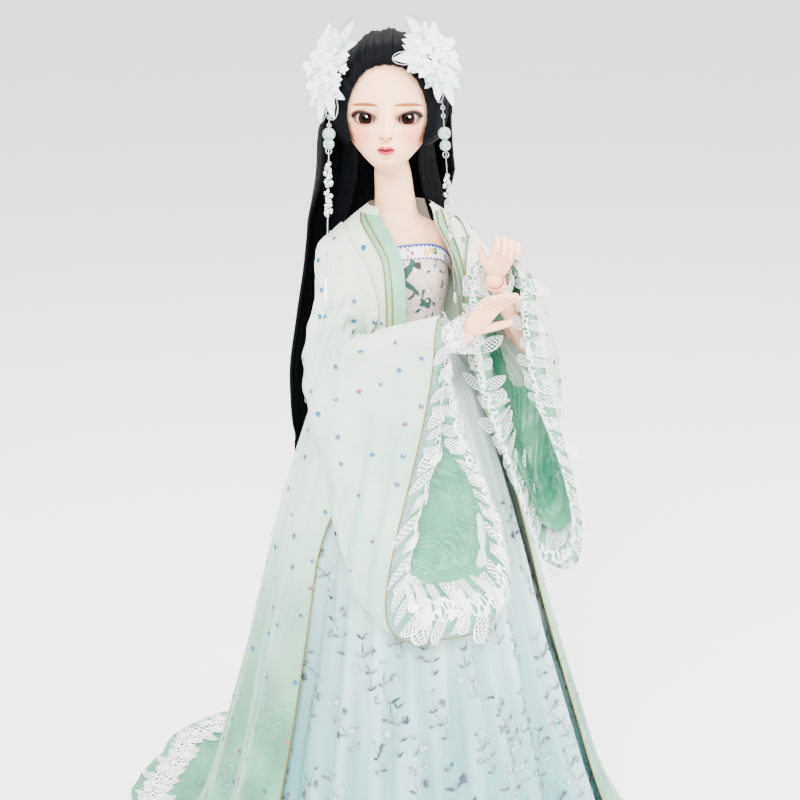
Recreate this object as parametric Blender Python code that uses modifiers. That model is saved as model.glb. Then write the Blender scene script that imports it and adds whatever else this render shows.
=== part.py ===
"""A ball jointed doll in a layered gown, standing. Metres, +Z up, the doll's torso faces -Y, her right is -X.

The resin body is hollow and strung: each limb is a turned shell with a bore for the elastic, a ball at one end
or a cup at both, and a double joint piece at elbow and knee. The gown's layers are sheets that follow one bell.
"""

import math

import bmesh
import bpy
import numpy as np
from mathutils import Matrix, Vector

# The middle of the part's outline on the floor, which the finished part has as its origin
FRAME_CENTRE_X = -0.0061
FRAME_CENTRE_Y = 0.0406
FRAME_FLOOR = 0.0002

# Joint centres, the doll at rest
SHOULDER = np.array([0.0430, 0.004, 0.4535])
ELBOW_RIGHT = np.array([-0.058, -0.036, 0.389])
WRIST_RIGHT = np.array([0.012, -0.084, 0.414])
ELBOW_LEFT = np.array([0.082, -0.031, 0.390])
WRIST_LEFT = np.array([0.037, -0.075, 0.447])
FINGERTIP_RIGHT = np.array([0.034, -0.110, 0.456])
FINGERTIP_LEFT = np.array([0.044, -0.090, 0.494])
HIP = np.array([0.022, 0.002, 0.312])
KNEE = np.array([0.024, -0.002, 0.176])
ANKLE = np.array([0.025, 0.006, 0.036])
WAIST = np.array([0.0, 0.004, 0.384])
NECK_TOP = np.array([-0.003, 0.008, 0.5215])

# Fits of the resin body
CLEARANCE = 0.0003
BORE = 0.0017
ELASTIC_RADIUS = 0.0010
CUP_WALL = 0.0014
CUT_OVERRUN = 0.004
# A turned cup's flat facets lie this share of its radius from its centre, and a cut ball's this share
CUP_FACET_SHARE = 0.920
BALL_FACET_SHARE = 0.965
WAIST_FACET_SHARE = 0.977

# Balls
SHOULDER_BALL = 0.0104
ELBOW_BALL = 0.0078
WRIST_BALL = 0.0058
HIP_BALL = 0.0142
KNEE_BALL = 0.0118
ANKLE_BALL = 0.0088
WAIST_BALL = 0.0215
NECK_BALL = 0.0108
ELBOW_SPREAD = 0.0160
KNEE_SPREAD = 0.0200
JOINT_WAIST_SHARE = 0.55

# Limb thickness
UPPER_ARM_RADIUS = 0.0088
FOREARM_RADIUS = 0.0084
THIGH_RADIUS = 0.0185
SHIN_RADIUS = 0.0150

# Torso
CHEST_HEIGHT = 0.085
CHEST_BOTTOM = 0.390
CHEST_HALF_WIDTH = 0.041
CHEST_HALF_DEPTH = 0.031
BUST_RISE = 0.0065
NECK_BORE = 0.0042
HIPS_BOTTOM = 0.291
HIPS_HEIGHT = 0.085
HIPS_HALF_WIDTH = 0.0425
HIPS_HALF_DEPTH = 0.0345
LEG_OPENING_STRETCH = 1.50

# Head, in its own frame: origin in the middle of the cranium, face to -Y
HEAD_CENTRE = np.array([-0.006, 0.006, 0.5498])
HEAD_YAW = math.radians(-24)
HEAD_PITCH = math.radians(-6)
HEAD_HALF_WIDTH = 0.0318
HEAD_HALF_DEPTH = 0.0365
CROWN_RISE = 0.0420
CHIN_DROP = 0.0400
CHIN_FORWARD = 0.0150
HEAD_WALL = 0.0048
EYE_SPREAD = 0.0140
EYE_LEVEL = -0.0040
EYE_DEPTH = 0.0193
EYE_RADIUS = 0.0076
EYE_SLOT_HALF_WIDTH = 0.0072
EYE_SLOT_HALF_HEIGHT = 0.0048
CAP_PLANE = 0.0120
CAP_TILT = math.radians(35)

# Hands and feet
HAND_LENGTH = 0.052
PALM_HALF_WIDTH = 0.0085
FINGER_RADIUS = 0.0024
FOOT_LENGTH = 0.074
FOOT_HALF_WIDTH = 0.0125
SOLE_LIFT = 0.0006

# The gown's bell
GOWN_TOP = 0.487
HEM_SIDE = 0.170
HEM_FRONT = 0.158
HEM_BACK = 0.175
BELL_LEVEL_SHARES = (0.0, 0.082, 0.232, 0.398, 0.513, 0.616, 0.719, 0.801, 0.852, 0.903, 0.949, 0.977, 1.0)
BELL_SIDE_SHARES = (1.0, 0.882, 0.747, 0.618, 0.540, 0.460, 0.365, 0.300, 0.280, 0.285, 0.295, 0.225, 0.130)
BELL_FRONT_SHARES = (1.0, 0.930, 0.785, 0.652, 0.557, 0.462, 0.370, 0.310, 0.300, 0.285, 0.215, 0.150, 0.115)
BELL_BACK_SHARES = (1.0, 0.914, 0.771, 0.629, 0.526, 0.423, 0.320, 0.240, 0.217, 0.217, 0.190, 0.150, 0.115)
FOLD_TOP = 0.400
FOLD_DEPTH = 0.0065
FOLD_COUNTS = (9, 14)
FOLD_TURNS = (0.6, 2.1)
FOLD_SHARES = (0.6, 0.4)
AXIS_SHIFT_X = 0.007
AXIS_SHIFT_Y = -0.004
AXIS_SHIFT_TOP = 0.380
CLOTH = 0.0008
LAYER_GAP = 0.0047
SKIRT_TOP = 0.402
WAIST_HALF_WIDTH = 0.0335
WAIST_HALF_DEPTH = 0.0275
WAIST_START = 0.355
UNDERSKIRT_INSET = 0.0140
BODICE_TOP = 0.4625
BODICE_BOTTOM = 0.4035
BODICE_GAP = 0.0006
TRIM_HEIGHT = 0.0085
BODICE_DIP = 0.0250
TRAIN_REACH = 0.085
TRAIN_TURN = math.radians(-162)
TRAIN_SPREAD = math.radians(62)
HEM_ROLL = 0.008
ROBE_EDGE_LEVEL_SHARES = (0.0, 0.50, 0.58, 0.66, 0.80, 0.85, 0.93, 0.975, 1.0)
ROBE_EDGE_RIGHT_TURN_SHARES = (0.36, 0.355, 0.33, 0.26, 0.11, 0.105, 0.115, 0.22, 0.36)
ROBE_EDGE_LEFT_TURN_SHARES = (0.36, 0.36, 0.36, 0.34, 0.23, 0.21, 0.19, 0.21, 0.30)
LAPEL_WIDTH_RIGHT = 0.011
LAPEL_WIDTH_LEFT = 0.0055
LAPEL_TOP = 0.4835
LAPEL_BOTTOM = 0.392

# Armholes and sleeves
ARMHOLE_CENTRE = np.array([0.046, -0.0075, 0.4370])
ARMHOLE_TILT = math.radians(25)
ARMHOLE_HALF_HEIGHT = 0.0385
ARMHOLE_HALF_DEPTH = 0.0225
SLEEVE_ROOT_MARGIN = 0.0035
SLEEVE_TOP_RADIUS = 0.0180
SLEEVE_HALF_WIDTH = 0.0400
SLEEVE_DROP = 0.2050
SLEEVE_SWEEP = 0.0600
SLEEVE_CLEAR = 0.0046
SLEEVE_ROOT_CLEAR = 0.0038
SLEEVE_BODY = 0.0150
LINING_GAP = 0.0016
LINING_SHRINK_SHARE = 0.057
LINING_RISE_SHARE = 0.15
LINING_FIRST_ROW = {"right": 7, "left": 7}
CUFF_LENGTH = 0.0170
CUFF_RADIUS = 0.0082
CUFF_FLARE = 0.0135

# Hair and ornaments
WIG_GAP = 0.0015
WIG_THICKNESS = 0.0060
WIG_AROUND_SHARES = (0.0, 0.14, 0.28, 0.40, 0.50, 0.66, 0.83, 1.0)
WIG_REACH_DEGREES = (88, 90, 102, 113, 112, 98, 86, 83)
HAIR_TOP = 0.5450
HAIR_BOTTOM = 0.2700
HAIR_THICKNESS = 0.0050
HAIR_CLEAR = 0.0045
ORNAMENT_HALF_WIDTH = 0.0200
ORNAMENT_HALF_HEIGHT = 0.0310
ORNAMENT_THICKNESS = 0.0030
BEAD_RADIUS = 0.0046
CRYSTAL_RADIUS = 0.0040
STRAND_RADIUS = 0.0006

PARTS = None
CUTTERS = None
MATERIALS = {}


def clear_scene():
    for obj in list(bpy.data.objects):
        bpy.data.objects.remove(obj, do_unlink=True)


def make_collections():
    global PARTS, CUTTERS
    PARTS = bpy.data.collections.new("ball_jointed_doll")
    CUTTERS = bpy.data.collections.new("cutters")
    bpy.context.scene.collection.children.link(PARTS)
    bpy.context.scene.collection.children.link(CUTTERS)


def finish(name, colour, roughness, metallic=0.0):
    """A named Principled material, made once."""
    if name not in MATERIALS:
        material = bpy.data.materials.new(name)
        material.use_nodes = True
        shader = material.node_tree.nodes["Principled BSDF"]
        shader.inputs["Base Color"].default_value = (*colour, 1.0)
        shader.inputs["Roughness"].default_value = roughness
        shader.inputs["Metallic"].default_value = metallic
        MATERIALS[name] = material
    return MATERIALS[name]


def resin():
    return finish("skin_resin", (0.93, 0.78, 0.70), 0.45)


def chiffon():
    return finish("mint_chiffon", (0.78, 0.90, 0.85), 0.70)


def satin():
    return finish("green_satin", (0.35, 0.70, 0.52), 0.40)


def organza():
    return finish("white_organza", (0.86, 0.90, 0.92), 0.65)


def lace():
    return finish("white_lace", (0.92, 0.93, 0.93), 0.85)


def hair_black():
    return finish("black_hair", (0.01, 0.012, 0.016), 0.35)


def object_from(name, mesh, material, collection=None):
    obj = bpy.data.objects.new(name, mesh)
    (collection or PARTS).objects.link(obj)
    if material:
        obj.data.materials.append(material)
    return obj


def mesh_from(name, bm):
    mesh = bpy.data.meshes.new(name)
    bm.to_mesh(mesh)
    bm.free()
    mesh.shade_smooth()
    return mesh


def unit(vector):
    vector = np.asarray(vector, float)
    return vector / np.linalg.norm(vector)


def smooth_table(x, keys, values):
    """A smooth curve through values at keys, with no overshoot at a level stretch. values may hold rows."""
    keys = np.asarray(keys, float)
    values = np.asarray(values, float)
    x = np.clip(np.asarray(x, float), keys[0], keys[-1])
    index = np.clip(np.searchsorted(keys, x, side="right") - 1, 0, len(keys) - 2)
    steps = np.diff(keys)
    shape = (-1,) + (1,) * (values.ndim - 1)
    slopes = np.diff(values, axis=0) / steps.reshape(shape)
    ends = np.concatenate([slopes[:1], slopes, slopes[-1:]])
    before, after = ends[:-1], ends[1:]
    tangents = np.where(before * after > 0, 0.5 * (before + after), 0.0)
    limit = 3 * np.minimum(np.abs(before), np.abs(after))
    tangents = np.clip(tangents, -limit, limit)
    width = steps[index]
    t = (x - keys[index]) / width
    if values.ndim > 1:
        extra = (1,) * (values.ndim - 1)
        t = t.reshape(t.shape + extra)
        width = width.reshape(width.shape + extra)
    low, high = values[index], values[index + 1]
    return (
        low * (2 * t**3 - 3 * t**2 + 1)
        + high * (3 * t**2 - 2 * t**3)
        + tangents[index] * width * (t**3 - 2 * t**2 + t)
        + tangents[index + 1] * width * (t**3 - t**2)
    )


def add_modifier(obj, kind, **settings):
    modifier = obj.modifiers.new(kind.title(), kind)
    for key, value in settings.items():
        setattr(modifier, key, value)
    return modifier


def subdivide(obj, levels):
    return add_modifier(obj, "SUBSURF", levels=levels, render_levels=levels)


def cut(obj, cutter, operation="DIFFERENCE"):
    return add_modifier(obj, "BOOLEAN", object=cutter, operation=operation, solver="EXACT")


def as_cutter(obj):
    obj.hide_render = True
    obj.display_type = "WIRE"
    return obj


def ball(name, radius, centre, material=None, collection=None, segments=16, rings=10):
    bm = bmesh.new()
    bmesh.ops.create_uvsphere(bm, u_segments=segments, v_segments=rings, radius=radius)
    obj = object_from(name, mesh_from(name, bm), material, collection)
    obj.location = Vector(centre)
    return obj


def ball_cutter(name, radius, centre, scale=(1, 1, 1)):
    obj = as_cutter(ball(name, radius, centre, None, CUTTERS))
    obj.scale = scale
    return obj


def rod_cutter(name, radius, start, end, top_radius=None, segments=10):
    """A cone or cylinder cutter from start to end."""
    start, end = Vector(start), Vector(end)
    bm = bmesh.new()
    length = (end - start).length
    bmesh.ops.create_cone(
        bm,
        cap_ends=True,
        segments=segments,
        radius1=radius,
        radius2=radius if top_radius is None else top_radius,
        depth=length,
    )
    obj = as_cutter(object_from(name, mesh_from(name, bm), None, CUTTERS))
    obj.location = (start + end) / 2
    obj.rotation_mode = "QUATERNION"
    obj.rotation_quaternion = (end - start).to_track_quat("Z", "Y")
    return obj


def box_cutter(name, size, matrix):
    bm = bmesh.new()
    bmesh.ops.create_cube(bm, size=1.0)
    bmesh.ops.scale(bm, vec=Vector(size), verts=bm.verts)
    obj = as_cutter(object_from(name, mesh_from(name, bm), None, CUTTERS))
    obj.matrix_world = matrix
    return obj


def turned(name, profile, material, steps=10, collection=None):
    """A closed profile of (radius, height) points, turned about the object's Z axis. It runs down its outer side."""
    mesh = bpy.data.meshes.new(name)
    points = [(radius, 0.0, height) for radius, height in profile]
    edges = [(i, (i + 1) % len(points)) for i in range(len(points))]
    mesh.from_pydata(points, edges, [])
    obj = object_from(name, mesh, material, collection)
    add_modifier(
        obj,
        "SCREW",
        steps=steps,
        render_steps=steps,
        use_merge_vertices=True,
        merge_threshold=0.00001,
        use_smooth_shade=True,
    )
    return obj


def aim(obj, top, bottom, side_hint=(1, 0, 0)):
    """Puts the object's origin at top, with its -Z towards bottom."""
    axis = unit(np.asarray(top, float) - np.asarray(bottom, float))
    side = np.asarray(side_hint, float)
    side = unit(side - axis * side.dot(axis))
    forward = np.cross(axis, side)
    matrix = Matrix.Identity(4)
    for row in range(3):
        matrix[row][0] = side[row]
        matrix[row][1] = forward[row]
        matrix[row][2] = axis[row]
        matrix[row][3] = top[row]
    obj.matrix_world = matrix
    return obj


def arc_points(radius, centre, start, end, count):
    """(radius, height) points of an arc about a centre on the axis; angles from +Z, in radians."""
    return [
        (radius * math.sin(start + (end - start) * i / count), centre + radius * math.cos(start + (end - start) * i / count))
        for i in range(count + 1)
    ]


def limb_profile(length, top_ball, top_kind, low_ball, thickness, swell_shares):
    """The turned outline of one hollow limb, its top joint at height 0 and its low joint at -length."""
    cup_rim = math.radians(62)
    bore_angle = math.asin(BORE / top_ball)
    low_cup = (low_ball + CLEARANCE) / CUP_FACET_SHARE
    low_rim = [
        ((low_cup + CUP_WALL) * math.sin(cup_rim), -length + low_cup * math.cos(cup_rim)),
        (low_cup * math.sin(cup_rim), -length + low_cup * math.cos(cup_rim)),
    ]
    if top_kind == "ball":
        start = arc_points(top_ball, 0.0, bore_angle, math.radians(128), 5)
        neck = top_ball
    else:
        top_cup = (top_ball + CLEARANCE) / CUP_FACET_SHARE
        rim_height = -top_cup * math.cos(cup_rim)
        start = [((top_cup + CUP_WALL) * math.sin(cup_rim), rim_height)]
        neck = top_cup
    body = length - neck - low_cup
    outline = [
        (thickness * swell, -neck - body * share)
        for share, swell in swell_shares
    ]
    inner = arc_points(low_cup, -length, cup_rim, math.asin(BORE / low_cup), 4)[1:]
    profile = start + outline + low_rim + inner
    if top_kind == "cup":
        profile += arc_points(top_cup, 0.0, math.pi - math.asin(BORE / top_cup), math.pi - cup_rim, 4)
    return profile


def joint_profile(ball_radius, spread):
    """The outline of a double joint piece: two balls with a bore, centres half the spread above and below."""
    half = spread / 2
    bore_angle = math.asin(BORE / ball_radius)
    waist = ball_radius * JOINT_WAIST_SHARE
    meet = math.pi - math.asin(waist / ball_radius)
    upper = arc_points(ball_radius, half, bore_angle, meet, 5)
    lower = arc_points(ball_radius, -half, math.pi - meet, math.pi - bore_angle, 5)
    return upper + lower


def elastic(name, start, end, start_trim, end_trim):
    """One stretch of elastic in its bore, stopping short of the two joint centres."""
    start, end = Vector(start), Vector(end)
    direction = (end - start).normalized()
    curve = bpy.data.curves.new(name, "CURVE")
    curve.dimensions = "3D"
    curve.bevel_depth = ELASTIC_RADIUS
    curve.bevel_resolution = 1
    curve.use_fill_caps = True
    spline = curve.splines.new("POLY")
    spline.points.add(1)
    spline.points[0].co = (*(start + direction * start_trim), 1)
    spline.points[1].co = (*(end - direction * end_trim), 1)
    obj = object_from(name, curve, finish("elastic_white", (0.9, 0.9, 0.88), 0.8))
    return obj


ARM_SWELL_SHARES = ((0.10, 0.95), (0.35, 1.0), (0.70, 0.86), (0.95, 0.90))
FOREARM_SWELL_SHARES = ((0.08, 1.0), (0.30, 1.0), (0.65, 0.80), (0.95, 0.70))
THIGH_SWELL_SHARES = ((0.08, 1.0), (0.30, 0.98), (0.65, 0.82), (0.95, 0.72))
SHIN_SWELL_SHARES = ((0.06, 0.86), (0.28, 1.0), (0.62, 0.74), (0.95, 0.60))


def elbow_centres(shoulder, elbow, wrist, spread):
    """The two ball centres of a double joint that halves the bend between its limbs."""
    bisector = unit(unit(elbow - shoulder) + unit(wrist - elbow))
    return elbow - bisector * spread / 2, elbow + bisector * spread / 2


def mirrored(point, side):
    return np.array([side * point[0], point[1], point[2]])


def arm_points(side):
    if side < 0:
        return mirrored(SHOULDER, side), ELBOW_RIGHT, WRIST_RIGHT, FINGERTIP_RIGHT
    return mirrored(SHOULDER, side), ELBOW_LEFT, WRIST_LEFT, FINGERTIP_LEFT


def make_arm(side, label):
    shoulder, elbow, wrist, _ = arm_points(side)
    upper, lower = elbow_centres(shoulder, elbow, wrist, ELBOW_SPREAD)
    arm_length = np.linalg.norm(upper - shoulder)
    profile = limb_profile(arm_length, SHOULDER_BALL, "ball", ELBOW_BALL, UPPER_ARM_RADIUS, ARM_SWELL_SHARES)
    aim(turned(f"upper_arm_{label}", profile, resin()), shoulder, upper)
    aim(turned(f"elbow_piece_{label}", joint_profile(ELBOW_BALL, ELBOW_SPREAD), resin()), elbow, lower)
    forearm_length = np.linalg.norm(wrist - lower)
    profile = limb_profile(forearm_length, ELBOW_BALL, "cup", WRIST_BALL, FOREARM_RADIUS, FOREARM_SWELL_SHARES)
    aim(turned(f"forearm_{label}", profile, resin()), lower, wrist)
    past = CLEARANCE * 3
    elastic(f"elastic_upper_arm_{label}", shoulder, upper, 0.0, ELBOW_BALL + past)
    elastic(f"elastic_forearm_{label}", lower, wrist, ELBOW_BALL + past, WRIST_BALL + past)


def make_leg(side, label):
    hip, knee, ankle = (mirrored(point, side) for point in (HIP, KNEE, ANKLE))
    upper, lower = elbow_centres(hip, knee, ankle, KNEE_SPREAD)
    profile = limb_profile(
        np.linalg.norm(upper - hip), HIP_BALL, "ball", KNEE_BALL, THIGH_RADIUS, THIGH_SWELL_SHARES
    )
    aim(turned(f"thigh_{label}", profile, resin()), hip, upper)
    aim(turned(f"knee_piece_{label}", joint_profile(KNEE_BALL, KNEE_SPREAD), resin()), knee, lower)
    profile = limb_profile(
        np.linalg.norm(ankle - lower), KNEE_BALL, "cup", ANKLE_BALL, SHIN_RADIUS, SHIN_SWELL_SHARES
    )
    aim(turned(f"shin_{label}", profile, resin()), lower, ankle)
    past = CLEARANCE * 3
    elastic(f"elastic_thigh_{label}", hip, upper, 0.0, KNEE_BALL + past)
    elastic(f"elastic_shin_{label}", lower, ankle, KNEE_BALL + past, ANKLE_BALL + past)


def loft(name, rows, material, collection=None):
    """A closed body through rings of points, each ring ordered alike, with a flat cap at each end."""
    bm = bmesh.new()
    rings = [[bm.verts.new(Vector(point)) for point in row] for row in rows]
    for low, high in zip(rings, rings[1:]):
        for i in range(len(low)):
            j = (i + 1) % len(low)
            bm.faces.new((low[i], low[j], high[j], high[i]))
    bm.faces.new(list(reversed(rings[0])))
    bm.faces.new(rings[-1])
    bmesh.ops.recalc_face_normals(bm, faces=bm.faces)
    return object_from(name, mesh_from(name, bm), material, collection)


CHEST_LEVEL_SHARES = (0.0, 0.10, 0.28, 0.48, 0.68, 0.84, 0.93, 0.985, 1.04, 1.18, 1.40, 1.52)
CHEST_SIDE_SHARES = (0.64, 0.69, 0.76, 0.83, 0.865, 0.905, 0.80, 0.58, 0.40, 0.335, 0.300, 0.255)
CHEST_DEPTH_SHARES = (0.66, 0.74, 0.80, 0.86, 0.86, 0.76, 0.66, 0.55, 0.47, 0.43, 0.395, 0.340)
HIPS_LEVEL_SHARES = (0.0, 0.16, 0.38, 0.60, 0.80, 0.94)
HIPS_SIDE_SHARES = (0.58, 0.90, 1.0, 0.90, 0.72, 0.60)
HIPS_DEPTH_SHARES = (0.55, 0.88, 1.0, 0.88, 0.72, 0.60)


def torso_ring(half_width, half_depth, height, centre_x, centre_y, bust, count=18):
    ring = []
    for i in range(count):
        angle = 2 * math.pi * i / count
        x = half_width * math.sin(angle)
        y = -half_depth * math.cos(angle)
        if math.cos(angle) > 0:
            spread = (abs(x) / CHEST_HALF_WIDTH - 0.42) / 0.30
            y -= bust * math.exp(-spread * spread) * math.cos(angle)
        ring.append((centre_x + x, centre_y + y, height))
    return ring


def make_chest():
    rows = []
    for level, side, depth in zip(CHEST_LEVEL_SHARES, CHEST_SIDE_SHARES, CHEST_DEPTH_SHARES):
        height = CHEST_BOTTOM + CHEST_HEIGHT * level
        bust = BUST_RISE * math.exp(-(((level - 0.55) / 0.22) ** 2))
        lean = smooth_table(level, (0.9, 1.5), (0.0, 1.0))
        centre_x = NECK_TOP[0] * float(lean)
        centre_y = WAIST[1] + (NECK_TOP[1] - WAIST[1]) * float(lean)
        rows.append(
            torso_ring(CHEST_HALF_WIDTH * side, CHEST_HALF_DEPTH * depth, height, centre_x, centre_y, bust)
        )
    chest = loft("chest", rows, resin())
    neck_end = Vector(NECK_TOP)
    cut(chest, ball_cutter("neck_ball_cutter", NECK_BALL - CUP_WALL * 2, NECK_TOP))
    for side, label in ((-1, "right"), (1, "left")):
        centre = mirrored(SHOULDER, side)
        cut(chest, ball_cutter(f"shoulder_cutter_{label}", (SHOULDER_BALL + CLEARANCE) / BALL_FACET_SHARE, centre))
    cut(chest, ball_cutter("waist_cutter", (WAIST_BALL + CLEARANCE) / WAIST_FACET_SHARE, WAIST))
    cut(chest, rod_cutter("arm_bore_cutter", BORE * 1.6, mirrored(SHOULDER, -1), SHOULDER))
    low = Vector((NECK_TOP[0], WAIST[1], WAIST[2]))
    cut(chest, rod_cutter("neck_bore_cutter", NECK_BORE, low, neck_end + Vector((0, 0, CUT_OVERRUN))))
    return chest


def make_hips():
    rows = []
    for level, side, depth in zip(HIPS_LEVEL_SHARES, HIPS_SIDE_SHARES, HIPS_DEPTH_SHARES):
        height = HIPS_BOTTOM + HIPS_HEIGHT * level
        rows.append(torso_ring(HIPS_HALF_WIDTH * side, HIPS_HALF_DEPTH * depth, height, 0.0, WAIST[1], 0.0))
    hips = loft("hips", rows, resin())
    cut(hips, ball("waist_ball", WAIST_BALL, WAIST, None, CUTTERS), "UNION")
    as_cutter(bpy.data.objects["waist_ball"])
    for side, label in ((-1, "right"), (1, "left")):
        centre = mirrored(HIP, side)
        cut(hips, ball_cutter(f"hip_cutter_{label}", (HIP_BALL + CLEARANCE) / BALL_FACET_SHARE, centre))
        low = centre + np.array([0.0, 0.0, -HIP_BALL * 3])
        opening = rod_cutter(f"hip_clear_{label}", THIGH_RADIUS + CUP_WALL, low, centre - [0, 0, HIP_BALL * 0.35])
        opening.rotation_quaternion = (1, 0, 0, 0)
        opening.scale[1] = LEG_OPENING_STRETCH
        cut(hips, opening)
        inner = centre + np.array([0.0, 0.0, HIP_BALL * 0.5])
        cut(hips, rod_cutter(f"hip_bore_{label}", NECK_BORE, inner, WAIST + [0, 0, 0]))
    top = WAIST + np.array([0.0, 0.0, WAIST_BALL * 1.3])
    cut(hips, rod_cutter("waist_bore_cutter", NECK_BORE, WAIST - [0, 0, WAIST_BALL * 0.4], top))
    return hips


def head_matrix():
    turn = Matrix.Rotation(HEAD_YAW, 4, "Z") @ Matrix.Rotation(HEAD_PITCH, 4, "X")
    turn.translation = Vector(HEAD_CENTRE)
    return turn


def bump(x, z, centre_x, centre_z, width, height):
    return np.exp(-(((x - centre_x) / width) ** 2) - ((z - centre_z) / height) ** 2)


def head_surface(azimuth, elevation):
    """Points of the head's outer skin in its own frame: azimuth 0 is the face, elevation runs from chin to crown."""
    x = np.cos(elevation) * np.sin(azimuth)
    y = -np.cos(elevation) * np.cos(azimuth)
    z = np.sin(elevation)
    low = np.clip(-z, 0, 1)
    ease = low * low * (3 - 2 * low)
    front = np.clip(-y, 0, 1)
    wide = HEAD_HALF_WIDTH * (1 - 0.30 * ease * (0.4 + 0.6 * front))
    px = x * wide * (1 + 0.03 * front)
    deep = np.where(y < 0, HEAD_HALF_DEPTH * 0.93, HEAD_HALF_DEPTH * (1.08 - 0.30 * ease))
    py = y * deep - CHIN_FORWARD * ease
    pz = np.where(z > 0, z * CROWN_RISE, z * CHIN_DROP)
    face = np.clip(-y * 1.6 - 0.2, 0, 1)
    size = HEAD_HALF_WIDTH
    nose = 0.20 * bump(px, pz, 0, -0.0150, 0.0040, 0.0042) + 0.085 * bump(px, pz, 0, -0.0060, 0.0030, 0.0075)
    socket = -0.05 * (bump(px, pz, EYE_SPREAD, 0.001, 0.0085, 0.0050) + bump(px, pz, -EYE_SPREAD, 0.001, 0.0085, 0.0050))
    lips = 0.085 * bump(px, pz, 0, -0.0250, 0.0062, 0.0034)
    groove = -0.045 * bump(px, pz, 0, -0.0308, 0.0070, 0.0022)
    chin = 0.07 * bump(px, pz, 0, -0.0370, 0.0070, 0.0050)
    py = py - face * size * (nose + socket + lips + groove + chin)
    return np.stack([px, py, pz], axis=-1)


def make_head():
    columns, rows = 18, 14
    matrix = head_matrix()
    elevations = np.linspace(-math.pi / 2, math.pi / 2, rows + 1)[1:-1]
    azimuths = np.arange(columns) * 2 * math.pi / columns
    rings = [head_surface(azimuths, np.full(columns, e)) for e in elevations]
    shell = loft("head_solid", rings, resin(), CUTTERS)
    as_cutter(shell)
    shell.matrix_world = matrix
    inner = ball_cutter("head_cavity", 1.0, HEAD_CENTRE)
    inner.matrix_world = matrix @ Matrix.Translation((0, 0.001, 0.004)) @ Matrix.Diagonal(
        (HEAD_HALF_WIDTH - HEAD_WALL, HEAD_HALF_DEPTH - HEAD_WALL, CROWN_RISE - HEAD_WALL, 1)
    )
    cut(shell, inner)
    neck_cup = ball_cutter("neck_cup_cutter", NECK_BALL + CLEARANCE, NECK_TOP)
    cut(shell, neck_cup)
    low = NECK_TOP - np.array([0.0, 0.0, NECK_BALL * 2])
    flare = rod_cutter("neck_clear_cutter", NECK_BALL * 1.90, low, NECK_TOP, NECK_BALL + CLEARANCE)
    cut(shell, flare)
    for side, label in ((-1, "right"), (1, "left")):
        eye_local = Vector((side * EYE_SPREAD, -EYE_DEPTH, EYE_LEVEL))
        well = ball_cutter(f"eye_well_{label}", EYE_RADIUS + CLEARANCE, matrix @ eye_local)
        cut(shell, well)
        slot = ball_cutter(f"eye_slot_{label}", 1.0, (0, 0, 0))
        slot.matrix_world = (
            matrix
            @ Matrix.Translation((side * EYE_SPREAD, -EYE_DEPTH - EYE_RADIUS, EYE_LEVEL))
            @ Matrix.Diagonal((EYE_SLOT_HALF_WIDTH, EYE_RADIUS, EYE_SLOT_HALF_HEIGHT, 1))
        )
        cut(shell, slot)
        ball(f"eye_{label}", EYE_RADIUS, matrix @ eye_local, finish("eye_glass", (0.12, 0.05, 0.04), 0.1), None, 10, 8)
    bpy.context.view_layer.update()
    plane = matrix @ Matrix.Rotation(-CAP_TILT, 4, "X") @ Matrix.Translation((0, CAP_PLANE + 0.05, 0))
    box_size = 0.10
    face_box = box_cutter("cap_side_box", (box_size, box_size, box_size * 1.4), plane)
    back_plane = matrix @ Matrix.Rotation(-CAP_TILT, 4, "X") @ Matrix.Translation(
        (0, CAP_PLANE + 0.05 + CLEARANCE, 0)
    )
    cap_box = box_cutter("cap_box", (box_size, box_size, box_size * 1.4), back_plane)
    for name, box, operation in (("head", face_box, "DIFFERENCE"), ("head_cap", cap_box, "INTERSECT")):
        half = object_from(name, shell.data.copy(), None)
        half.matrix_world = matrix
        for modifier in shell.modifiers:
            cut(half, modifier.object)
        cut(half, box, operation)


def make_neck_hook():
    """The hook that the torso elastic pulls on, lying across the slot in the head's base."""
    curve = bpy.data.curves.new("neck_hook", "CURVE")
    curve.dimensions = "3D"
    curve.bevel_depth = ELASTIC_RADIUS * 0.7
    curve.bevel_resolution = 1
    curve.use_fill_caps = True
    reach = NECK_BORE * 0.80
    drop = NECK_BALL * 0.8
    count = 12
    spline = curve.splines.new("POLY")
    spline.points.add(count)
    for i in range(count + 1):
        turn = 2.4 * math.pi * i / count - 0.7 * math.pi
        share = i / count
        spline.points[i].co = (
            NECK_TOP[0] + reach * math.sin(turn) * (1 if share < 0.5 else -1),
            NECK_TOP[1],
            NECK_TOP[2] - drop + 2 * drop * share,
            1,
        )
    return object_from("neck_hook", curve, finish("steel_wire", (0.7, 0.7, 0.7), 0.3, 1.0))


FINGER_REACH_SHARES = (0.93, 1.0, 0.95, 0.82)
PALM_LEVEL_SHARES = (0.05, 0.28, 0.50)
PALM_WIDTH_SHARES = (0.62, 0.98, 1.08)
PALM_THICK_SHARES = (0.62, 0.60, 0.46)
THUMB_REACH_SHARES = (0.12, 0.25, 0.37)
FINGER_JOINTS = 3


def square_ring(bm, centre, side_vector, face_vector, half):
    """Four corners of a finger's cross section: back then palm, from the thumb's side to the other."""
    corners = ((1, -1), (-1, -1), (-1, 1), (1, 1))
    return [bm.verts.new(Vector(centre + side_vector * half * a + face_vector * half * b)) for a, b in corners]


def bridge(bm, first, second):
    for i in range(4):
        j = (i + 1) % 4
        bm.faces.new((first[i], first[j], second[j], second[i]))


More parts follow.
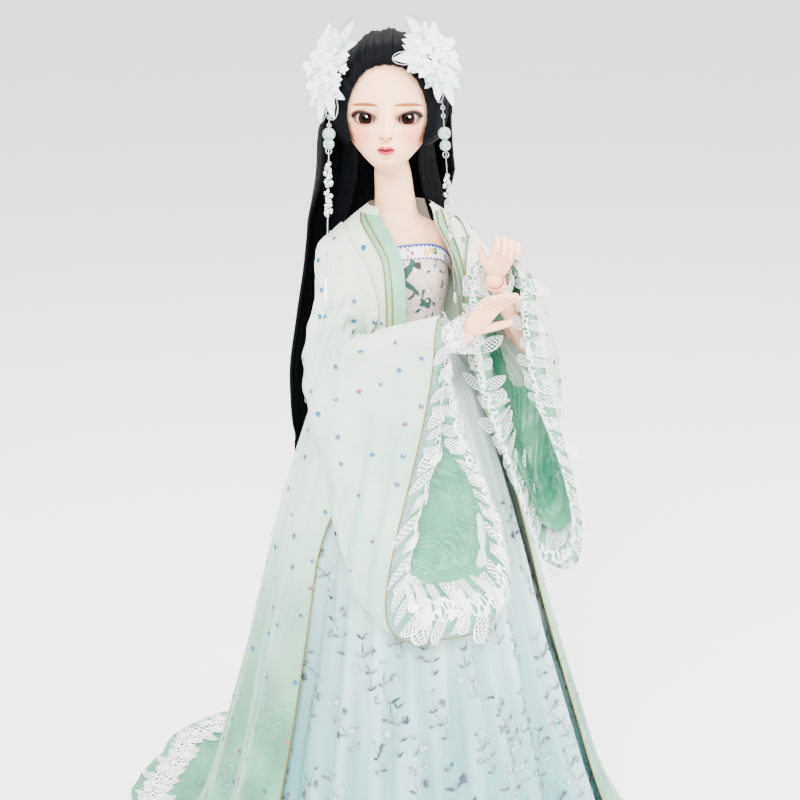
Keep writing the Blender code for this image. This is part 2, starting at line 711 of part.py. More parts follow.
def make_hand(side, label, curl, palm):
    """Ball wrist, palm and five fingers from one cage. curl is the bend of each finger joint, in radians."""
    _, _, wrist, tip = arm_points(side)
    forward = unit(tip - wrist)
    thumb_side = side * unit(np.cross(palm, forward))
    inward = unit(palm - forward * np.dot(palm, forward))
    width = PALM_HALF_WIDTH
    bm = bmesh.new()
    grid = []
    for level, wide, thick in zip(PALM_LEVEL_SHARES, PALM_WIDTH_SHARES, PALM_THICK_SHARES):
        place = wrist + forward * HAND_LENGTH * level
        row = []
        for line in range(5):
            offset = thumb_side * width * wide * (1 - line / 2)
            arch = width * thick * (1 - 0.25 * abs(1 - line / 2))
            back = bm.verts.new(Vector(place + offset - inward * arch))
            face = bm.verts.new(Vector(place + offset + inward * arch))
            row.append((back, face))
        grid.append(row)
    for low, high in zip(grid, grid[1:]):
        for line in range(4):
            for layer in range(2):
                bm.faces.new((low[line][layer], low[line + 1][layer], high[line + 1][layer], high[line][layer]))
        bm.faces.new((low[4][0], low[4][1], high[4][1], high[4][0]))
    bm.faces.new((grid[1][0][0], grid[1][0][1], grid[2][0][1], grid[2][0][0]))
    for line in range(4):
        bm.faces.new((grid[0][line][0], grid[0][line + 1][0], grid[0][line + 1][1], grid[0][line][1]))
    for finger, reach in enumerate(FINGER_REACH_SHARES):
        near, far = grid[2][finger], grid[2][finger + 1]
        ring = [near[0], far[0], far[1], near[1]]
        middle = sum((np.array(vertex.co) for vertex in ring), np.zeros(3)) / 4
        direction = unit(forward + thumb_side * 0.06 * (1.5 - finger))
        face = inward
        segment = HAND_LENGTH * (reach - PALM_LEVEL_SHARES[-1]) / FINGER_JOINTS
        place = middle
        for joint in range(FINGER_JOINTS):
            bend = curl * (0.7 if joint == 0 else 1.0)
            turn = math.cos(bend), math.sin(bend)
            direction, face = direction * turn[0] + face * turn[1], face * turn[0] - direction * turn[1]
            place = place + direction * segment
            following = square_ring(bm, place, thumb_side, face, FINGER_RADIUS * (1.12 - 0.12 * joint))
            bridge(bm, ring, following)
            ring = following
        bm.faces.new(ring)
    ring = [grid[1][0][0], grid[0][0][0], grid[0][0][1], grid[1][0][1]]
    base = sum((np.array(vertex.co) for vertex in ring), np.zeros(3)) / 4
    direction = unit(forward * 0.62 + thumb_side * 0.62 + inward * 0.35)
    spread = unit(thumb_side - direction * direction.dot(thumb_side))
    normal = unit(np.cross(direction, spread))
    if normal.dot(inward) < 0:
        normal = -normal
    for index, reach in enumerate(THUMB_REACH_SHARES):
        place = base + direction * HAND_LENGTH * reach + forward * HAND_LENGTH * 0.05 * index
        corners = ((-1, -1), (1, -1), (1, 1), (-1, 1))
        half = FINGER_RADIUS * (1.35 - 0.14 * index)
        along = [bm.verts.new(Vector(place + spread * half * a + normal * half * b)) for a, b in corners]
        bridge(bm, ring, along)
        ring = along
    bm.faces.new(ring)
    bmesh.ops.recalc_face_normals(bm, faces=bm.faces)
    if bm.calc_volume(signed=True) < 0:
        bmesh.ops.reverse_faces(bm, faces=bm.faces)
    hand = object_from(f"hand_{label}", mesh_from(f"hand_{label}", bm), resin())
    subdivide(hand, 1)
    wrist_ball = as_cutter(ball(f"wrist_ball_{label}", WRIST_BALL, wrist, None, CUTTERS, 12, 8))
    cut(hand, wrist_ball, "UNION")
    return hand


def make_foot(side, label):
    ankle = mirrored(ANKLE, side)
    rows = []
    stations = (
        (0.00, 0.50, 0.26), (0.10, 0.80, 0.46), (0.26, 0.84, 0.86), (0.42, 0.80, 0.66),
        (0.62, 0.94, 0.44), (0.80, 1.00, 0.32), (0.94, 0.80, 0.24), (1.0, 0.45, 0.14),
    )
    start_y = ankle[1] + FOOT_LENGTH * 0.24
    for along, wide, tall in stations:
        half = FOOT_HALF_WIDTH * wide
        height = ANKLE[2] * tall * 0.9
        y = start_y - FOOT_LENGTH * along
        ring = []
        for i in range(10):
            angle = 2 * math.pi * i / 10
            z = height * (0.5 - 0.5 * math.cos(angle))
            ring.append((ankle[0] + half * math.sin(angle), y, SOLE_LIFT + z))
        rows.append(ring)
    foot = loft(f"foot_{label}", rows, resin())
    ankle_ball = as_cutter(ball(f"ankle_ball_{label}", ANKLE_BALL, ankle, None, CUTTERS, 12, 8))
    cut(foot, ankle_ball, "UNION")
    return foot


def bell(theta, z):
    """Distance of the gown's smooth bell from the doll's axis. theta 0 is the front, her left is positive."""
    level = np.clip(np.asarray(z, float) / GOWN_TOP, 0, 1)
    side = HEM_SIDE * smooth_table(level, BELL_LEVEL_SHARES, BELL_SIDE_SHARES)
    front = HEM_FRONT * smooth_table(level, BELL_LEVEL_SHARES, BELL_FRONT_SHARES)
    back = HEM_BACK * smooth_table(level, BELL_LEVEL_SHARES, BELL_BACK_SHARES)
    cosine = np.cos(theta)
    depth = np.where(cosine > 0, front, back)
    return 1 / np.sqrt((np.sin(theta) / side) ** 2 + (cosine / depth) ** 2)


def folds(theta, z):
    depth = FOLD_DEPTH * np.clip((FOLD_TOP - np.asarray(z, float)) / FOLD_TOP, 0, 1)
    waves = sum(
        share * np.sin(count * theta + turn)
        for share, count, turn in zip(FOLD_SHARES, FOLD_COUNTS, FOLD_TURNS)
    )
    return depth * waves


def axis_shift(z):
    """How far the bell's axis stands off the doll's, which grows towards the hem."""
    share = np.clip(1 - np.asarray(z, float) / AXIS_SHIFT_TOP, 0, 1)
    return AXIS_SHIFT_X * share, AXIS_SHIFT_Y * share


def around(theta, radius, z):
    theta, radius, z = np.broadcast_arrays(theta, radius, z)
    shift_x, shift_y = axis_shift(z)
    return np.stack([shift_x + radius * np.sin(theta), shift_y - radius * np.cos(theta), z], axis=-1)


def gown_radius(theta, z):
    return bell(theta, z) + folds(theta, z)


def push_out(points, gap):
    """Moves points that lie inside the robe's bell to gap outside it, as cloth resting on it would lie."""
    shift_x, shift_y = axis_shift(points[..., 2])
    x = points[..., 0] - shift_x
    y = points[..., 1] - shift_y
    theta = np.arctan2(x, -y)
    radius = np.hypot(x, y)
    crest = FOLD_DEPTH * np.clip((FOLD_TOP - points[..., 2]) / FOLD_TOP, 0, 1)
    least = bell(theta, points[..., 2]) + crest + gap
    scale = np.maximum(1.0, least / np.maximum(radius, 1e-6))
    return np.stack([shift_x + x * scale, shift_y + y * scale, points[..., 2]], axis=-1)


def grid_mesh(name, points, wrap):
    """An open quad sheet through a grid of points; wrap joins the last column to the first."""
    rows, columns = points.shape[:2]
    vertices = points.reshape(-1, 3)
    faces = []
    for row in range(rows - 1):
        for column in range(columns if wrap else columns - 1):
            following = (column + 1) % columns
            faces.append(
                (
                    row * columns + column,
                    row * columns + following,
                    (row + 1) * columns + following,
                    (row + 1) * columns + column,
                )
            )
    mesh = bpy.data.meshes.new(name)
    mesh.from_pydata([tuple(vertex) for vertex in vertices], [], faces)
    mesh.shade_smooth()
    return mesh


def sheet(name, points, material, wrap=False, thickness=None):
    obj = object_from(name, grid_mesh(name, points, wrap), material)
    add_modifier(
        obj,
        "SOLIDIFY",
        thickness=CLOTH if thickness is None else thickness,
        offset=0.0,
        use_even_offset=False,
    )
    return obj


def make_skirts():
    """Underskirt and organza skirt, both closed all round and gathered to the waist."""
    for name, inset, columns, rows, material, folded in (
        ("underskirt", UNDERSKIRT_INSET, 24, 5, satin(), 0.0),
        ("skirt", LAYER_GAP, 46, 7, organza(), 1.0),
    ):
        theta = (np.arange(columns) * 2 * math.pi / columns)[None, :]
        outer = name == "skirt"
        low = CLOTH if outer else CLOTH * 3
        top = SKIRT_TOP if outer else SKIRT_TOP - CLOTH
        z = (top - (top - low) * (np.arange(rows + 1) / rows) ** 1.15)[:, None]
        radius = bell(theta, z) + folded * folds(theta, z) - inset
        waist = np.hypot(WAIST_HALF_WIDTH * np.sin(theta), WAIST_HALF_DEPTH * np.cos(theta))
        waist = waist - (0.0 if outer else CLOTH + CLEARANCE * 1.6)
        share = np.clip((z - WAIST_START) / (top - WAIST_START), 0, 1)
        share = share * share * (3 - 2 * share)
        radius = np.minimum(radius, radius * (1 - share) + waist * share)
        points = around(theta, radius, np.broadcast_to(z, radius.shape))
        points[..., 1] += WAIST[1] * share
        sheet(name, points, material, wrap=True)


def robe_edges(z):
    level = np.clip(np.asarray(z, float) / GOWN_TOP, 0, 1)
    right = math.pi * smooth_table(level, ROBE_EDGE_LEVEL_SHARES, ROBE_EDGE_RIGHT_TURN_SHARES)
    left = math.pi * smooth_table(level, ROBE_EDGE_LEVEL_SHARES, ROBE_EDGE_LEFT_TURN_SHARES)
    return right, left


def train_reach(theta):
    """How far the robe runs out over the floor in this direction."""
    away = np.abs((theta - TRAIN_TURN + math.pi) % (2 * math.pi) - math.pi)
    return TRAIN_REACH * np.exp(-((away / TRAIN_SPREAD) ** 2))


def robe_point(across, drop):
    """A point of the robe: across runs from her right front edge round the back, drop from neck to hem, both 0 to 1."""
    across, drop = np.broadcast_arrays(across, drop)
    theta = -math.pi * 2 * across
    reach = np.zeros_like(theta)
    for _ in range(3):
        reach = train_reach(theta)
        length = GOWN_TOP + reach
        fallen = GOWN_TOP - drop * length
        height = np.maximum(fallen, 0) + HEM_ROLL * np.log1p(np.exp(-np.abs(fallen) / HEM_ROLL))
        right, left = robe_edges(height)
        theta = -right - across * (2 * math.pi - right - left)
    run = height - fallen
    radius = gown_radius(theta, height) + np.clip(run - HEM_ROLL * 0.7, 0, None)
    rise = CLOTH * 0.75 + 0.35 * HEM_ROLL * np.clip(run / TRAIN_REACH * 3, 0, 1) * (
        0.5 + 0.5 * np.sin(theta * FOLD_COUNTS[1] + run / HEM_ROLL)
    )
    return around(theta, radius, np.minimum(height, GOWN_TOP) + rise)


def armhole_cutter(side, label):
    centre = mirrored(ARMHOLE_CENTRE, side)
    reach = ARMHOLE_CENTRE[0] * 0.75
    start = centre - np.array([side * reach * 0.75, 0, 0])
    end = centre + np.array([side * reach, 0, 0])
    cutter = rod_cutter(f"armhole_{label}", 1.0, start, end, segments=20)
    depth = (Vector(end) - Vector(start)).length
    cutter.matrix_world = Matrix.Translation((Vector(start) + Vector(end)) / 2) @ Matrix.Rotation(
        math.pi / 2, 4, "Y"
    ) @ Matrix.Rotation(-ARMHOLE_TILT, 4, "Z") @ Matrix.Diagonal((ARMHOLE_HALF_HEIGHT, ARMHOLE_HALF_DEPTH, 1, 1))
    return cutter


def make_robe():
    columns, rows = 35, 12
    across = np.linspace(0, 1, columns)[None, :]
    drop = np.linspace(0.0, 1.0, rows)[:, None] ** 1.5
    robe = sheet("robe", robe_point(across, drop), chiffon())
    for side, label in ((-1, "right"), (1, "left")):
        cut(robe, armhole_cutter(side, label))


def make_lapels():
    """Satin bands along the robe's front edges, lying on the robe."""
    rows = 12
    z = np.linspace(LAPEL_TOP, LAPEL_BOTTOM, rows)[:, None]
    lift = CLOTH * 3.0
    right, left = robe_edges(z)
    for label, sign, edge, width in (
        ("right", -1, right, LAPEL_WIDTH_RIGHT),
        ("left", 1, left, LAPEL_WIDTH_LEFT),
    ):
        share = np.linspace(-0.12, 1, 4)[None, :]
        radius_at_edge = bell(sign * edge, z)
        theta = sign * (edge + share * width / radius_at_edge)
        radius = gown_radius(theta, z) + lift
        sheet(f"lapel_{label}", around(theta, radius, np.broadcast_to(z, radius.shape)), satin())


def make_bodice():
    columns = 24
    theta = np.arange(columns) * 2 * math.pi / columns
    dip = BODICE_DIP * np.abs(np.sin(theta)) ** 3

    def ring(height, gap, low):
        z = height - dip * np.clip((height - low) / (BODICE_TOP - low), 0, 1)
        level = (z - CHEST_BOTTOM) / CHEST_HEIGHT
        side = CHEST_HALF_WIDTH * smooth_table(level, CHEST_LEVEL_SHARES, CHEST_SIDE_SHARES)
        depth = CHEST_HALF_DEPTH * smooth_table(level, CHEST_LEVEL_SHARES, CHEST_DEPTH_SHARES)
        bust = BUST_RISE * np.exp(-(((level - 0.55) / 0.22) ** 2))
        x = side * np.sin(theta)
        y = -depth * np.cos(theta)
        spread = (np.abs(x) / CHEST_HALF_WIDTH - 0.42) / 0.30
        y = y - np.where(np.cos(theta) > 0, bust * np.exp(-spread**2) * np.cos(theta), 0)
        # The cloth bridges the dip between the breasts, never inside the skin
        bridge = 0.55 * bust * np.exp(-((x / CHEST_HALF_WIDTH / 0.45) ** 2)) * np.clip(np.cos(theta), 0, 1)
        y = y - bridge
        length = np.hypot(x, y)
        return np.stack(
            [x * (1 + gap / length), WAIST[1] + y * (1 + gap / length), z], axis=-1
        )

    body_rows = np.linspace(BODICE_TOP, BODICE_BOTTOM, 5)
    gap = BODICE_GAP + CLOTH * 0.5 + CLEARANCE
    sheet("bodice", np.stack([ring(z, gap, BODICE_BOTTOM) for z in body_rows]), finish("print_cloth", (0.9, 0.86, 0.86), 0.7), True)
    trim_rows = np.linspace(BODICE_TOP + CLOTH, BODICE_TOP - TRIM_HEIGHT, 2)
    trim_gap = gap + CLOTH * 1.9
    trim = np.stack([ring(z, trim_gap, BODICE_BOTTOM) for z in trim_rows])
    sheet("bodice_trim", trim, finish("ribbon_trim", (0.75, 0.82, 0.92), 0.6), True)


# Sleeve sections from the elbow to the mouth. along is the place on the arm: 1 at the elbow, 2 at the wrist. The
# other rows are shares of the sleeve's named sizes.
SLEEVE_ALONG = {"right": (1.0, 1.28, 1.56, 1.80), "left": (1.0, 1.28, 1.58, 1.82)}
SLEEVE_SECTION_SHARES = {
    "right": {
        "top": (1.05, 1.00, 0.98, 0.98),
        "drop": (0.19, 0.64, 0.86, 0.97),
        "width": (0.70, 0.64, 0.80, 0.96),
        "outer": (1.35, 1.20, 1.05, 1.00),
        "near": (0.0, -0.25, -0.50, -0.68),
        "far": (0.0, 0.05, 0.30, 0.85),
        "out": (0.0, 0.04, 0.10, 0.15),
    },
    "left": {
        "top": (1.15, 1.30, 1.38, 1.38),
        "drop": (0.18, 0.62, 0.84, 1.0),
        "width": (0.66, 0.66, 0.80, 0.92),
        "outer": (1.05, 1.00, 1.00, 1.00),
        "near": (0.0, 0.0, 0.05, 0.10),
        "far": (0.0, 0.0, 0.05, 0.10),
        "out": (0.0, 0.22, 0.55, 0.90),
    },
}
SHOULDER_LIFT = 0.0060


def sleeve_ring(side, phi):
    """The sleeve's seam round the armhole, lying on the robe."""
    half_height = ARMHOLE_HALF_HEIGHT + SLEEVE_ROOT_MARGIN
    half_depth = ARMHOLE_HALF_DEPTH + SLEEVE_ROOT_MARGIN
    along, across = half_height * np.sin(phi), half_depth * np.cos(phi)
    y = ARMHOLE_CENTRE[1] + along * math.sin(ARMHOLE_TILT) - across * math.cos(ARMHOLE_TILT)
    z = ARMHOLE_CENTRE[2] + along * math.cos(ARMHOLE_TILT) + across * math.sin(ARMHOLE_TILT)
    z = np.minimum(z, GOWN_TOP * 0.988)
    level = z / GOWN_TOP
    wide = HEM_SIDE * smooth_table(level, BELL_LEVEL_SHARES, BELL_SIDE_SHARES)
    front = HEM_FRONT * smooth_table(level, BELL_LEVEL_SHARES, BELL_FRONT_SHARES)
    back = HEM_BACK * smooth_table(level, BELL_LEVEL_SHARES, BELL_BACK_SHARES)
    depth = np.where(y < 0, front, back)
    x = wide * np.sqrt(np.clip(1 - (y / depth) ** 2, 0.04, 1))
    return np.stack([side * x, y, z], axis=-1)


def sleeve_section(side, label, station, phi):
    shoulder, elbow, wrist, _ = arm_points(side)
    along = SLEEVE_ALONG[label][station]
    upper, fore = unit(elbow - shoulder), unit(wrist - elbow)
    level_fore = unit([fore[0], fore[1], 0.0])
    centre = elbow + (wrist - elbow) * (along - 1)
    if station == 0:
        tangent = unit(upper + fore)
        top = unit(fore - upper)
    else:
        tangent = level_fore
        top = np.array([0.0, 0.0, 1.0])
    outer = side * np.cross(top, tangent)
    table = SLEEVE_SECTION_SHARES[label]
    top_radius = SLEEVE_TOP_RADIUS * table["top"][station]
    drop = SLEEVE_DROP * table["drop"][station]
    width = SLEEVE_HALF_WIDTH * table["width"][station]
    cosine, sine = np.cos(phi), np.sin(phi)
    hang = np.clip(-cosine, 0, 1)
    swell = hang * hang * (3 - 2 * hang)
    half = np.where(cosine >= 0, top_radius, top_radius + (width - top_radius) * swell)
    closing = np.where(cosine >= 0, np.abs(sine), np.sqrt(np.clip(1 - hang**4, 0, 1)))
    lateral = half * closing * np.sign(sine) * np.where(sine > 0, table["outer"][station], 1.0)
    vertical = np.where(cosine >= 0, top_radius * cosine, -drop * hang)
    points = centre + vertical[..., None] * top + lateral[..., None] * outer
    lean = hang**1.5
    near, far = table["near"][station], table["far"][station]
    middle = 0.5 * (near + far)
    sweep = middle + (np.where(sine > 0, near, far) - middle) * np.abs(sine) ** 0.5
    points = points + (lean * sweep * SLEEVE_SWEEP)[..., None] * level_fore
    return points + (lean * table["out"][station] * SLEEVE_SWEEP)[..., None] * np.array([side * 1.0, 0, 0])


def sleeve_point(side, label, phi, along):
    """A point of the sleeve: phi runs round it from the top of the forearm over its outer side, along 0 to 1."""
    phi, along = np.broadcast_arrays(phi, along)
    count = len(SLEEVE_ALONG[label])
    root = sleeve_ring(side, phi)
    sections = [sleeve_section(side, label, k, phi) for k in range(count)]
    lift = (SHOULDER_LIFT * np.clip(np.sin(phi) + 0.35, 0, 1))[..., None] * np.array([side * 1.0, 0.0, 0.25])
    middle = 0.5 * (root + sections[0]) + lift
    loops = np.stack([root, middle] + sections)
    last = len(loops) - 1
    place = np.clip(along, 0, 1) * last
    index = np.clip(place.astype(int), 0, last - 1)
    t = (place - index)[..., None]
    rows = np.arange(phi.shape[0])[:, None]
    columns = np.arange(phi.shape[1])[None, :]

    # A cubic B-spline through loops carried on past both ends, so that it starts and stops on the first and last
    loops = np.concatenate([2 * loops[:1] - loops[1:2], loops, 2 * loops[-1:] - loops[-2:-1]])
    weights = ((1 - t) ** 3, 3 * t**3 - 6 * t**2 + 4, -3 * t**3 + 3 * t**2 + 3 * t + 1, t**3)
    points = sum(weight * loops[index + offset, rows, columns] for offset, weight in enumerate(weights)) / 6
    shoulder, elbow, wrist, _ = arm_points(side)
    points = off_arm(points, shoulder, elbow, SHOULDER_BALL + SLEEVE_CLEAR * 1.4)
    points = off_arm(points, elbow, wrist, FOREARM_RADIUS + SLEEVE_CLEAR)
    root_share = np.clip(place, 0, 1)
    near_share = np.clip(np.sin(phi), 0, 1) ** 0.5 * np.clip(place - 1.5, 0, 1)
    gap = SLEEVE_ROOT_CLEAR + (SLEEVE_CLEAR - SLEEVE_ROOT_CLEAR) * root_share + SLEEVE_BODY * near_share
    return push_out(points, gap)


def off_arm(points, start, end, least):
    """Moves points that lie too near an arm's axis out to that distance from it."""
    axis = end - start
    share = np.clip(((points - start) @ axis) / axis.dot(axis), 0, 1)
    away = points - (start + share[..., None] * axis)
    distance = np.linalg.norm(away, axis=-1, keepdims=True)
    return points + away * np.maximum(0.0, least / np.maximum(distance, 1e-6) - 1)


def inward_grid(points, distance, side):
    """A closed tube's grid moved along its own normals towards its inside, then each row drawn to its middle."""
    across = np.roll(points, -1, axis=1) - np.roll(points, 1, axis=1)
    down = np.gradient(points, axis=0)
    normal = np.cross(across, down) * side
    normal /= np.maximum(np.linalg.norm(normal, axis=-1, keepdims=True), 1e-9)
    moved = points + normal * distance
    middle = points.mean(axis=1, keepdims=True)
    columns = points.shape[1]
    low = np.clip(-np.cos(np.arange(columns) * 2 * math.pi / columns), 0, 1)[None, :, None]
    return middle + (moved - middle) * (1 - LINING_SHRINK_SHARE - LINING_RISE_SHARE * low**3)


def make_sleeve(side, label):
    columns, rows = 16, 11
    phi = np.arange(columns)[None, :] * 2 * math.pi / columns
    along = np.linspace(0.0, 1.0, rows)[:, None]
    sheet(f"sleeve_{label}", sleeve_point(side, label, phi, along), chiffon(), wrap=True)
    outer = sleeve_point(side, label, phi, along)
    lining = inward_grid(outer, LINING_GAP, side)[LINING_FIRST_ROW[label] :]
    sheet(f"sleeve_lining_{label}", lining, satin(), wrap=True)


def make_cuff(side, label):
    """The inner sleeve's lace frill, round the forearm just above the wrist."""
    _, elbow, wrist, _ = arm_points(side)
    axis = unit(wrist - elbow)
    start = wrist - axis * CUFF_LENGTH
    half = CLOTH * 0.5
    profile = [
        (CUFF_RADIUS + half, 0.0),
        (CUFF_FLARE + half, -CUFF_LENGTH),
        (CUFF_FLARE - half, -CUFF_LENGTH),
        (CUFF_RADIUS - half, 0.0),
    ]
    aim(turned(f"cuff_lace_{label}", profile, lace(), 12), start, wrist)


def make_wig():
    """The wig cap with its swept-back top hair, over the head from hairline to nape."""
    columns, rows = 20, 7
    pole_tilt = math.radians(48)
    beta = np.arange(columns) * 2 * math.pi / columns
    # beta 0 runs over the crown to the brow; the cap reaches the hairline there and the nape opposite
    around_share = np.abs((beta + math.pi) % (2 * math.pi) - math.pi) / math.pi
    reach = np.radians(smooth_table(around_share, WIG_AROUND_SHARES, WIG_REACH_DEGREES))
    share = (np.arange(rows + 1) / rows)[:, None]
    alpha = reach[None, :] * share
    pole = np.array([0.0, math.cos(pole_tilt), math.sin(pole_tilt)])
    forward = np.array([0.0, -math.sin(pole_tilt), math.cos(pole_tilt)])
    sideways = np.array([1.0, 0.0, 0.0])
    direction = (
        np.cos(alpha)[..., None] * pole
        + (np.sin(alpha) * np.cos(beta))[..., None] * forward
        + (np.sin(alpha) * np.sin(beta))[..., None] * sideways
    )
    azimuth = np.arctan2(direction[..., 0], -direction[..., 1])
    elevation = np.arcsin(np.clip(direction[..., 2], -1, 1))
    skin = head_surface(azimuth, elevation)
    lift = WIG_GAP + WIG_THICKNESS / 2
    length = np.linalg.norm(skin, axis=-1, keepdims=True)
    points = skin * (1 + lift / length)
    bm = bmesh.new()
    apex = bm.verts.new(Vector(points[0, 0]))
    rings = [[bm.verts.new(Vector(point)) for point in row] for row in points[1:]]
    for i in range(columns):
        bm.faces.new((apex, rings[0][(i + 1) % columns], rings[0][i]))
    for low, high in zip(rings, rings[1:]):
        for i in range(columns):
            j = (i + 1) % columns
            bm.faces.new((low[i], low[j], high[j], high[i]))
    bmesh.ops.recalc_face_normals(bm, faces=bm.faces)
    obj = object_from("wig_cap", mesh_from("wig_cap", bm), hair_black())
    obj.matrix_world = head_matrix()
    add_modifier(obj, "SOLIDIFY", thickness=WIG_THICKNESS, offset=0.0, use_even_offset=False)
    return obj


HAIR_LEVEL_SHARES = (0.0, 0.11, 0.29, 0.47, 0.62, 0.73, 0.80, 0.91, 1.0)
HAIR_HALF_WIDTH_SHARES = (0.62, 0.86, 0.88, 0.80, 0.70, 0.64, 0.60, 0.55, 0.54)
HAIR_DEPTH_SHARES = (0.62, 0.66, 0.62, 0.56, 0.54, 0.54, 0.55, 0.595, 0.625)
HAIR_HALF_WIDTH = 0.0840


def hair_point(across, level):
    """The long back hair: across -1 (her right) to 1, level 0 at its tips to 1 under the wig cap."""
    across, level = np.broadcast_arrays(across, level)
    tip = 0.10 * across**2 * (1 - level) ** 3
    z = HAIR_BOTTOM + (HAIR_TOP - HAIR_BOTTOM) * (level + tip)
    wide = HAIR_HALF_WIDTH * smooth_table(level, HAIR_LEVEL_SHARES, HAIR_HALF_WIDTH_SHARES)
    deep = HAIR_HALF_WIDTH * smooth_table(level, HAIR_LEVEL_SHARES, HAIR_DEPTH_SHARES)
    at_head = smooth_table(level, (0.70, 0.86), (0.0, 1.0))
    angle = across * (math.radians(60) + math.radians(28) * at_head)
    lean = HEAD_CENTRE[0] * level
    flat = np.cos(angle) ** (0.5 + 0.5 * at_head)
    points = np.stack([lean + wide * np.sin(angle), HEAD_CENTRE[1] + deep * flat, z], axis=-1)
    return push_out(points, HAIR_CLEAR)


def make_hair():
    across = np.linspace(-1, 1, 13)[None, :]
    level = np.linspace(1.0, 0.0, 10)[:, None]
    sheet("back_hair", hair_point(across, level), hair_black(), False, HAIR_THICKNESS)


ORNAMENT_PLACE = {"right": np.array([-0.0385, -0.0174, 0.0282]), "left": np.array([0.0363, -0.0181, 0.0327])}
ORNAMENT_FRONT_SHARE = 1.0


def make_ornament(side, label):
    """A fused cluster of lace flowers and leaves, pinned to the side of the head."""
    petals = 9
    count = 36
    bm = bmesh.new()
    rim = []
    matrix = head_matrix()
    for i in range(count):
        angle = 2 * math.pi * i / count
        scallop = 0.86 + 0.14 * math.cos(petals * angle)
        rim.append(
            bm.verts.new(
                (
                    ORNAMENT_HALF_WIDTH * scallop * math.sin(angle),
                    0.0,
                    ORNAMENT_HALF_HEIGHT * scallop * math.cos(angle),
                )
            )
        )
    centre = bm.verts.new((0, -ORNAMENT_THICKNESS, 0))
    for i in range(count):
        bm.faces.new((centre, rim[i], rim[(i + 1) % count]))
    bmesh.ops.recalc_face_normals(bm, faces=bm.faces)
    obj = object_from(f"hair_ornament_{label}", mesh_from(f"hair_ornament_{label}", bm), lace())
    spot = ORNAMENT_PLACE[label]
    size = np.array([HEAD_HALF_WIDTH, HEAD_HALF_DEPTH, CROWN_RISE]) + WIG_GAP + WIG_THICKNESS
    outward = unit(unit(spot / size**2) + np.array([0.0, -ORNAMENT_FRONT_SHARE, 0.0]))
    across = unit(np.cross(outward, [0.0, 0.0, 1.0]))
    upward = np.cross(across, outward)
    place = Matrix.Identity(4)
    for row in range(3):
        place[row][0] = across[row]
        place[row][1] = -outward[row]
        place[row][2] = upward[row]
        place[row][3] = spot[row]
    obj.matrix_world = matrix @ place
    add_modifier(obj, "SOLIDIFY", thickness=ORNAMENT_THICKNESS, offset=0.0, use_even_offset=False)
    return obj


PENDANT_TOP = {"right": np.array([-0.0522, -0.0052, 0.5530]), "left": np.array([0.0176, -0.0307, 0.5592])}
PENDANT_END = {"right": np.array([-0.0700, -0.0440, 0.4300]), "left": np.array([0.0195, -0.0510, 0.4270])}
PENDANT_BEAD_SHARES = (0.20, 0.30)
PENDANT_CRYSTAL_SHARES = (0.44, 0.52, 0.66, 0.74)


def make_pendant(label):
    """A turned string: two round beads, four crystals, and a thin strand that ends in a leaf drop."""
    top, end = PENDANT_TOP[label], PENDANT_END[label]
    length = np.linalg.norm(top - end)
    profile = [(STRAND_RADIUS, 0.0)]
    for share in PENDANT_BEAD_SHARES:
        profile += arc_points(BEAD_RADIUS, -length * share, math.radians(10), math.radians(170), 3)
    for share in PENDANT_CRYSTAL_SHARES:
        centre = -length * share
        profile += [
            (STRAND_RADIUS, centre + CRYSTAL_RADIUS * 1.1),
            (CRYSTAL_RADIUS, centre),
            (STRAND_RADIUS, centre - CRYSTAL_RADIUS * 1.1),
        ]
    leaf = CRYSTAL_RADIUS * 0.45
    profile += [(STRAND_RADIUS, -length + CRYSTAL_RADIUS * 3), (leaf, -length + CRYSTAL_RADIUS), (STRAND_RADIUS, -length)]
    inner = STRAND_RADIUS * 0.4
    profile += [(inner, -length), (inner, 0.0)]
    glass = finish("mint_glass", (0.7, 0.88, 0.82), 0.15)
    return aim(turned(f"pendant_{label}", profile, glass, 6), top, end)


def make_doll():
    make_chest()
    make_hips()
    for side, label in ((-1, "right"), (1, "left")):
        make_arm(side, label)
        make_leg(side, label)
        make_foot(side, label)
    make_hand(-1, "right", math.radians(14), np.array([0.30, -0.90, 0.25]))
    make_hand(1, "left", math.radians(60), np.array([-0.30, -1.0, 0.10]))
    make_head()
    make_neck_hook()
    shoulder = SHOULDER - np.array([0.0, CLEARANCE * 4, 0.0])
    past = SHOULDER_BALL + CLEARANCE * 3
    elastic("elastic_shoulders", mirrored(shoulder, -1), shoulder, past, past)
    low = np.array([NECK_TOP[0], WAIST[1] + CLEARANCE * 4, WAIST[2]])
    elastic("elastic_torso", low, NECK_TOP, WAIST_BALL + CLEARANCE * 4, NECK_BALL * 0.48)


def make_gown():
    make_bodice()
    make_skirts()
    make_robe()
    make_lapels()
    for side, label in ((-1, "right"), (1, "left")):
        make_sleeve(side, label)
        make_cuff(side, label)


def make_wig_and_ornaments():
    make_wig()
    make_hair()
    for side, label in ((-1, "right"), (1, "left")):
        make_ornament(side, label)
        make_pendant(label)


def move_to_frame():
    """Puts the origin on the floor under the middle of the whole part."""
    bpy.context.view_layer.update()
    shift = Matrix.Translation((-FRAME_CENTRE_X, -FRAME_CENTRE_Y, -FRAME_FLOOR))
    for obj in bpy.data.objects:
        obj.matrix_world = shift @ obj.matrix_world


def main():
    clear_scene()
    make_collections()
    make_doll()
    make_gown()
    make_wig_and_ornaments()
    move_to_frame()


main()
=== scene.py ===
"""A ball jointed doll in a layered gown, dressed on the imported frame. Metres, +Z up, her torso faces -Y.

The cloth follows the part's own formulas in the part's frame, and placed() moves each finished point to
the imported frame. Each operator makes one piece or group of pieces, and main() runs them in order.
"""

import math

import bmesh
import bpy
import numpy as np
from bpy.props import FloatProperty, FloatVectorProperty, PointerProperty
from mathutils import Matrix, Vector


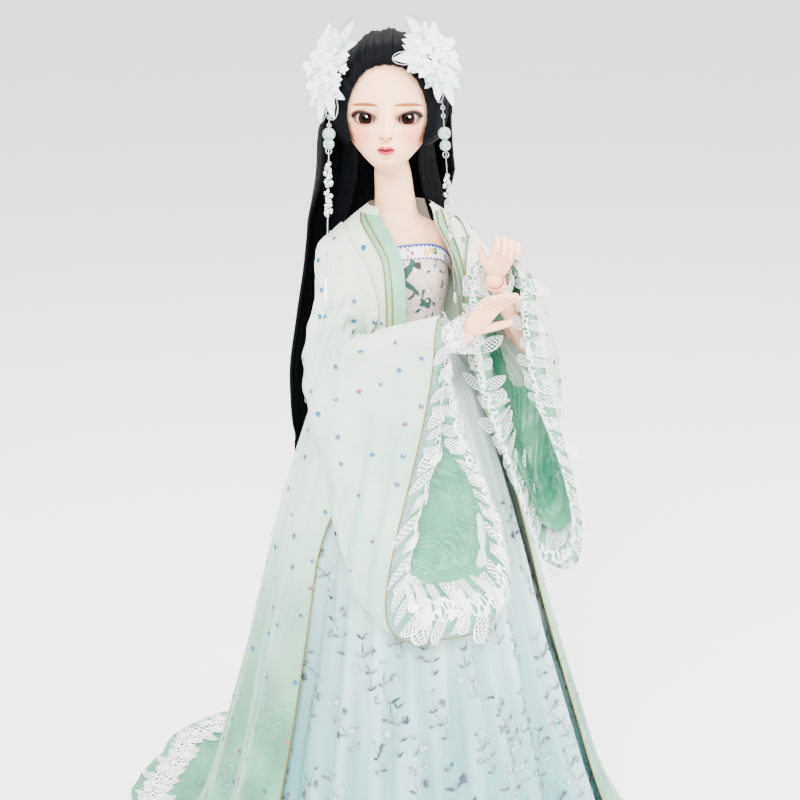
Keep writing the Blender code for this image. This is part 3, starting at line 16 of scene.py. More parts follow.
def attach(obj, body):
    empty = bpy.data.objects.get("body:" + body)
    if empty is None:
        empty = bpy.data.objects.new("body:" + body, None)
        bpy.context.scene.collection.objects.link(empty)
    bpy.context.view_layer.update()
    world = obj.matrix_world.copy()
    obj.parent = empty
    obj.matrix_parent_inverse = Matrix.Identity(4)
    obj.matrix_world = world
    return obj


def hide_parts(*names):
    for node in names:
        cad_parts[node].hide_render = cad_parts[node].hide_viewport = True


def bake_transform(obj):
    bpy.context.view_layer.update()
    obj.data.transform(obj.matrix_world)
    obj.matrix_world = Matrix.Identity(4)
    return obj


bl_info = {
    "name": "Ball jointed doll in a layered gown",
    "version": (1, 0, 0),
    "blender": (4, 5, 0),
    "location": "View3D > Sidebar > Doll",
    "description": "Makes the doll's face, hair, gown and ornaments on the packed frame",
    "category": "Object",
}

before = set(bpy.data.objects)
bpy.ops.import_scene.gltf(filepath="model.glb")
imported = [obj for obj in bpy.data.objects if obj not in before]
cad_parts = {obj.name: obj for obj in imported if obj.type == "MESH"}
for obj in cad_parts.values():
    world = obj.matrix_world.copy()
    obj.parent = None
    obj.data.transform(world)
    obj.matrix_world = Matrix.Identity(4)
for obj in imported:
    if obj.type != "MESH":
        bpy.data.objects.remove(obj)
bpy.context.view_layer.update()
SHIFT = np.array([0.0061, -0.0406, -0.0002])
ARMS = ((-1, "right"), (1, "left"))
MILLIMETRE = 0.001
FULL_TURN = 2 * math.pi
GOLDEN_TURN = 2.39996

SHOULDER = np.array([0.0430, 0.004, 0.4535])
ELBOW_RIGHT = np.array([-0.058, -0.036, 0.389])
WRIST_RIGHT = np.array([0.012, -0.084, 0.414])
ELBOW_LEFT = np.array([0.082, -0.031, 0.390])
WRIST_LEFT = np.array([0.037, -0.075, 0.447])
FINGERTIP_RIGHT = np.array([0.034, -0.110, 0.456])
FINGERTIP_LEFT = np.array([0.044, -0.090, 0.494])
WAIST = np.array([0.0, 0.004, 0.384])
NECK_TOP = np.array([-0.003, 0.008, 0.5215])
CLEARANCE = 0.0003
SHOULDER_BALL = 0.0104
WRIST_BALL = 0.0058
WAIST_BALL = 0.0215
FOREARM_RADIUS = 0.0084
CHEST_HEIGHT = 0.085
CHEST_BOTTOM = 0.390
CHEST_HALF_WIDTH = 0.041
CHEST_HALF_DEPTH = 0.031
BUST_RISE = 0.0065
HEAD_CENTRE = np.array([-0.006, 0.006, 0.5498])
HEAD_YAW = math.radians(-24)
HEAD_PITCH = math.radians(-6)
HEAD_HALF_WIDTH = 0.0318
HEAD_HALF_DEPTH = 0.0365
CROWN_RISE = 0.0420
CHIN_DROP = 0.0400
CHIN_FORWARD = 0.0150
EYE_SPREAD = 0.0140
EYE_LEVEL = -0.0040
EYE_DEPTH = 0.0193
EYE_RADIUS = 0.0076
HAND_LENGTH = 0.052
PALM_HALF_WIDTH = 0.0085
FINGER_RADIUS = 0.0024
GOWN_TOP = 0.487
HEM_SIDE = 0.170
HEM_FRONT = 0.158
HEM_BACK = 0.175
BELL_LEVEL_SHARES = (0.0, 0.082, 0.232, 0.398, 0.513, 0.616, 0.719, 0.801, 0.852, 0.903, 0.949, 0.977, 1.0)
BELL_SIDE_SHARES = (1.0, 0.882, 0.747, 0.618, 0.540, 0.460, 0.365, 0.300, 0.280, 0.285, 0.295, 0.225, 0.130)
BELL_FRONT_SHARES = (1.0, 0.930, 0.785, 0.652, 0.557, 0.462, 0.370, 0.310, 0.300, 0.285, 0.215, 0.150, 0.115)
BELL_BACK_SHARES = (1.0, 0.914, 0.771, 0.629, 0.526, 0.423, 0.320, 0.240, 0.217, 0.217, 0.190, 0.150, 0.115)
FOLD_TOP = 0.400
FOLD_DEPTH = 0.0065
FOLD_COUNTS = (9, 14)
FOLD_TURNS = (0.6, 2.1)
FOLD_SHARES = (0.6, 0.4)
AXIS_SHIFT_X = 0.007
AXIS_SHIFT_Y = -0.004
AXIS_SHIFT_TOP = 0.380
CLOTH = 0.0008
LAYER_GAP = 0.0047
SKIRT_TOP = 0.402
WAIST_HALF_WIDTH = 0.0335
WAIST_HALF_DEPTH = 0.0275
WAIST_START = 0.355
UNDERSKIRT_INSET = 0.0140
BODICE_TOP = 0.4625
BODICE_BOTTOM = 0.4035
BODICE_GAP = 0.0006
TRIM_HEIGHT = 0.0085
BODICE_DIP = 0.0250
TRAIN_REACH = 0.085
TRAIN_TURN = math.radians(-162)
TRAIN_SPREAD = math.radians(62)
HEM_ROLL = 0.008
ROBE_EDGE_LEVEL_SHARES = (0.0, 0.50, 0.58, 0.66, 0.80, 0.85, 0.93, 0.975, 1.0)
ROBE_EDGE_RIGHT_TURN_SHARES = (0.36, 0.355, 0.33, 0.26, 0.11, 0.105, 0.115, 0.22, 0.36)
ROBE_EDGE_LEFT_TURN_SHARES = (0.36, 0.36, 0.36, 0.34, 0.23, 0.21, 0.19, 0.21, 0.30)
LAPEL_WIDTH_RIGHT = 0.011
LAPEL_WIDTH_LEFT = 0.0055
LAPEL_TOP = 0.4835
LAPEL_BOTTOM = 0.392
ARMHOLE_CENTRE = np.array([0.046, -0.0075, 0.4370])
ARMHOLE_TILT = math.radians(25)
ARMHOLE_HALF_HEIGHT = 0.0385
ARMHOLE_HALF_DEPTH = 0.0225
SLEEVE_ROOT_MARGIN = 0.0035
SLEEVE_TOP_RADIUS = 0.0180
SLEEVE_HALF_WIDTH = 0.0400
SLEEVE_DROP = 0.2050
SLEEVE_SWEEP = 0.0600
SLEEVE_CLEAR = 0.0046
SLEEVE_ROOT_CLEAR = 0.0038
SLEEVE_BODY = 0.0150
LINING_GAP = 0.0016
LINING_SHRINK_SHARE = 0.057
LINING_RISE_SHARE = 0.15
CUFF_LENGTH = 0.0170
CUFF_RADIUS = 0.0082
CUFF_FLARE = 0.0135
WIG_GAP = 0.0015
WIG_THICKNESS = 0.0060
HAIR_TOP = 0.5450
HAIR_BOTTOM = 0.2700
HAIR_CLEAR = 0.0045
BEAD_RADIUS = 0.0046

HAIRLINE_RADIUS = 0.00032
HAIRLINE_COUNT = 90
SIDE_LOCK_RADIUS = 0.0013
SIDE_LOCK_COUNT = 26
BACK_LOCK_RADIUS = 0.0015
BACK_LOCK_COUNT = 110
LOOP_WIRE_RADIUS = 0.00032
PENDANT_WIRE_RADIUS = 0.00030
RING_WIRE_RADIUS = 0.00035
SEQUIN_LIFT = 0.0007
SPRIG_LIFT = 0.0020
SPRIG_LEVELS = (0.012, 0.262)


def turns(count):
    """Even angles round a circle, from 0."""
    return np.arange(count) * 2 * math.pi / count


def eased(share):
    """0 to 1 with a level start and end."""
    return share * share * (3 - 2 * share)


def normalised(vectors):
    return vectors / np.maximum(np.linalg.norm(vectors, axis=-1, keepdims=True), 1e-9)


def grid_normals(points, wrap=False):
    """The normal at each point of a grid; wrap says that its last column meets its first."""
    across = np.roll(points, -1, axis=1) - np.roll(points, 1, axis=1) if wrap else np.gradient(points, axis=1)
    return normalised(np.cross(across, np.gradient(points, axis=0)))


def unit(vector):
    vector = np.asarray(vector, float)
    return vector / np.linalg.norm(vector)


def smooth_table(x, keys, values):
    """A smooth curve through values at keys, with no overshoot at a level stretch. values may hold rows."""
    keys = np.asarray(keys, float)
    values = np.asarray(values, float)
    x = np.clip(np.asarray(x, float), keys[0], keys[-1])
    index = np.clip(np.searchsorted(keys, x, side="right") - 1, 0, len(keys) - 2)
    steps = np.diff(keys)
    shape = (-1,) + (1,) * (values.ndim - 1)
    slopes = np.diff(values, axis=0) / steps.reshape(shape)
    ends = np.concatenate([slopes[:1], slopes, slopes[-1:]])
    before, after = ends[:-1], ends[1:]
    tangents = np.where(before * after > 0, 0.5 * (before + after), 0.0)
    limit = 3 * np.minimum(np.abs(before), np.abs(after))
    tangents = np.clip(tangents, -limit, limit)
    width = steps[index]
    t = (x - keys[index]) / width
    if values.ndim > 1:
        extra = (1,) * (values.ndim - 1)
        t = t.reshape(t.shape + extra)
        width = width.reshape(width.shape + extra)
    low, high = values[index], values[index + 1]
    return (
        low * (2 * t**3 - 3 * t**2 + 1)
        + high * (3 * t**2 - 2 * t**3)
        + tangents[index] * width * (t**3 - 2 * t**2 + t)
        + tangents[index + 1] * width * (t**3 - t**2)
    )


def mirrored(point, side):
    return np.array([side * point[0], point[1], point[2]])


def arm_points(side):
    if side < 0:
        return mirrored(SHOULDER, side), ELBOW_RIGHT, WRIST_RIGHT, FINGERTIP_RIGHT
    return mirrored(SHOULDER, side), ELBOW_LEFT, WRIST_LEFT, FINGERTIP_LEFT


CHEST_LEVEL_SHARES = (0.0, 0.10, 0.28, 0.48, 0.68, 0.84, 0.93, 0.985, 1.04, 1.18, 1.40, 1.52)
CHEST_SIDE_SHARES = (0.64, 0.69, 0.76, 0.83, 0.865, 0.905, 0.80, 0.58, 0.40, 0.335, 0.300, 0.255)
CHEST_DEPTH_SHARES = (0.66, 0.74, 0.80, 0.86, 0.86, 0.76, 0.66, 0.55, 0.47, 0.43, 0.395, 0.340)


def bump(x, z, centre_x, centre_z, width, height):
    return np.exp(-(((x - centre_x) / width) ** 2) - ((z - centre_z) / height) ** 2)


def head_surface(azimuth, elevation):
    """The head's outer skin in its own frame: azimuth 0 is the face, elevation runs from chin to crown."""
    x = np.cos(elevation) * np.sin(azimuth)
    y = -np.cos(elevation) * np.cos(azimuth)
    z = np.sin(elevation)
    low = np.clip(-z, 0, 1)
    ease = eased(low)
    front = np.clip(-y, 0, 1)
    wide = HEAD_HALF_WIDTH * (1 - 0.30 * ease * (0.4 + 0.6 * front))
    px = x * wide * (1 + 0.03 * front)
    deep = np.where(y < 0, HEAD_HALF_DEPTH * 0.93, HEAD_HALF_DEPTH * (1.08 - 0.30 * ease))
    py = y * deep - CHIN_FORWARD * ease
    pz = np.where(z > 0, z * CROWN_RISE, z * CHIN_DROP)
    face = np.clip(-y * 1.6 - 0.2, 0, 1)
    size = HEAD_HALF_WIDTH
    nose = 0.20 * bump(px, pz, 0, -0.0150, 0.0040, 0.0042) + 0.085 * bump(px, pz, 0, -0.0060, 0.0030, 0.0075)
    socket = -0.05 * sum(bump(px, pz, side * EYE_SPREAD, 0.001, 0.0085, 0.0050) for side in (1, -1))
    lips = 0.085 * bump(px, pz, 0, -0.0250, 0.0062, 0.0034)
    groove = -0.045 * bump(px, pz, 0, -0.0308, 0.0070, 0.0022)
    chin = 0.07 * bump(px, pz, 0, -0.0370, 0.0070, 0.0050)
    py = py - face * size * (nose + socket + lips + groove + chin)
    return np.stack([px, py, pz], axis=-1)


FINGER_REACH_SHARES = (0.93, 1.0, 0.95, 0.82)
PALM_LEVEL_SHARES = (0.05, 0.28, 0.50)
PALM_WIDTH_SHARES = (0.62, 0.98, 1.08)
PALM_THICK_SHARES = (0.62, 0.60, 0.46)
THUMB_REACH_SHARES = (0.12, 0.25, 0.37)
FINGER_JOINTS = 3


def bell(theta, z):
    """Distance of the gown's smooth bell from the doll's axis. theta 0 is the front, her left is positive."""
    level = np.clip(np.asarray(z, float) / GOWN_TOP, 0, 1)
    side = HEM_SIDE * smooth_table(level, BELL_LEVEL_SHARES, BELL_SIDE_SHARES)
    front = HEM_FRONT * smooth_table(level, BELL_LEVEL_SHARES, BELL_FRONT_SHARES)
    back = HEM_BACK * smooth_table(level, BELL_LEVEL_SHARES, BELL_BACK_SHARES)
    cosine = np.cos(theta)
    depth = np.where(cosine > 0, front, back)
    return 1 / np.sqrt((np.sin(theta) / side) ** 2 + (cosine / depth) ** 2)


def folds(theta, z):
    depth = FOLD_DEPTH * np.clip((FOLD_TOP - np.asarray(z, float)) / FOLD_TOP, 0, 1)
    waves = sum(
        share * np.sin(count * theta + turn)
        for share, count, turn in zip(FOLD_SHARES, FOLD_COUNTS, FOLD_TURNS)
    )
    return depth * waves


def axis_shift(z):
    """How far the bell's axis stands off the doll's, which grows towards the hem."""
    share = np.clip(1 - np.asarray(z, float) / AXIS_SHIFT_TOP, 0, 1)
    return AXIS_SHIFT_X * share, AXIS_SHIFT_Y * share


def around(theta, radius, z):
    theta, radius, z = np.broadcast_arrays(theta, radius, z)
    shift_x, shift_y = axis_shift(z)
    return np.stack([shift_x + radius * np.sin(theta), shift_y - radius * np.cos(theta), z], axis=-1)


def gown_radius(theta, z):
    return bell(theta, z) + folds(theta, z)


def about_axis(points, radius_of):
    """Moves points level, to the distance from the bell's axis that radius_of gives."""
    z = points[..., 2]
    shift_x, shift_y = axis_shift(z)
    x = points[..., 0] - shift_x
    y = points[..., 1] - shift_y
    radius = np.hypot(x, y)
    scale = radius_of(np.arctan2(x, -y), radius, z) / np.maximum(radius, 1e-6)
    return np.stack([shift_x + x * scale, shift_y + y * scale, z], axis=-1)


def push_out(points, gap):
    """Moves points that lie inside the robe's bell to gap outside it, as cloth resting on it would lie."""
    def radius_of(theta, radius, z):
        crest = FOLD_DEPTH * np.clip((FOLD_TOP - z) / FOLD_TOP, 0, 1)
        return np.maximum(radius, bell(theta, z) + crest + gap)

    return about_axis(points, radius_of)


def robe_edges(z):
    level = np.clip(np.asarray(z, float) / GOWN_TOP, 0, 1)
    right = math.pi * smooth_table(level, ROBE_EDGE_LEVEL_SHARES, ROBE_EDGE_RIGHT_TURN_SHARES)
    left = math.pi * smooth_table(level, ROBE_EDGE_LEVEL_SHARES, ROBE_EDGE_LEFT_TURN_SHARES)
    return right, left


def train_reach(theta):
    """How far the robe runs out over the floor in this direction."""
    away = np.abs((theta - TRAIN_TURN + math.pi) % (2 * math.pi) - math.pi)
    return TRAIN_REACH * np.exp(-((away / TRAIN_SPREAD) ** 2))


def robe_point(across, drop):
    """A point of the robe: across runs from her right front edge round the back, drop from neck to hem."""
    across, drop = np.broadcast_arrays(across, drop)
    theta = -math.pi * 2 * across
    reach = np.zeros_like(theta)
    for _ in range(3):
        reach = train_reach(theta)
        length = GOWN_TOP + reach
        fallen = GOWN_TOP - drop * length
        height = np.maximum(fallen, 0) + HEM_ROLL * np.log1p(np.exp(-np.abs(fallen) / HEM_ROLL))
        right, left = robe_edges(height)
        theta = -right - across * (2 * math.pi - right - left)
    run = height - fallen
    radius = gown_radius(theta, height) + np.clip(run - HEM_ROLL * 0.7, 0, None)
    rise = CLOTH * 0.75 + 0.35 * HEM_ROLL * np.clip(run / TRAIN_REACH * 3, 0, 1) * (
        0.5 + 0.5 * np.sin(theta * FOLD_COUNTS[1] + run / HEM_ROLL)
    )
    return around(theta, radius, np.minimum(height, GOWN_TOP) + rise)


SLEEVE_ALONG = {"right": (1.0, 1.28, 1.56, 1.80), "left": (1.0, 1.28, 1.58, 1.82)}
SLEEVE_SECTION_SHARES = {
    "right": {
        "top": (1.05, 1.00, 0.98, 0.98),
        "drop": (0.19, 0.64, 0.86, 0.97),
        "width": (0.70, 0.64, 0.80, 0.96),
        "outer": (1.35, 1.20, 1.05, 1.00),
        "near": (0.0, -0.25, -0.50, -0.68),
        "far": (0.0, 0.05, 0.30, 0.85),
        "out": (0.0, 0.04, 0.10, 0.15),
    },
    "left": {
        "top": (1.15, 1.30, 1.38, 1.38),
        "drop": (0.18, 0.62, 0.84, 1.0),
        "width": (0.66, 0.66, 0.80, 0.92),
        "outer": (1.05, 1.00, 1.00, 1.00),
        "near": (0.0, 0.0, 0.05, 0.10),
        "far": (0.0, 0.0, 0.05, 0.10),
        "out": (0.0, 0.22, 0.55, 0.90),
    },
}
SHOULDER_LIFT = 0.0060


def sleeve_ring(side, phi):
    """The sleeve's seam round the armhole, lying on the robe."""
    half_height = ARMHOLE_HALF_HEIGHT + SLEEVE_ROOT_MARGIN
    half_depth = ARMHOLE_HALF_DEPTH + SLEEVE_ROOT_MARGIN
    along, across = half_height * np.sin(phi), half_depth * np.cos(phi)
    y = ARMHOLE_CENTRE[1] + along * math.sin(ARMHOLE_TILT) - across * math.cos(ARMHOLE_TILT)
    z = ARMHOLE_CENTRE[2] + along * math.cos(ARMHOLE_TILT) + across * math.sin(ARMHOLE_TILT)
    z = np.minimum(z, GOWN_TOP * 0.988)
    level = z / GOWN_TOP
    wide = HEM_SIDE * smooth_table(level, BELL_LEVEL_SHARES, BELL_SIDE_SHARES)
    front = HEM_FRONT * smooth_table(level, BELL_LEVEL_SHARES, BELL_FRONT_SHARES)
    back = HEM_BACK * smooth_table(level, BELL_LEVEL_SHARES, BELL_BACK_SHARES)
    depth = np.where(y < 0, front, back)
    x = wide * np.sqrt(np.clip(1 - (y / depth) ** 2, 0.04, 1))
    return np.stack([side * x, y, z], axis=-1)


def sleeve_section(side, label, station, phi):
    shoulder, elbow, wrist, _ = arm_points(side)
    along = SLEEVE_ALONG[label][station]
    upper, fore = unit(elbow - shoulder), unit(wrist - elbow)
    level_fore = unit([fore[0], fore[1], 0.0])
    centre = elbow + (wrist - elbow) * (along - 1)
    if station == 0:
        tangent = unit(upper + fore)
        top = unit(fore - upper)
    else:
        tangent = level_fore
        top = np.array([0.0, 0.0, 1.0])
    outer = side * np.cross(top, tangent)
    table = SLEEVE_SECTION_SHARES[label]
    top_radius = SLEEVE_TOP_RADIUS * table["top"][station]
    drop = SLEEVE_DROP * table["drop"][station]
    width = SLEEVE_HALF_WIDTH * table["width"][station]
    cosine, sine = np.cos(phi), np.sin(phi)
    hang = np.clip(-cosine, 0, 1)
    swell = eased(hang)
    half = np.where(cosine >= 0, top_radius, top_radius + (width - top_radius) * swell)
    closing = np.where(cosine >= 0, np.abs(sine), np.sqrt(np.clip(1 - hang**4, 0, 1)))
    lateral = half * closing * np.sign(sine) * np.where(sine > 0, table["outer"][station], 1.0)
    vertical = np.where(cosine >= 0, top_radius * cosine, -drop * hang)
    points = centre + vertical[..., None] * top + lateral[..., None] * outer
    lean = hang**1.5
    near, far = table["near"][station], table["far"][station]
    middle = 0.5 * (near + far)
    sweep = middle + (np.where(sine > 0, near, far) - middle) * np.abs(sine) ** 0.5
    points = points + (lean * sweep * SLEEVE_SWEEP)[..., None] * level_fore
    return points + (lean * table["out"][station] * SLEEVE_SWEEP)[..., None] * np.array([side * 1.0, 0, 0])


def sleeve_point(side, label, phi, along):
    """A point of the sleeve: phi runs round it from the forearm's top over its outer side, along 0 to 1."""
    phi, along = np.broadcast_arrays(phi, along)
    count = len(SLEEVE_ALONG[label])
    root = sleeve_ring(side, phi)
    sections = [sleeve_section(side, label, k, phi) for k in range(count)]
    lift = (SHOULDER_LIFT * np.clip(np.sin(phi) + 0.35, 0, 1))[..., None] * np.array([side * 1.0, 0.0, 0.25])
    middle = 0.5 * (root + sections[0]) + lift
    loops = np.stack([root, middle] + sections)
    last = len(loops) - 1
    place = np.clip(along, 0, 1) * last
    index = np.clip(place.astype(int), 0, last - 1)
    t = (place - index)[..., None]
    rows = np.arange(phi.shape[0])[:, None]
    columns = np.arange(phi.shape[1])[None, :]

    # A cubic B-spline through loops carried on past both ends, so that it starts and stops on the end loops
    loops = np.concatenate([2 * loops[:1] - loops[1:2], loops, 2 * loops[-1:] - loops[-2:-1]])
    weights = ((1 - t) ** 3, 3 * t**3 - 6 * t**2 + 4, -3 * t**3 + 3 * t**2 + 3 * t + 1, t**3)
    points = sum(weight * loops[index + offset, rows, columns] for offset, weight in enumerate(weights)) / 6
    shoulder, elbow, wrist, _ = arm_points(side)
    points = off_arm(points, shoulder, elbow, SHOULDER_BALL + SLEEVE_CLEAR * 1.4)
    points = off_arm(points, elbow, wrist, FOREARM_RADIUS + SLEEVE_CLEAR)
    root_share = np.clip(place, 0, 1)
    near_share = np.clip(np.sin(phi), 0, 1) ** 0.5 * np.clip(place - 1.5, 0, 1)
    gap = SLEEVE_ROOT_CLEAR + (SLEEVE_CLEAR - SLEEVE_ROOT_CLEAR) * root_share + SLEEVE_BODY * near_share
    return push_out(points, gap)


def off_arm(points, start, end, least):
    """Moves points that lie too near an arm's axis out to that distance from it."""
    axis = end - start
    share = np.clip(((points - start) @ axis) / axis.dot(axis), 0, 1)
    away = points - (start + share[..., None] * axis)
    distance = np.linalg.norm(away, axis=-1, keepdims=True)
    return points + away * np.maximum(0.0, least / np.maximum(distance, 1e-6) - 1)


def inward_grid(points, distance, side):
    """A closed tube's grid moved along its normals to its inside, then each row drawn to its middle."""
    moved = points + grid_normals(points, wrap=True) * side * distance
    middle = points.mean(axis=1, keepdims=True)
    low = np.clip(-np.cos(turns(points.shape[1])), 0, 1)[None, :, None]
    return middle + (moved - middle) * (1 - LINING_SHRINK_SHARE - LINING_RISE_SHARE * low**3)


HAIR_LEVEL_SHARES = (0.0, 0.11, 0.29, 0.47, 0.62, 0.73, 0.80, 0.91, 1.0)
HAIR_HALF_WIDTH_SHARES = (0.62, 0.86, 0.88, 0.80, 0.70, 0.64, 0.60, 0.55, 0.54)
HAIR_DEPTH_SHARES = (0.62, 0.66, 0.62, 0.56, 0.54, 0.54, 0.55, 0.595, 0.625)
HAIR_HALF_WIDTH = 0.0840


def hair_point(across, level):
    """The long back hair: across -1 (her right) to 1, level 0 at its tips to 1 under the wig cap."""
    across, level = np.broadcast_arrays(across, level)
    tip = 0.10 * across**2 * (1 - level) ** 3
    z = HAIR_BOTTOM + (HAIR_TOP - HAIR_BOTTOM) * (level + tip)
    wide = HAIR_HALF_WIDTH * smooth_table(level, HAIR_LEVEL_SHARES, HAIR_HALF_WIDTH_SHARES)
    deep = HAIR_HALF_WIDTH * smooth_table(level, HAIR_LEVEL_SHARES, HAIR_DEPTH_SHARES)
    at_head = smooth_table(level, (0.70, 0.86), (0.0, 1.0))
    angle = across * (math.radians(60) + math.radians(28) * at_head)
    lean = HEAD_CENTRE[0] * level
    flat = np.cos(angle) ** (0.5 + 0.5 * at_head)
    points = np.stack([lean + wide * np.sin(angle), HEAD_CENTRE[1] + deep * flat, z], axis=-1)
    return push_out(points, HAIR_CLEAR)


ORNAMENT_PLACE = {"right": np.array([-0.0385, -0.0174, 0.0282]), "left": np.array([0.0363, -0.0181, 0.0327])}
PENDANT_TOP = {"right": np.array([-0.0522, -0.0052, 0.5530]), "left": np.array([0.0176, -0.0307, 0.5592])}
PENDANT_END = {"right": np.array([-0.0700, -0.0440, 0.4300]), "left": np.array([0.0195, -0.0510, 0.4270])}


def placed(points):
    return np.asarray(points, float) + SHIFT


def head_matrix():
    turn = Matrix.Rotation(HEAD_YAW, 4, "Z") @ Matrix.Rotation(HEAD_PITCH, 4, "X")
    turn.translation = Vector(HEAD_CENTRE + SHIFT)
    return turn


class Signal:
    """One socket's value, so that a pattern is written as a Python expression."""

    def __init__(self, graph, socket):
        self.graph = graph
        self.socket = socket

    def maths(self, operation, *others, swap=False):
        values = (*others, self) if swap else (self, *others)
        return self.graph.node("ShaderNodeMath", {"operation": operation}, dict(enumerate(values)))

    def __add__(self, other):
        return self.maths("ADD", other)

    __radd__ = __add__

    def __sub__(self, other):
        return self.maths("SUBTRACT", other)

    def __rsub__(self, other):
        return self.maths("SUBTRACT", other, swap=True)

    def __mul__(self, other):
        return self.maths("MULTIPLY", other)

    __rmul__ = __mul__

    def __truediv__(self, other):
        return self.maths("DIVIDE", other)

    def __rtruediv__(self, other):
        return self.maths("DIVIDE", other, swap=True)

    def __pow__(self, other):
        return self.maths("POWER", other)

    def __abs__(self):
        return self.maths("ABSOLUTE")

    def __gt__(self, other):
        return self.maths("GREATER_THAN", other)

    def __lt__(self, other):
        return self.maths("LESS_THAN", other)

    def sine(self):
        return self.maths("SINE")

    def part(self):
        return self.maths("FRACT")

    def least(self, other):
        return self.maths("MINIMUM", other)

    def most(self, other):
        return self.maths("MAXIMUM", other)

    def ramp(self, low, high):
        """0 below low, 1 above high, smooth between."""
        return self.graph.node(
            "ShaderNodeMapRange",
            {"interpolation_type": "SMOOTHSTEP"},
            {"Value": self, "From Min": low, "From Max": high},
        )


class Graph:
    """A node tree with one method that adds any node."""

    def __init__(self, tree):
        self.tree = tree

    def node(self, kind, settings=None, inputs=None, output=0):
        """Adds a node of this type: its settings first, then its sockets' values or links."""
        made = self.tree.nodes.new(kind)
        for key, value in (settings or {}).items():
            if key == "stops":
                ramp = made.color_ramp.elements
                while len(ramp) < len(value):
                    ramp.new(1.0)
                for stop, (position, colour) in zip(ramp, value):
                    stop.position = position
                    stop.color = (*colour, 1.0)
            else:
                setattr(made, key, value)
        for key, value in (inputs or {}).items():
            socket = made.inputs[key]
            if isinstance(value, Signal):
                self.tree.links.new(value.socket, socket)
            elif isinstance(value, tuple) and len(value) == 3 and socket.type == "RGBA":
                socket.default_value = (*value, 1.0)
            else:
                socket.default_value = value
        return Signal(self, made.outputs[output]) if len(made.outputs) else None

    def outputs(self, signal):
        """Every output of the node that this signal leaves."""
        return [Signal(self, socket) for socket in signal.socket.node.outputs]

    def where(self):
        return self.node("ShaderNodeTexCoord", output="Object")

    def cloth_map(self):
        return self.node("ShaderNodeUVMap", {"uv_map": "cloth"})

    def fold(self):
        """How deep in its fold a point lies: 0 on a crest, 1 in a valley. The cloth materials paint shade by
        it.
        """
        return self.xyz(self.node("ShaderNodeUVMap", {"uv_map": "fold"}))[0]

    def xyz(self, vector):
        return self.outputs(self.node("ShaderNodeSeparateXYZ", {}, {0: vector}))

    def scaled(self, vector, scale, move=(0.0, 0.0, 0.0)):
        return self.node("ShaderNodeMapping", {}, {"Vector": vector, "Scale": scale, "Location": move})

    def noise(self, vector, scale, detail=2.0, roughness=0.5, warp=0.0):
        values = {
            "Vector": vector,
            "Scale": scale,
            "Detail": detail,
            "Roughness": roughness,
            "Distortion": warp,
        }
        return self.node("ShaderNodeTexNoise", {}, values)

    def grain(self, vector, scale, *shape):
        """Noise stretched by its own scale along each axis."""
        return self.noise(self.scaled(vector, scale), 1.0, *shape)

    def in_head(self):
        """The point in the head's own frame."""
        matrix = head_matrix()
        frame = {"Location": tuple(matrix.translation), "Rotation": tuple(matrix.to_euler())}
        return self.node("ShaderNodeMapping", {"vector_type": "TEXTURE"}, {"Vector": self.where(), **frame})

    def banded(self, stops, signal):
        """Colours by the signal, each from its own place on."""
        return self.node("ShaderNodeValToRGB", {"stops": stops}, {0: signal})

    def cells(self, vector, scale, feature="DISTANCE_TO_EDGE", output=0):
        return self.node(
            "ShaderNodeTexVoronoi", {"feature": feature}, {"Vector": vector, "Scale": scale}, output
        )

    def mix(self, factor, low, high):
        return self.node("ShaderNodeMix", {"data_type": "RGBA"}, {0: factor, 6: low, 7: high}, 2)

    def paint(self, factor, base, colour):
        """A thin layer of paint: it covers faster than it is mixed, so half a layer looks half as strong."""
        return self.mix(1 - (1 - factor).most(0.0) ** 2.4, base, colour)

    def bump(self, height, strength, distance):
        return self.node(
            "ShaderNodeBump", {}, {"Height": height, "Strength": strength, "Distance": distance}
        )

    def surface(self, **finish):
        """The Principled shader with these sockets, joined to the material's output."""
        sockets = {name.replace("_", " "): value for name, value in finish.items()}
        shader = self.node("ShaderNodeBsdfPrincipled", {}, sockets)
        self.node("ShaderNodeOutputMaterial", {}, {"Surface": shader})


def new_material(name):
    """An empty material and its graph."""
    material = bpy.data.materials.new(name)
    material.use_nodes = True
    material.node_tree.nodes.clear()
    return material, Graph(material.node_tree)


MATERIALS = {}


def finish_of(name):
    """The material of this name, made by its graph in FINISHES at its first use."""
    if name not in MATERIALS:
        material, graph = new_material(name)
        FINISHES[name](graph)
        MATERIALS[name] = material
    return MATERIALS[name]


def colour_of(group, name):
    return tuple(getattr(getattr(bpy.context.scene, group), name))


def size_of(group, name):
    return getattr(getattr(bpy.context.scene, group), name)


RESIN_GLOW = {"Subsurface_Radius": (1.0, 0.45, 0.30)}
CHIFFON_FINISH = {
    "Sheen_Weight": 0.28,
    "Sheen_Roughness": 0.35,
    "Sheen_Tint": (0.95, 1.0, 0.98, 1.0),
    "Subsurface_Weight": 0.25,
    "Subsurface_Scale": 0.003,
    "Subsurface_Radius": (0.8, 1.0, 0.95),
}


def resin_graph(graph):
    """Sanded matt resin: faint mottling, a fine sanded grain and warm blush in broad patches."""
    where = graph.where()
    blush = graph.noise(where, 26.0, 3.0).ramp(0.45, 0.75)
    tone = graph.mix(blush * 0.35, colour_of("doll_body", "skin"), colour_of("doll_body", "blush"))
    graph.surface(
        Base_Color=tone,
        Roughness=0.40 + 0.10 * graph.noise(where, 180.0, 3.0),
        Specular_IOR_Level=0.3,
        Subsurface_Weight=0.12,
        Subsurface_Scale=0.004,
        **RESIN_GLOW,
        Normal=graph.bump(graph.noise(where, 1500.0, 2.0), 0.10, 0.00008),
    )


def elastic_graph(graph):
    where = graph.where()
    ribs = graph.cells(where, 1400.0)
    graph.surface(
        Base_Color=graph.mix(ribs.ramp(0.0, 0.4), (0.62, 0.62, 0.58), (0.86, 0.85, 0.80)),
        Roughness=0.75 + 0.15 * ribs,
        Normal=graph.bump(ribs, 0.4, 0.0002),
    )


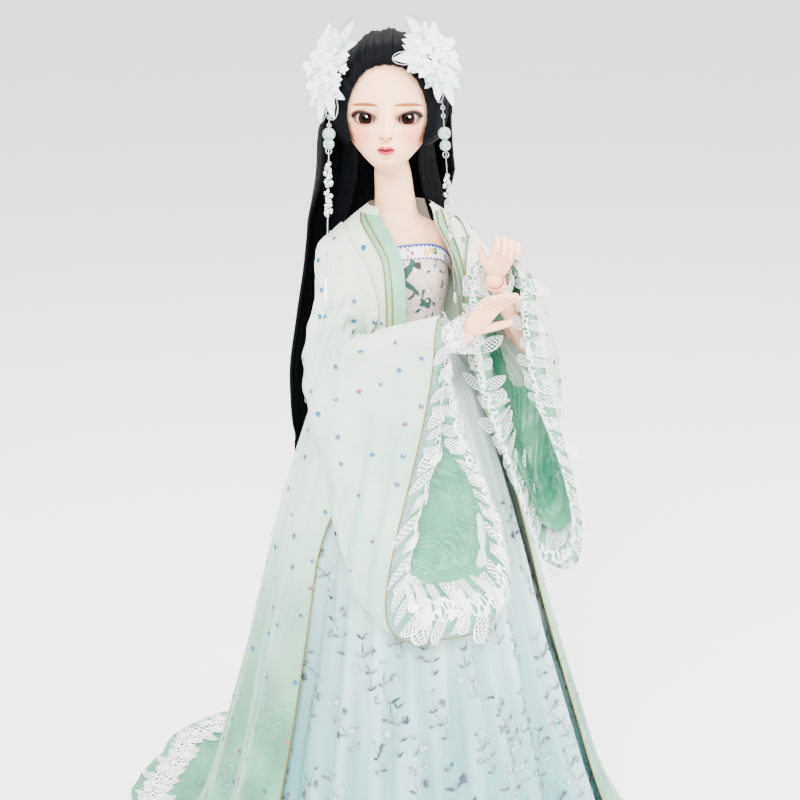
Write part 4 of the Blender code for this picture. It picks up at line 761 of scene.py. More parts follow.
def steel_graph(graph):
    scratches = graph.noise(graph.where(), 900.0, 4.0)
    graph.surface(
        Base_Color=graph.mix(scratches, (0.50, 0.51, 0.53), (0.72, 0.73, 0.75)),
        Metallic=1.0,
        Roughness=0.18 + 0.20 * scratches,
    )


def chiffon_shade(graph, light, deep):
    """Crinkled crepe: painted shade in broad clouds and broad folds, fine upright crinkles and a weave, and
    its bump.
    """
    where = graph.where()
    fabric = graph.cloth_map()
    clouds = graph.noise(where, 9.0, 3.0, 0.55).ramp(0.30, 0.72)
    crinkle = graph.grain(fabric, (620.0, 34.0, 1.0), 4.0, 0.6, 0.6)
    broad = graph.grain(fabric, (120.0, 10.0, 1.0), 3.0, 0.6, 0.4)
    weave = graph.noise(where, 2600.0, 1.0)
    # painted shade: clouds and broad folds darken the tone from light towards deep
    tone = graph.mix(clouds * 0.75 + broad * 0.25, light, deep)
    tone = graph.mix(crinkle.ramp(0.50, 0.80) * 0.45, tone, (0.66, 0.74, 0.68))
    height = crinkle * 0.65 + broad * 0.9 + weave * 0.12
    return tone, height


def gown_chiffon(graph, level, valley):
    """The gown's chiffon, warmer high up and with painted shade where valley says a point lies deep in a
    fold, and its bump.
    """
    deep = colour_of("doll_gown", "chiffon_deep")
    tone, height = chiffon_shade(graph, colour_of("doll_gown", "chiffon"), deep)
    tone = graph.mix(level.ramp(0.33, 0.47) * 0.55, tone, (0.74, 0.70, 0.58))
    # painted shade in the folds' valleys
    return graph.mix(valley, tone, deep), height


def chiffon_graph(graph):
    level = graph.xyz(graph.where())[2]
    # painted shade in the valleys of the sleeve's folds
    tone, height = gown_chiffon(graph, level, graph.fold().ramp(0.40, 0.95) * 0.85)
    graph.surface(
        Base_Color=tone,
        Roughness=0.62 + 0.16 * height,
        **CHIFFON_FINISH,
        Normal=graph.bump(height, 0.34, 0.0007),
    )


def swirls(graph, fabric):
    """Curling raised lines in patches, 1 on a line."""
    swirl = graph.grain(fabric, (62.0, 62.0, 1.0), 0.6, 0.3, 1.4)
    line = abs((swirl * 7.0).part() - 0.5)
    sprig = graph.noise(graph.scaled(fabric, (30.0, 30.0, 1.0), (3.0, 1.0, 0.0)), 1.0, 1.0).ramp(0.46, 0.56)
    return (1 - line.ramp(0.07, 0.17)) * sprig


def robe_graph(graph):
    """Crinkled chiffon that passes into green embossed satin at the train, low down and behind, with painted
    shade in its folds' valleys and in clouds on the satin.
    """
    where = graph.where()
    level = graph.xyz(where)[2] + graph.noise(where, 14.0, 2.0) * 0.06 - 0.03
    low = 1 - level.ramp(0.11, 0.30)
    # painted shade in the valleys of the robe's folds
    tone, height = gown_chiffon(graph, level, graph.fold().ramp(0.35, 1.0) * 0.45)
    raised = swirls(graph, graph.cloth_map())
    # painted shade: clouds darken the satin towards its deep tone
    clouds = graph.noise(where, 26.0, 3.0).ramp(0.3, 0.7)
    green = graph.mix(clouds, colour_of("doll_gown", "satin"), colour_of("doll_gown", "satin_deep"))
    green = graph.mix(raised * 0.28, green, (0.26, 0.50, 0.38))
    graph.surface(
        Base_Color=graph.mix(low * 0.92, tone, green),
        Roughness=0.62 + 0.16 * height - 0.22 * low,
        **CHIFFON_FINISH,
        Normal=graph.bump(height + raised * low * 0.8, 0.34, 0.0007),
    )


def sheer_graph(graph):
    """The unlined strip of the sleeve's mouth, which lets what lies under it show through."""
    tone, height = chiffon_shade(graph, (0.30, 0.48, 0.44), (0.16, 0.34, 0.33))
    graph.surface(
        Base_Color=tone,
        Roughness=0.55 + 0.20 * height,
        Alpha=0.52 + 0.30 * height.ramp(0.4, 1.2),
        Sheen_Weight=0.5,
        Sheen_Roughness=0.3,
        Normal=graph.bump(height, 0.30, 0.0006),
    )


def satin_graph(graph, light=None, deep=None):
    """Embossed satin: curling raised lines over a smooth sheen, painted shade in broad clouds, and a fine
    twill.
    """
    light = light or colour_of("doll_gown", "satin")
    deep = deep or colour_of("doll_gown", "satin_deep")
    fabric = graph.cloth_map()
    where = graph.where()
    raised = swirls(graph, fabric)
    clouds = graph.noise(where, 22.0, 3.0, 0.6).ramp(0.30, 0.72)
    along, across = graph.xyz(fabric)[:2]
    twill = (along * 5200.0 + across * 5200.0).sine()
    # painted shade: broad clouds darken the satin from light towards deep
    tone = graph.mix(clouds, light, deep)
    tone = graph.mix(raised * 0.26, tone, (0.22, 0.50, 0.35))
    graph.surface(
        Base_Color=tone,
        Roughness=0.30 + 0.16 * clouds + 0.10 * raised,
        Sheen_Weight=0.30,
        Sheen_Roughness=0.25,
        Sheen_Tint=(0.80, 1.0, 0.92, 1.0),
        Anisotropic=0.35,
        Normal=graph.bump(raised + twill * 0.05 + clouds * 0.4, 0.5, 0.0006),
    )


def pale_satin_graph(graph):
    satin_graph(graph, (0.20, 0.46, 0.30), (0.10, 0.32, 0.19))


def organza_graph(graph):
    """White organza over aqua: whiter at the waist, aqua and silvery lower down, with painted shade in clouds
    and in the folds' valleys, so that the crests stay whiter.
    """
    where = graph.where()
    fabric = graph.cloth_map()
    height = graph.xyz(where)[2]
    clouds = graph.noise(graph.scaled(where, (1.0, 1.0, 0.45)), 16.0, 3.0, 0.6).ramp(0.28, 0.75)
    threads = graph.grain(fabric, (900.0, 60.0, 1.0), 3.0, 0.6)
    low = 1 - height.ramp(0.02, 0.34)
    # painted shade in clouds, between the aqua and its deep tone
    aqua = graph.mix(clouds, colour_of("doll_gown", "organza"), colour_of("doll_gown", "organza_deep"))
    # painted shade in the folds' valleys
    valley = graph.fold().ramp(0.25, 0.95)
    tone = graph.mix((low * 0.70 + clouds * 0.20), (0.66, 0.76, 0.75), aqua)
    tone = graph.mix(valley * (0.45 + 0.35 * low), tone, colour_of("doll_gown", "organza_deep"))
    tone = graph.mix(threads.ramp(0.55, 0.85) * 0.35, tone, (0.66, 0.74, 0.74))
    graph.surface(
        Base_Color=tone,
        Roughness=0.42 + 0.20 * threads,
        Sheen_Weight=0.7,
        Sheen_Roughness=0.28,
        Coat_Weight=0.08,
        Normal=graph.bump(threads, 0.22, 0.0004),
    )


def lace_graph(graph):
    """Guipure: a web of bars with picots, and leaf and petal motifs with their own grid, all by the map.

    The map's first number tells them apart: below 5 the web, from 5 the leaves, from 15 solid petals."""
    fabric = graph.cloth_map()
    where = graph.where()
    along, across = graph.xyz(fabric)[:2]
    web = graph.cells(graph.scaled(fabric, (290.0, 290.0, 1.0)), 1.0)
    bars = 1 - web.ramp(0.13, 0.17)
    ladder = abs((along / 0.00155).part() - 0.5) > 0.33
    rails = abs((across * 2.2).part() - 0.5) > 0.36
    rim = abs(across) > 0.80
    leaf = ladder.most(rails).most(rim)
    is_leaf = along > 5.0
    is_petal = along > 15.0
    shown = (bars * (1 - is_leaf)).most(leaf * is_leaf).most(is_petal)
    twist = graph.noise(where, 2600.0, 2.0)
    graph.surface(
        Base_Color=graph.mix(twist, (0.82, 0.86, 0.86), (0.97, 0.98, 0.98)),
        Roughness=0.75 + 0.15 * twist,
        Alpha=shown,
        Sheen_Weight=0.3,
        Normal=graph.bump(twist + bars * 0.5, 0.5, 0.0004),
    )


def gold_graph(graph):
    """Twisted metallic cord."""
    fabric = graph.cloth_map()
    along, across = graph.xyz(fabric)[:2]
    twist = (along * 4200.0 + across * 6.2832).sine()
    ply = twist.ramp(-0.8, 0.6)
    graph.surface(
        Base_Color=graph.mix(ply, (0.09, 0.066, 0.012), (0.42, 0.32, 0.07)),
        Metallic=0.75,
        Roughness=0.34 + 0.20 * (1 - ply),
        Normal=graph.bump(ply, 0.7, 0.0003),
    )


def hair_graph(graph):
    """Straight black fibre: streaks that run down the lock, with a blue cast on the crests."""
    fabric = graph.cloth_map()
    streak = graph.grain(fabric, (1500.0, 9.0, 1.0), 4.0, 0.65, 0.2)
    broad = graph.grain(fabric, (260.0, 4.0, 1.0), 3.0, 0.6, 0.3)
    tone = graph.mix(streak.ramp(0.42, 0.80), (0.0003, 0.0005, 0.0008), (0.0020, 0.0038, 0.0060))
    graph.surface(
        Base_Color=tone,
        Roughness=0.42 + 0.25 * broad,
        Specular_IOR_Level=0.05,
        Normal=graph.bump(streak * 0.7 + broad, 0.75, 0.0008),
    )


def sequin_graph(graph):
    """Small cup sequins with a mirror coat whose colour turns from piece to piece."""
    where = graph.where()
    hue = graph.cells(where, 260.0, "F1", "Position")
    turn = graph.noise(hue, 70.0, 1.0)
    stops = [
        (0.20, (0.008, 0.035, 0.11)),
        (0.36, (0.015, 0.20, 0.40)),
        (0.50, (0.07, 0.22, 0.40)),
        (0.62, (0.40, 0.07, 0.22)),
        (0.78, (0.12, 0.05, 0.02)),
    ]
    tone = graph.banded(stops, turn + graph.noise(where, 480.0) * 0.3 - 0.15)
    graph.surface(Base_Color=tone, Metallic=0.9, Roughness=0.15 + 0.25 * turn)


def foil_graph(graph):
    """Silver foil print: bright, dull and dark by patches."""
    where = graph.where()
    patch = graph.noise(where, 130.0, 3.0).ramp(0.35, 0.65)
    graph.surface(
        Base_Color=graph.mix(patch, (0.045, 0.080, 0.105), (0.42, 0.50, 0.52)),
        Metallic=0.55,
        Roughness=0.28 + 0.25 * patch,
        Normal=graph.bump(graph.noise(where, 1400.0), 0.3, 0.0002),
    )


def print_graph(graph):
    """Crinkled pinkish white cloth with blotted teal and dark patches."""
    where = graph.where()
    crinkle = graph.cells(graph.scaled(where, (1.0, 1.0, 0.45)), 420.0)
    patch = graph.noise(where, 62.0, 2.0, 0.5, 0.8)
    dots = graph.cells(where, 105.0, "F1")
    tone = graph.mix(crinkle.ramp(0.0, 0.35), (0.62, 0.47, 0.41), (0.93, 0.79, 0.71))
    tone = graph.mix(patch.ramp(0.585, 0.615), tone, (0.006, 0.060, 0.050))
    tone = graph.mix((dots < 0.26) * patch.ramp(0.50, 0.54), tone, (0.010, 0.006, 0.010))
    tone = graph.mix((1 - patch).ramp(0.62, 0.66) * 0.8, tone, (0.10, 0.20, 0.30))
    graph.surface(
        Base_Color=tone,
        Roughness=0.60 + 0.20 * crinkle,
        Sheen_Weight=0.2,
        Normal=graph.bump(crinkle.ramp(0.0, 0.5), 0.8, 0.0009),
    )


def ribbon_graph(graph):
    """Woven ribbon: zigzag blue edges, and small flowers of several colours on white."""
    fabric = graph.cloth_map()
    along, across = graph.xyz(fabric)[:2]
    tooth = abs((along / 0.0030).part() - 0.5) * 0.0026
    height = size_of("doll_gown", "ribbon_width")
    edge = across.least(height - across)
    zigzag = edge < (tooth + 0.0010)
    gap = edge < (tooth + 0.0016)
    flower = graph.cells(graph.scaled(fabric, (210.0, 210.0, 1.0)), 1.0, "F1")
    kind = graph.node("ShaderNodeSeparateColor", {}, {0: graph.outputs(flower)[1]})
    stops = [
        (0.20, (0.60, 0.02, 0.07)),
        (0.42, (0.015, 0.12, 0.035)),
        (0.60, (0.80, 0.18, 0.24)),
        (0.78, (0.02, 0.07, 0.40)),
        (0.92, (0.80, 0.35, 0.02)),
    ]
    bloom = graph.banded(stops, kind)
    tone = graph.mix(flower < 0.42, (0.82, 0.84, 0.88), bloom)
    tone = graph.mix(flower < 0.13, tone, (0.92, 0.78, 0.30))
    tone = graph.mix(gap, tone, (0.86, 0.88, 0.92))
    tone = graph.mix(zigzag, tone, (0.010, 0.045, 0.26))
    weave = (across * 9000.0).sine() * 0.5 + (along * 9000.0).sine() * 0.5
    graph.surface(Base_Color=tone, Roughness=0.55 + 0.1 * weave, Normal=graph.bump(weave, 0.35, 0.0002))


def petal_graph(graph):
    """Translucent white ornament petals with frosted veins."""
    veins = graph.noise(graph.where(), 420.0, 3.0)
    graph.surface(
        Base_Color=graph.mix(veins, (0.50, 0.64, 0.64), (0.95, 0.97, 0.97)),
        Roughness=0.22 + 0.30 * veins,
        Transmission_Weight=0.18,
        Subsurface_Weight=0.3,
        Subsurface_Scale=0.003,
        Coat_Weight=0.5,
        Coat_Roughness=0.15,
        Normal=graph.bump(veins, 0.4, 0.0004),
    )


def bead_graph(graph):
    """Mint glass with a cloudy heart."""
    cloud = graph.noise(graph.where(), 420.0, 3.0).ramp(0.35, 0.7)
    graph.surface(
        Base_Color=graph.mix(cloud, (0.30, 0.56, 0.48), (0.66, 0.84, 0.80)),
        Roughness=0.06 + 0.10 * cloud,
        Transmission_Weight=0.55,
        IOR=1.45,
        Coat_Weight=1.0,
        Coat_Roughness=0.03,
    )


def wire_graph(graph):
    shade = graph.noise(graph.where(), 600.0, 3.0)
    graph.surface(
        Base_Color=graph.mix(shade, (0.16, 0.22, 0.22), (0.60, 0.66, 0.66)),
        Metallic=0.9,
        Roughness=0.20 + 0.15 * shade,
    )


def pearl_graph(graph):
    shade = graph.noise(graph.where(), 300.0, 2.0)
    graph.surface(
        Base_Color=graph.mix(shade, (0.80, 0.72, 0.64), (0.93, 0.93, 0.90)),
        Roughness=0.15 + 0.1 * shade,
        Coat_Weight=0.8,
        Coat_Roughness=0.06,
    )


def new_object(name, mesh, material):
    obj = bpy.data.objects.new(name, mesh)
    bpy.context.scene.collection.objects.link(obj)
    if material is not None:
        mesh.materials.append(material)
    return obj


def mesh_from(shape, name, smooth=True):
    """Ends a bmesh as a mesh of this name."""
    mesh = bpy.data.meshes.new(name)
    shape.to_mesh(mesh)
    shape.free()
    if smooth:
        mesh.shade_smooth()
    return mesh


def at_point(point):
    """The matrix that moves a shape to a point of the part's frame."""
    return Matrix.Translation(Vector(placed(point)))


def lofted(shape, rings):
    """Closes a bmesh's rings of equal counts of vertices into one skin with flat ends."""
    count = len(rings[0])
    for low, high in zip(rings, rings[1:]):
        for index in range(count):
            following = (index + 1) % count
            shape.faces.new((low[index], low[following], high[following], high[index]))
    shape.faces.new(list(reversed(rings[0])))
    shape.faces.new(rings[-1])
    bmesh.ops.recalc_face_normals(shape, faces=shape.faces)


def mesh_of(name, points, faces, maps=None):
    """A smooth mesh of these points and faces; maps holds one pair for each face corner, in order."""
    mesh = bpy.data.meshes.new(name)
    corners = [tuple(int(index) for index in face) for face in faces]
    mesh.from_pydata(np.asarray(points, float).reshape(-1, 3).tolist(), [], corners)
    if maps is not None:
        layer = mesh.uv_layers.new(name="cloth")
        layer.data.foreach_set("uv", np.asarray(maps, np.float32).ravel())
    mesh.shade_smooth()
    return mesh


def grid_faces(rows, columns, wrap=False):
    row = np.arange(rows - 1)[:, None]
    column = np.arange(columns if wrap else columns - 1)[None, :]
    following = (column + 1) % columns
    first, second = row * columns, (row + 1) * columns
    corners = (first + column, first + following, second + following, second + column)
    shape = (rows - 1, column.shape[1])
    return np.stack([np.broadcast_to(corner, shape) for corner in corners], axis=-1).reshape(-1, 4)


def run_lengths(points, wrap):
    """Mean distance along the columns and down the rows of a grid, from its first."""
    closed = np.concatenate([points, points[:, :1]], axis=1) if wrap else points
    across = np.linalg.norm(np.diff(closed, axis=1), axis=-1).mean(axis=0)
    down = np.linalg.norm(np.diff(points, axis=0), axis=-1).mean(axis=1)
    return np.concatenate([[0.0], np.cumsum(across)]), np.concatenate([[0.0], np.cumsum(down)])


def cloth_object(name, points, material, wrap=False, keep=None, flip=False, depth=None):
    """A sheet through a grid of points of the part's frame, its map in metres.

    keep masks the faces that stay. depth gives each point's place in its fold, 0 on a crest and 1 in a
    valley, as a second map, by which the cloth materials paint shade into the valleys."""
    rows, columns = points.shape[:2]
    across, down = run_lengths(points, wrap)
    faces = grid_faces(rows, columns, wrap)
    width = columns if wrap else columns - 1
    row = np.repeat(np.arange(rows - 1), width)
    column = np.tile(np.arange(width), rows - 1)
    left, right, high, low = across[column], across[column + 1], down[row], down[row + 1]
    maps = np.stack([left, high, right, high, right, low, left, low], axis=-1).reshape(-1, 4, 2)
    if keep is not None:
        chosen = np.asarray(keep).reshape(-1)
        faces, maps = faces[chosen], maps[chosen]
    if flip:
        faces, maps = faces[:, ::-1], maps[:, ::-1]
    mesh = mesh_of(name, placed(points), faces, maps.reshape(-1, 2))
    if depth is not None:
        values = np.asarray(depth, float).reshape(-1)[faces.reshape(-1)]
        layer = mesh.uv_layers.new(name="fold")
        layer.data.foreach_set("uv", np.stack([values, values], axis=-1).astype(np.float32).ravel())
    return new_object(name, mesh, material)


def tube_object(name, path, radius, material, sides=6, closed=False, taper=None):
    """A round cord along a path of the part's frame. Its map runs along it in metres and once round it."""
    path = np.asarray(path, float)
    count = len(path)
    if closed:
        tangent = np.roll(path, -1, axis=0) - np.roll(path, 1, axis=0)
    else:
        following = np.concatenate([path[1:], 2 * path[-1:] - path[-2:-1]])
        tangent = following - np.concatenate([2 * path[:1] - path[1:2], path[:-1]])
    tangent = normalised(tangent)
    side = np.cross(tangent[0], [0.31, 0.17, 0.94])
    rings = []
    radii = np.broadcast_to(radius if taper is None else radius * np.asarray(taper), (count,))
    turn = turns(sides)[:, None]
    for index in range(count):
        side = side - tangent[index] * side.dot(tangent[index])
        side = side / max(np.linalg.norm(side), 1e-9)
        other = np.cross(tangent[index], side)
        rings.append(path[index] + radii[index] * (np.cos(turn) * side + np.sin(turn) * other))
    rings = np.stack(rings)
    if closed:
        rings = np.concatenate([rings, rings[:1]])
    rows = len(rings)
    steps = np.linalg.norm(np.diff(rings.mean(axis=1), axis=0), axis=1)
    along = np.concatenate([[0.0], np.cumsum(steps)])
    faces = grid_faces(rows, sides, True)
    row = np.repeat(np.arange(rows - 1), sides)
    column = np.tile(np.arange(sides), rows - 1)
    near, far = along[row], along[row + 1]
    share, following = column / sides, column / sides + 1 / sides
    maps = np.stack([near, share, near, following, far, following, far, share], axis=-1).reshape(-1, 2)
    faces = [tuple(face) for face in faces]
    if not closed:
        faces.append(tuple(reversed(range(sides))))
        faces.append(tuple((rows - 1) * sides + k for k in range(sides)))
        maps = np.concatenate([maps, np.zeros((2 * sides, 2))])
    mesh = mesh_of(name, placed(rings), faces, maps)
    return new_object(name, mesh, material)


def joined(name, objects):
    """One object out of several meshes of one material."""
    bm = bmesh.new()
    for obj in objects:
        bm.from_mesh(obj.data)
    mesh = mesh_from(bm, name)
    material = objects[0].data.materials[0] if objects[0].data.materials else None
    for obj in objects:
        bpy.data.objects.remove(obj)
    return new_object(name, mesh, material)


def cut_at_heights(obj, heights, names):
    """Splits an object into bands, from the top down, by the height of each face's middle."""
    bands = []
    limits = (math.inf, *heights, -math.inf)
    for name, high, low in zip(names, limits, limits[1:]):
        mesh = obj.data.copy()
        shape = bmesh.new()
        shape.from_mesh(mesh)
        gone = [face for face in shape.faces if not low <= face.calc_center_median().z < high]
        bmesh.ops.delete(shape, geom=gone, context="FACES")
        shape.to_mesh(mesh)
        shape.free()
        bands.append(new_object(f"{obj.name}_{name}", mesh, None))
    bpy.data.objects.remove(obj)
    return bands


def declare(obj, rests_on):
    """Returns the piece as it is."""
    return obj


def resampled(path, count):
    """The path through the same points at even steps, smoothed by a cubic curve."""
    path = np.asarray(path, float)
    steps = np.concatenate([[0.0], np.cumsum(np.linalg.norm(np.diff(path, axis=0), axis=1))])
    return smooth_table(np.linspace(0, steps[-1], count), steps, path)


def sampled(grid, row, column):
    """A point of a grid at fractional rows and columns."""
    rows, columns = grid.shape[:2]
    row = np.clip(np.asarray(row, float), 0, rows - 1.001)
    column = np.clip(np.asarray(column, float), 0, columns - 1.001)
    r, c = row.astype(int), column.astype(int)
    tr, tc = (row - r)[..., None], (column - c)[..., None]
    top = grid[r, c] * (1 - tc) + grid[r, c + 1] * tc
    low = grid[r + 1, c] * (1 - tc) + grid[r + 1, c + 1] * tc
    return top * (1 - tr) + low * tr


def geometry_tree(name, inputs):
    """A Geometry Nodes tree with these inputs beside its geometry. Returns it, its graph and the inputs."""
    tree = bpy.data.node_groups.new(name, "GeometryNodeTree")
    tree.interface.new_socket("Geometry", in_out="INPUT", socket_type="NodeSocketGeometry")
    tree.interface.new_socket("Geometry", in_out="OUTPUT", socket_type="NodeSocketGeometry")
    for label, (kind, value) in inputs.items():
        socket = tree.interface.new_socket(label, in_out="INPUT", socket_type=kind)
        if value is not None:
            socket.default_value = value
    graph = Graph(tree)
    start = graph.node("NodeGroupInput")
    sockets = {socket.name: Signal(graph, socket) for socket in start.socket.node.outputs if socket.name}
    return tree, graph, sockets


def close_tree(graph, geometry, material):
    """Ends the tree in Realize Instances and Set Material."""
    real = graph.node("GeometryNodeRealizeInstances", {}, {"Geometry": geometry})
    painted = graph.node("GeometryNodeSetMaterial", {}, {"Geometry": real, "Material": material})
    out = graph.tree.nodes.new("NodeGroupOutput")
    graph.tree.links.new(painted.socket, out.inputs[0])


def grown(name, base, tree, values):
    """The plain mesh that a tree makes on a base mesh, as a new object at the origin."""
    holder = bpy.data.objects.new(f"{name}_base", base.data)
    bpy.context.scene.collection.objects.link(holder)
    modifier = holder.modifiers.new("Grow", "NODES")
    modifier.node_group = tree
    for item in tree.interface.items_tree:
        if item.item_type == "SOCKET" and item.in_out == "INPUT" and item.name in values:
            modifier[item.identifier] = values[item.name]
    depsgraph = bpy.context.evaluated_depsgraph_get()
    mesh = bpy.data.meshes.new_from_object(holder.evaluated_get(depsgraph), depsgraph=depsgraph)
    bpy.data.objects.remove(holder)
    mesh.name = name
    obj = bpy.data.objects.new(name, mesh)
    bpy.context.scene.collection.objects.link(obj)
    return obj


def scatter_tree(name, material):
    """Puts a small shape on a surface at spaced points, turned to the surface and at random about it."""
    inputs = {
        "Shape": ("NodeSocketObject", None),
        "Spacing": ("NodeSocketFloat", 0.02),
        "Density": ("NodeSocketFloat", 3000.0),
        "Lift": ("NodeSocketFloat", 0.0005),
        "Least Size": ("NodeSocketFloat", 0.7),
        "Most Size": ("NodeSocketFloat", 1.2),
        "Seed": ("NodeSocketInt", 1),
        "Upright": ("NodeSocketFloat", 0.0),
        "Spin": ("NodeSocketFloat", 6.2832),
    }
    tree, graph, given = geometry_tree(name, inputs)

    def chance(least, most, seed):
        values = {2: least, 3: most, "Seed": seed}
        return graph.node("FunctionNodeRandomValue", {"data_type": "FLOAT"}, values, 1)

    points = graph.node(
        "GeometryNodeDistributePointsOnFaces",
        {"distribute_method": "POISSON"},
        {
            "Mesh": given["Geometry"],
            "Distance Min": given["Spacing"],
            "Density Max": given["Density"],
            "Seed": given["Seed"],
        },
    )
    _, normal, rotation = graph.outputs(points)[:3]
    lifted = graph.node("ShaderNodeVectorMath", {"operation": "SCALE"}, {0: normal, "Scale": given["Lift"]})
    moved = graph.node("GeometryNodeSetPosition", {}, {"Geometry": points, "Offset": lifted})
    rotation = graph.node(
        "FunctionNodeAlignRotationToVector",
        {"axis": "Y", "pivot_axis": "Z"},
        {"Rotation": rotation, "Factor": given["Upright"], "Vector": (0.0, 0.0, 1.0)},
    )
    spin = chance(0.0, given["Spin"], 5)
    turn = graph.node("ShaderNodeCombineXYZ", {}, {2: spin})
    spun = graph.node(
        "FunctionNodeRotateRotation",
        {"rotation_space": "LOCAL"},
        {"Rotation": rotation, "Rotate By": graph.node("FunctionNodeEulerToRotation", {}, {0: turn})},
    )
    size = chance(given["Least Size"], given["Most Size"], 9)
    shape = graph.node("GeometryNodeObjectInfo", {}, {"Object": given["Shape"]}, "Geometry")
    placed_shapes = graph.node(
        "GeometryNodeInstanceOnPoints",
        {},
        {"Points": moved, "Instance": shape, "Rotation": spun, "Scale": size},
    )
    close_tree(graph, placed_shapes, material)
    return tree


def scattered(name, base, shape, material, **values):
    tree = scatter_tree(f"{name}_tree", material)
    return grown(name, base, tree, {"Shape": shape, **values})


def repaint(nodes, material):
    """Gives CAD nodes whose shape stays a procedural finish."""
    for name in nodes:
        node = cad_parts[name]
        if not node.material_slots:
            node.data.materials.append(material)
        for material_slot in node.material_slots:
            material_slot.material = material


def chest_outline(angle, level):
    """The chest's x and y, how far the bust swells at this level, and how far an angle faces the front."""
    side = CHEST_HALF_WIDTH * smooth_table(level, CHEST_LEVEL_SHARES, CHEST_SIDE_SHARES)
    depth = CHEST_HALF_DEPTH * smooth_table(level, CHEST_LEVEL_SHARES, CHEST_DEPTH_SHARES)
    swell = BUST_RISE * np.exp(-(((level - 0.55) / 0.22) ** 2))
    x = side * np.sin(angle)
    front = np.clip(np.cos(angle), 0, 1)
    spread = (np.abs(x) / CHEST_HALF_WIDTH - 0.42) / 0.30
    return x, -depth * np.cos(angle) - swell * np.exp(-spread * spread) * front, swell, front


def fine_chest():
    """The chest and neck with their breasts, collar bones and the throat's hollow, at a fine loft."""
    columns, rows = 96, 88
    level = np.linspace(0.0, CHEST_LEVEL_SHARES[-1], rows)[:, None]
    x, y, _, front = chest_outline(turns(columns)[None, :], level)
    lean = smooth_table(level, (0.9, 1.5), (0.0, 1.0))
    height = CHEST_BOTTOM + CHEST_HEIGHT * level
    bone_height = 0.4700 + 0.10 * np.abs(x)
    bone = 0.0011 * np.exp(-(((height - bone_height) / 0.0017) ** 2)) * np.clip(np.abs(x) / 0.004, 0, 1)
    hollow = 0.0014 * bump(x, height, 0.0, 0.4725, 0.0032, 0.0030)
    y = y - (bone - hollow) * front
    x = NECK_TOP[0] * lean + x
    y = WAIST[1] + (NECK_TOP[1] - WAIST[1]) * lean + y
    points = placed(np.stack([x, y, np.broadcast_to(height, x.shape)], -1)).reshape(-1, 3)
    faces = [tuple(face) for face in grid_faces(rows, columns, True)]
    faces.append(tuple(reversed(range(columns))))
    faces.append(tuple((rows - 1) * columns + k for k in range(columns)))
    return mesh_of("chest_skin", points, faces)


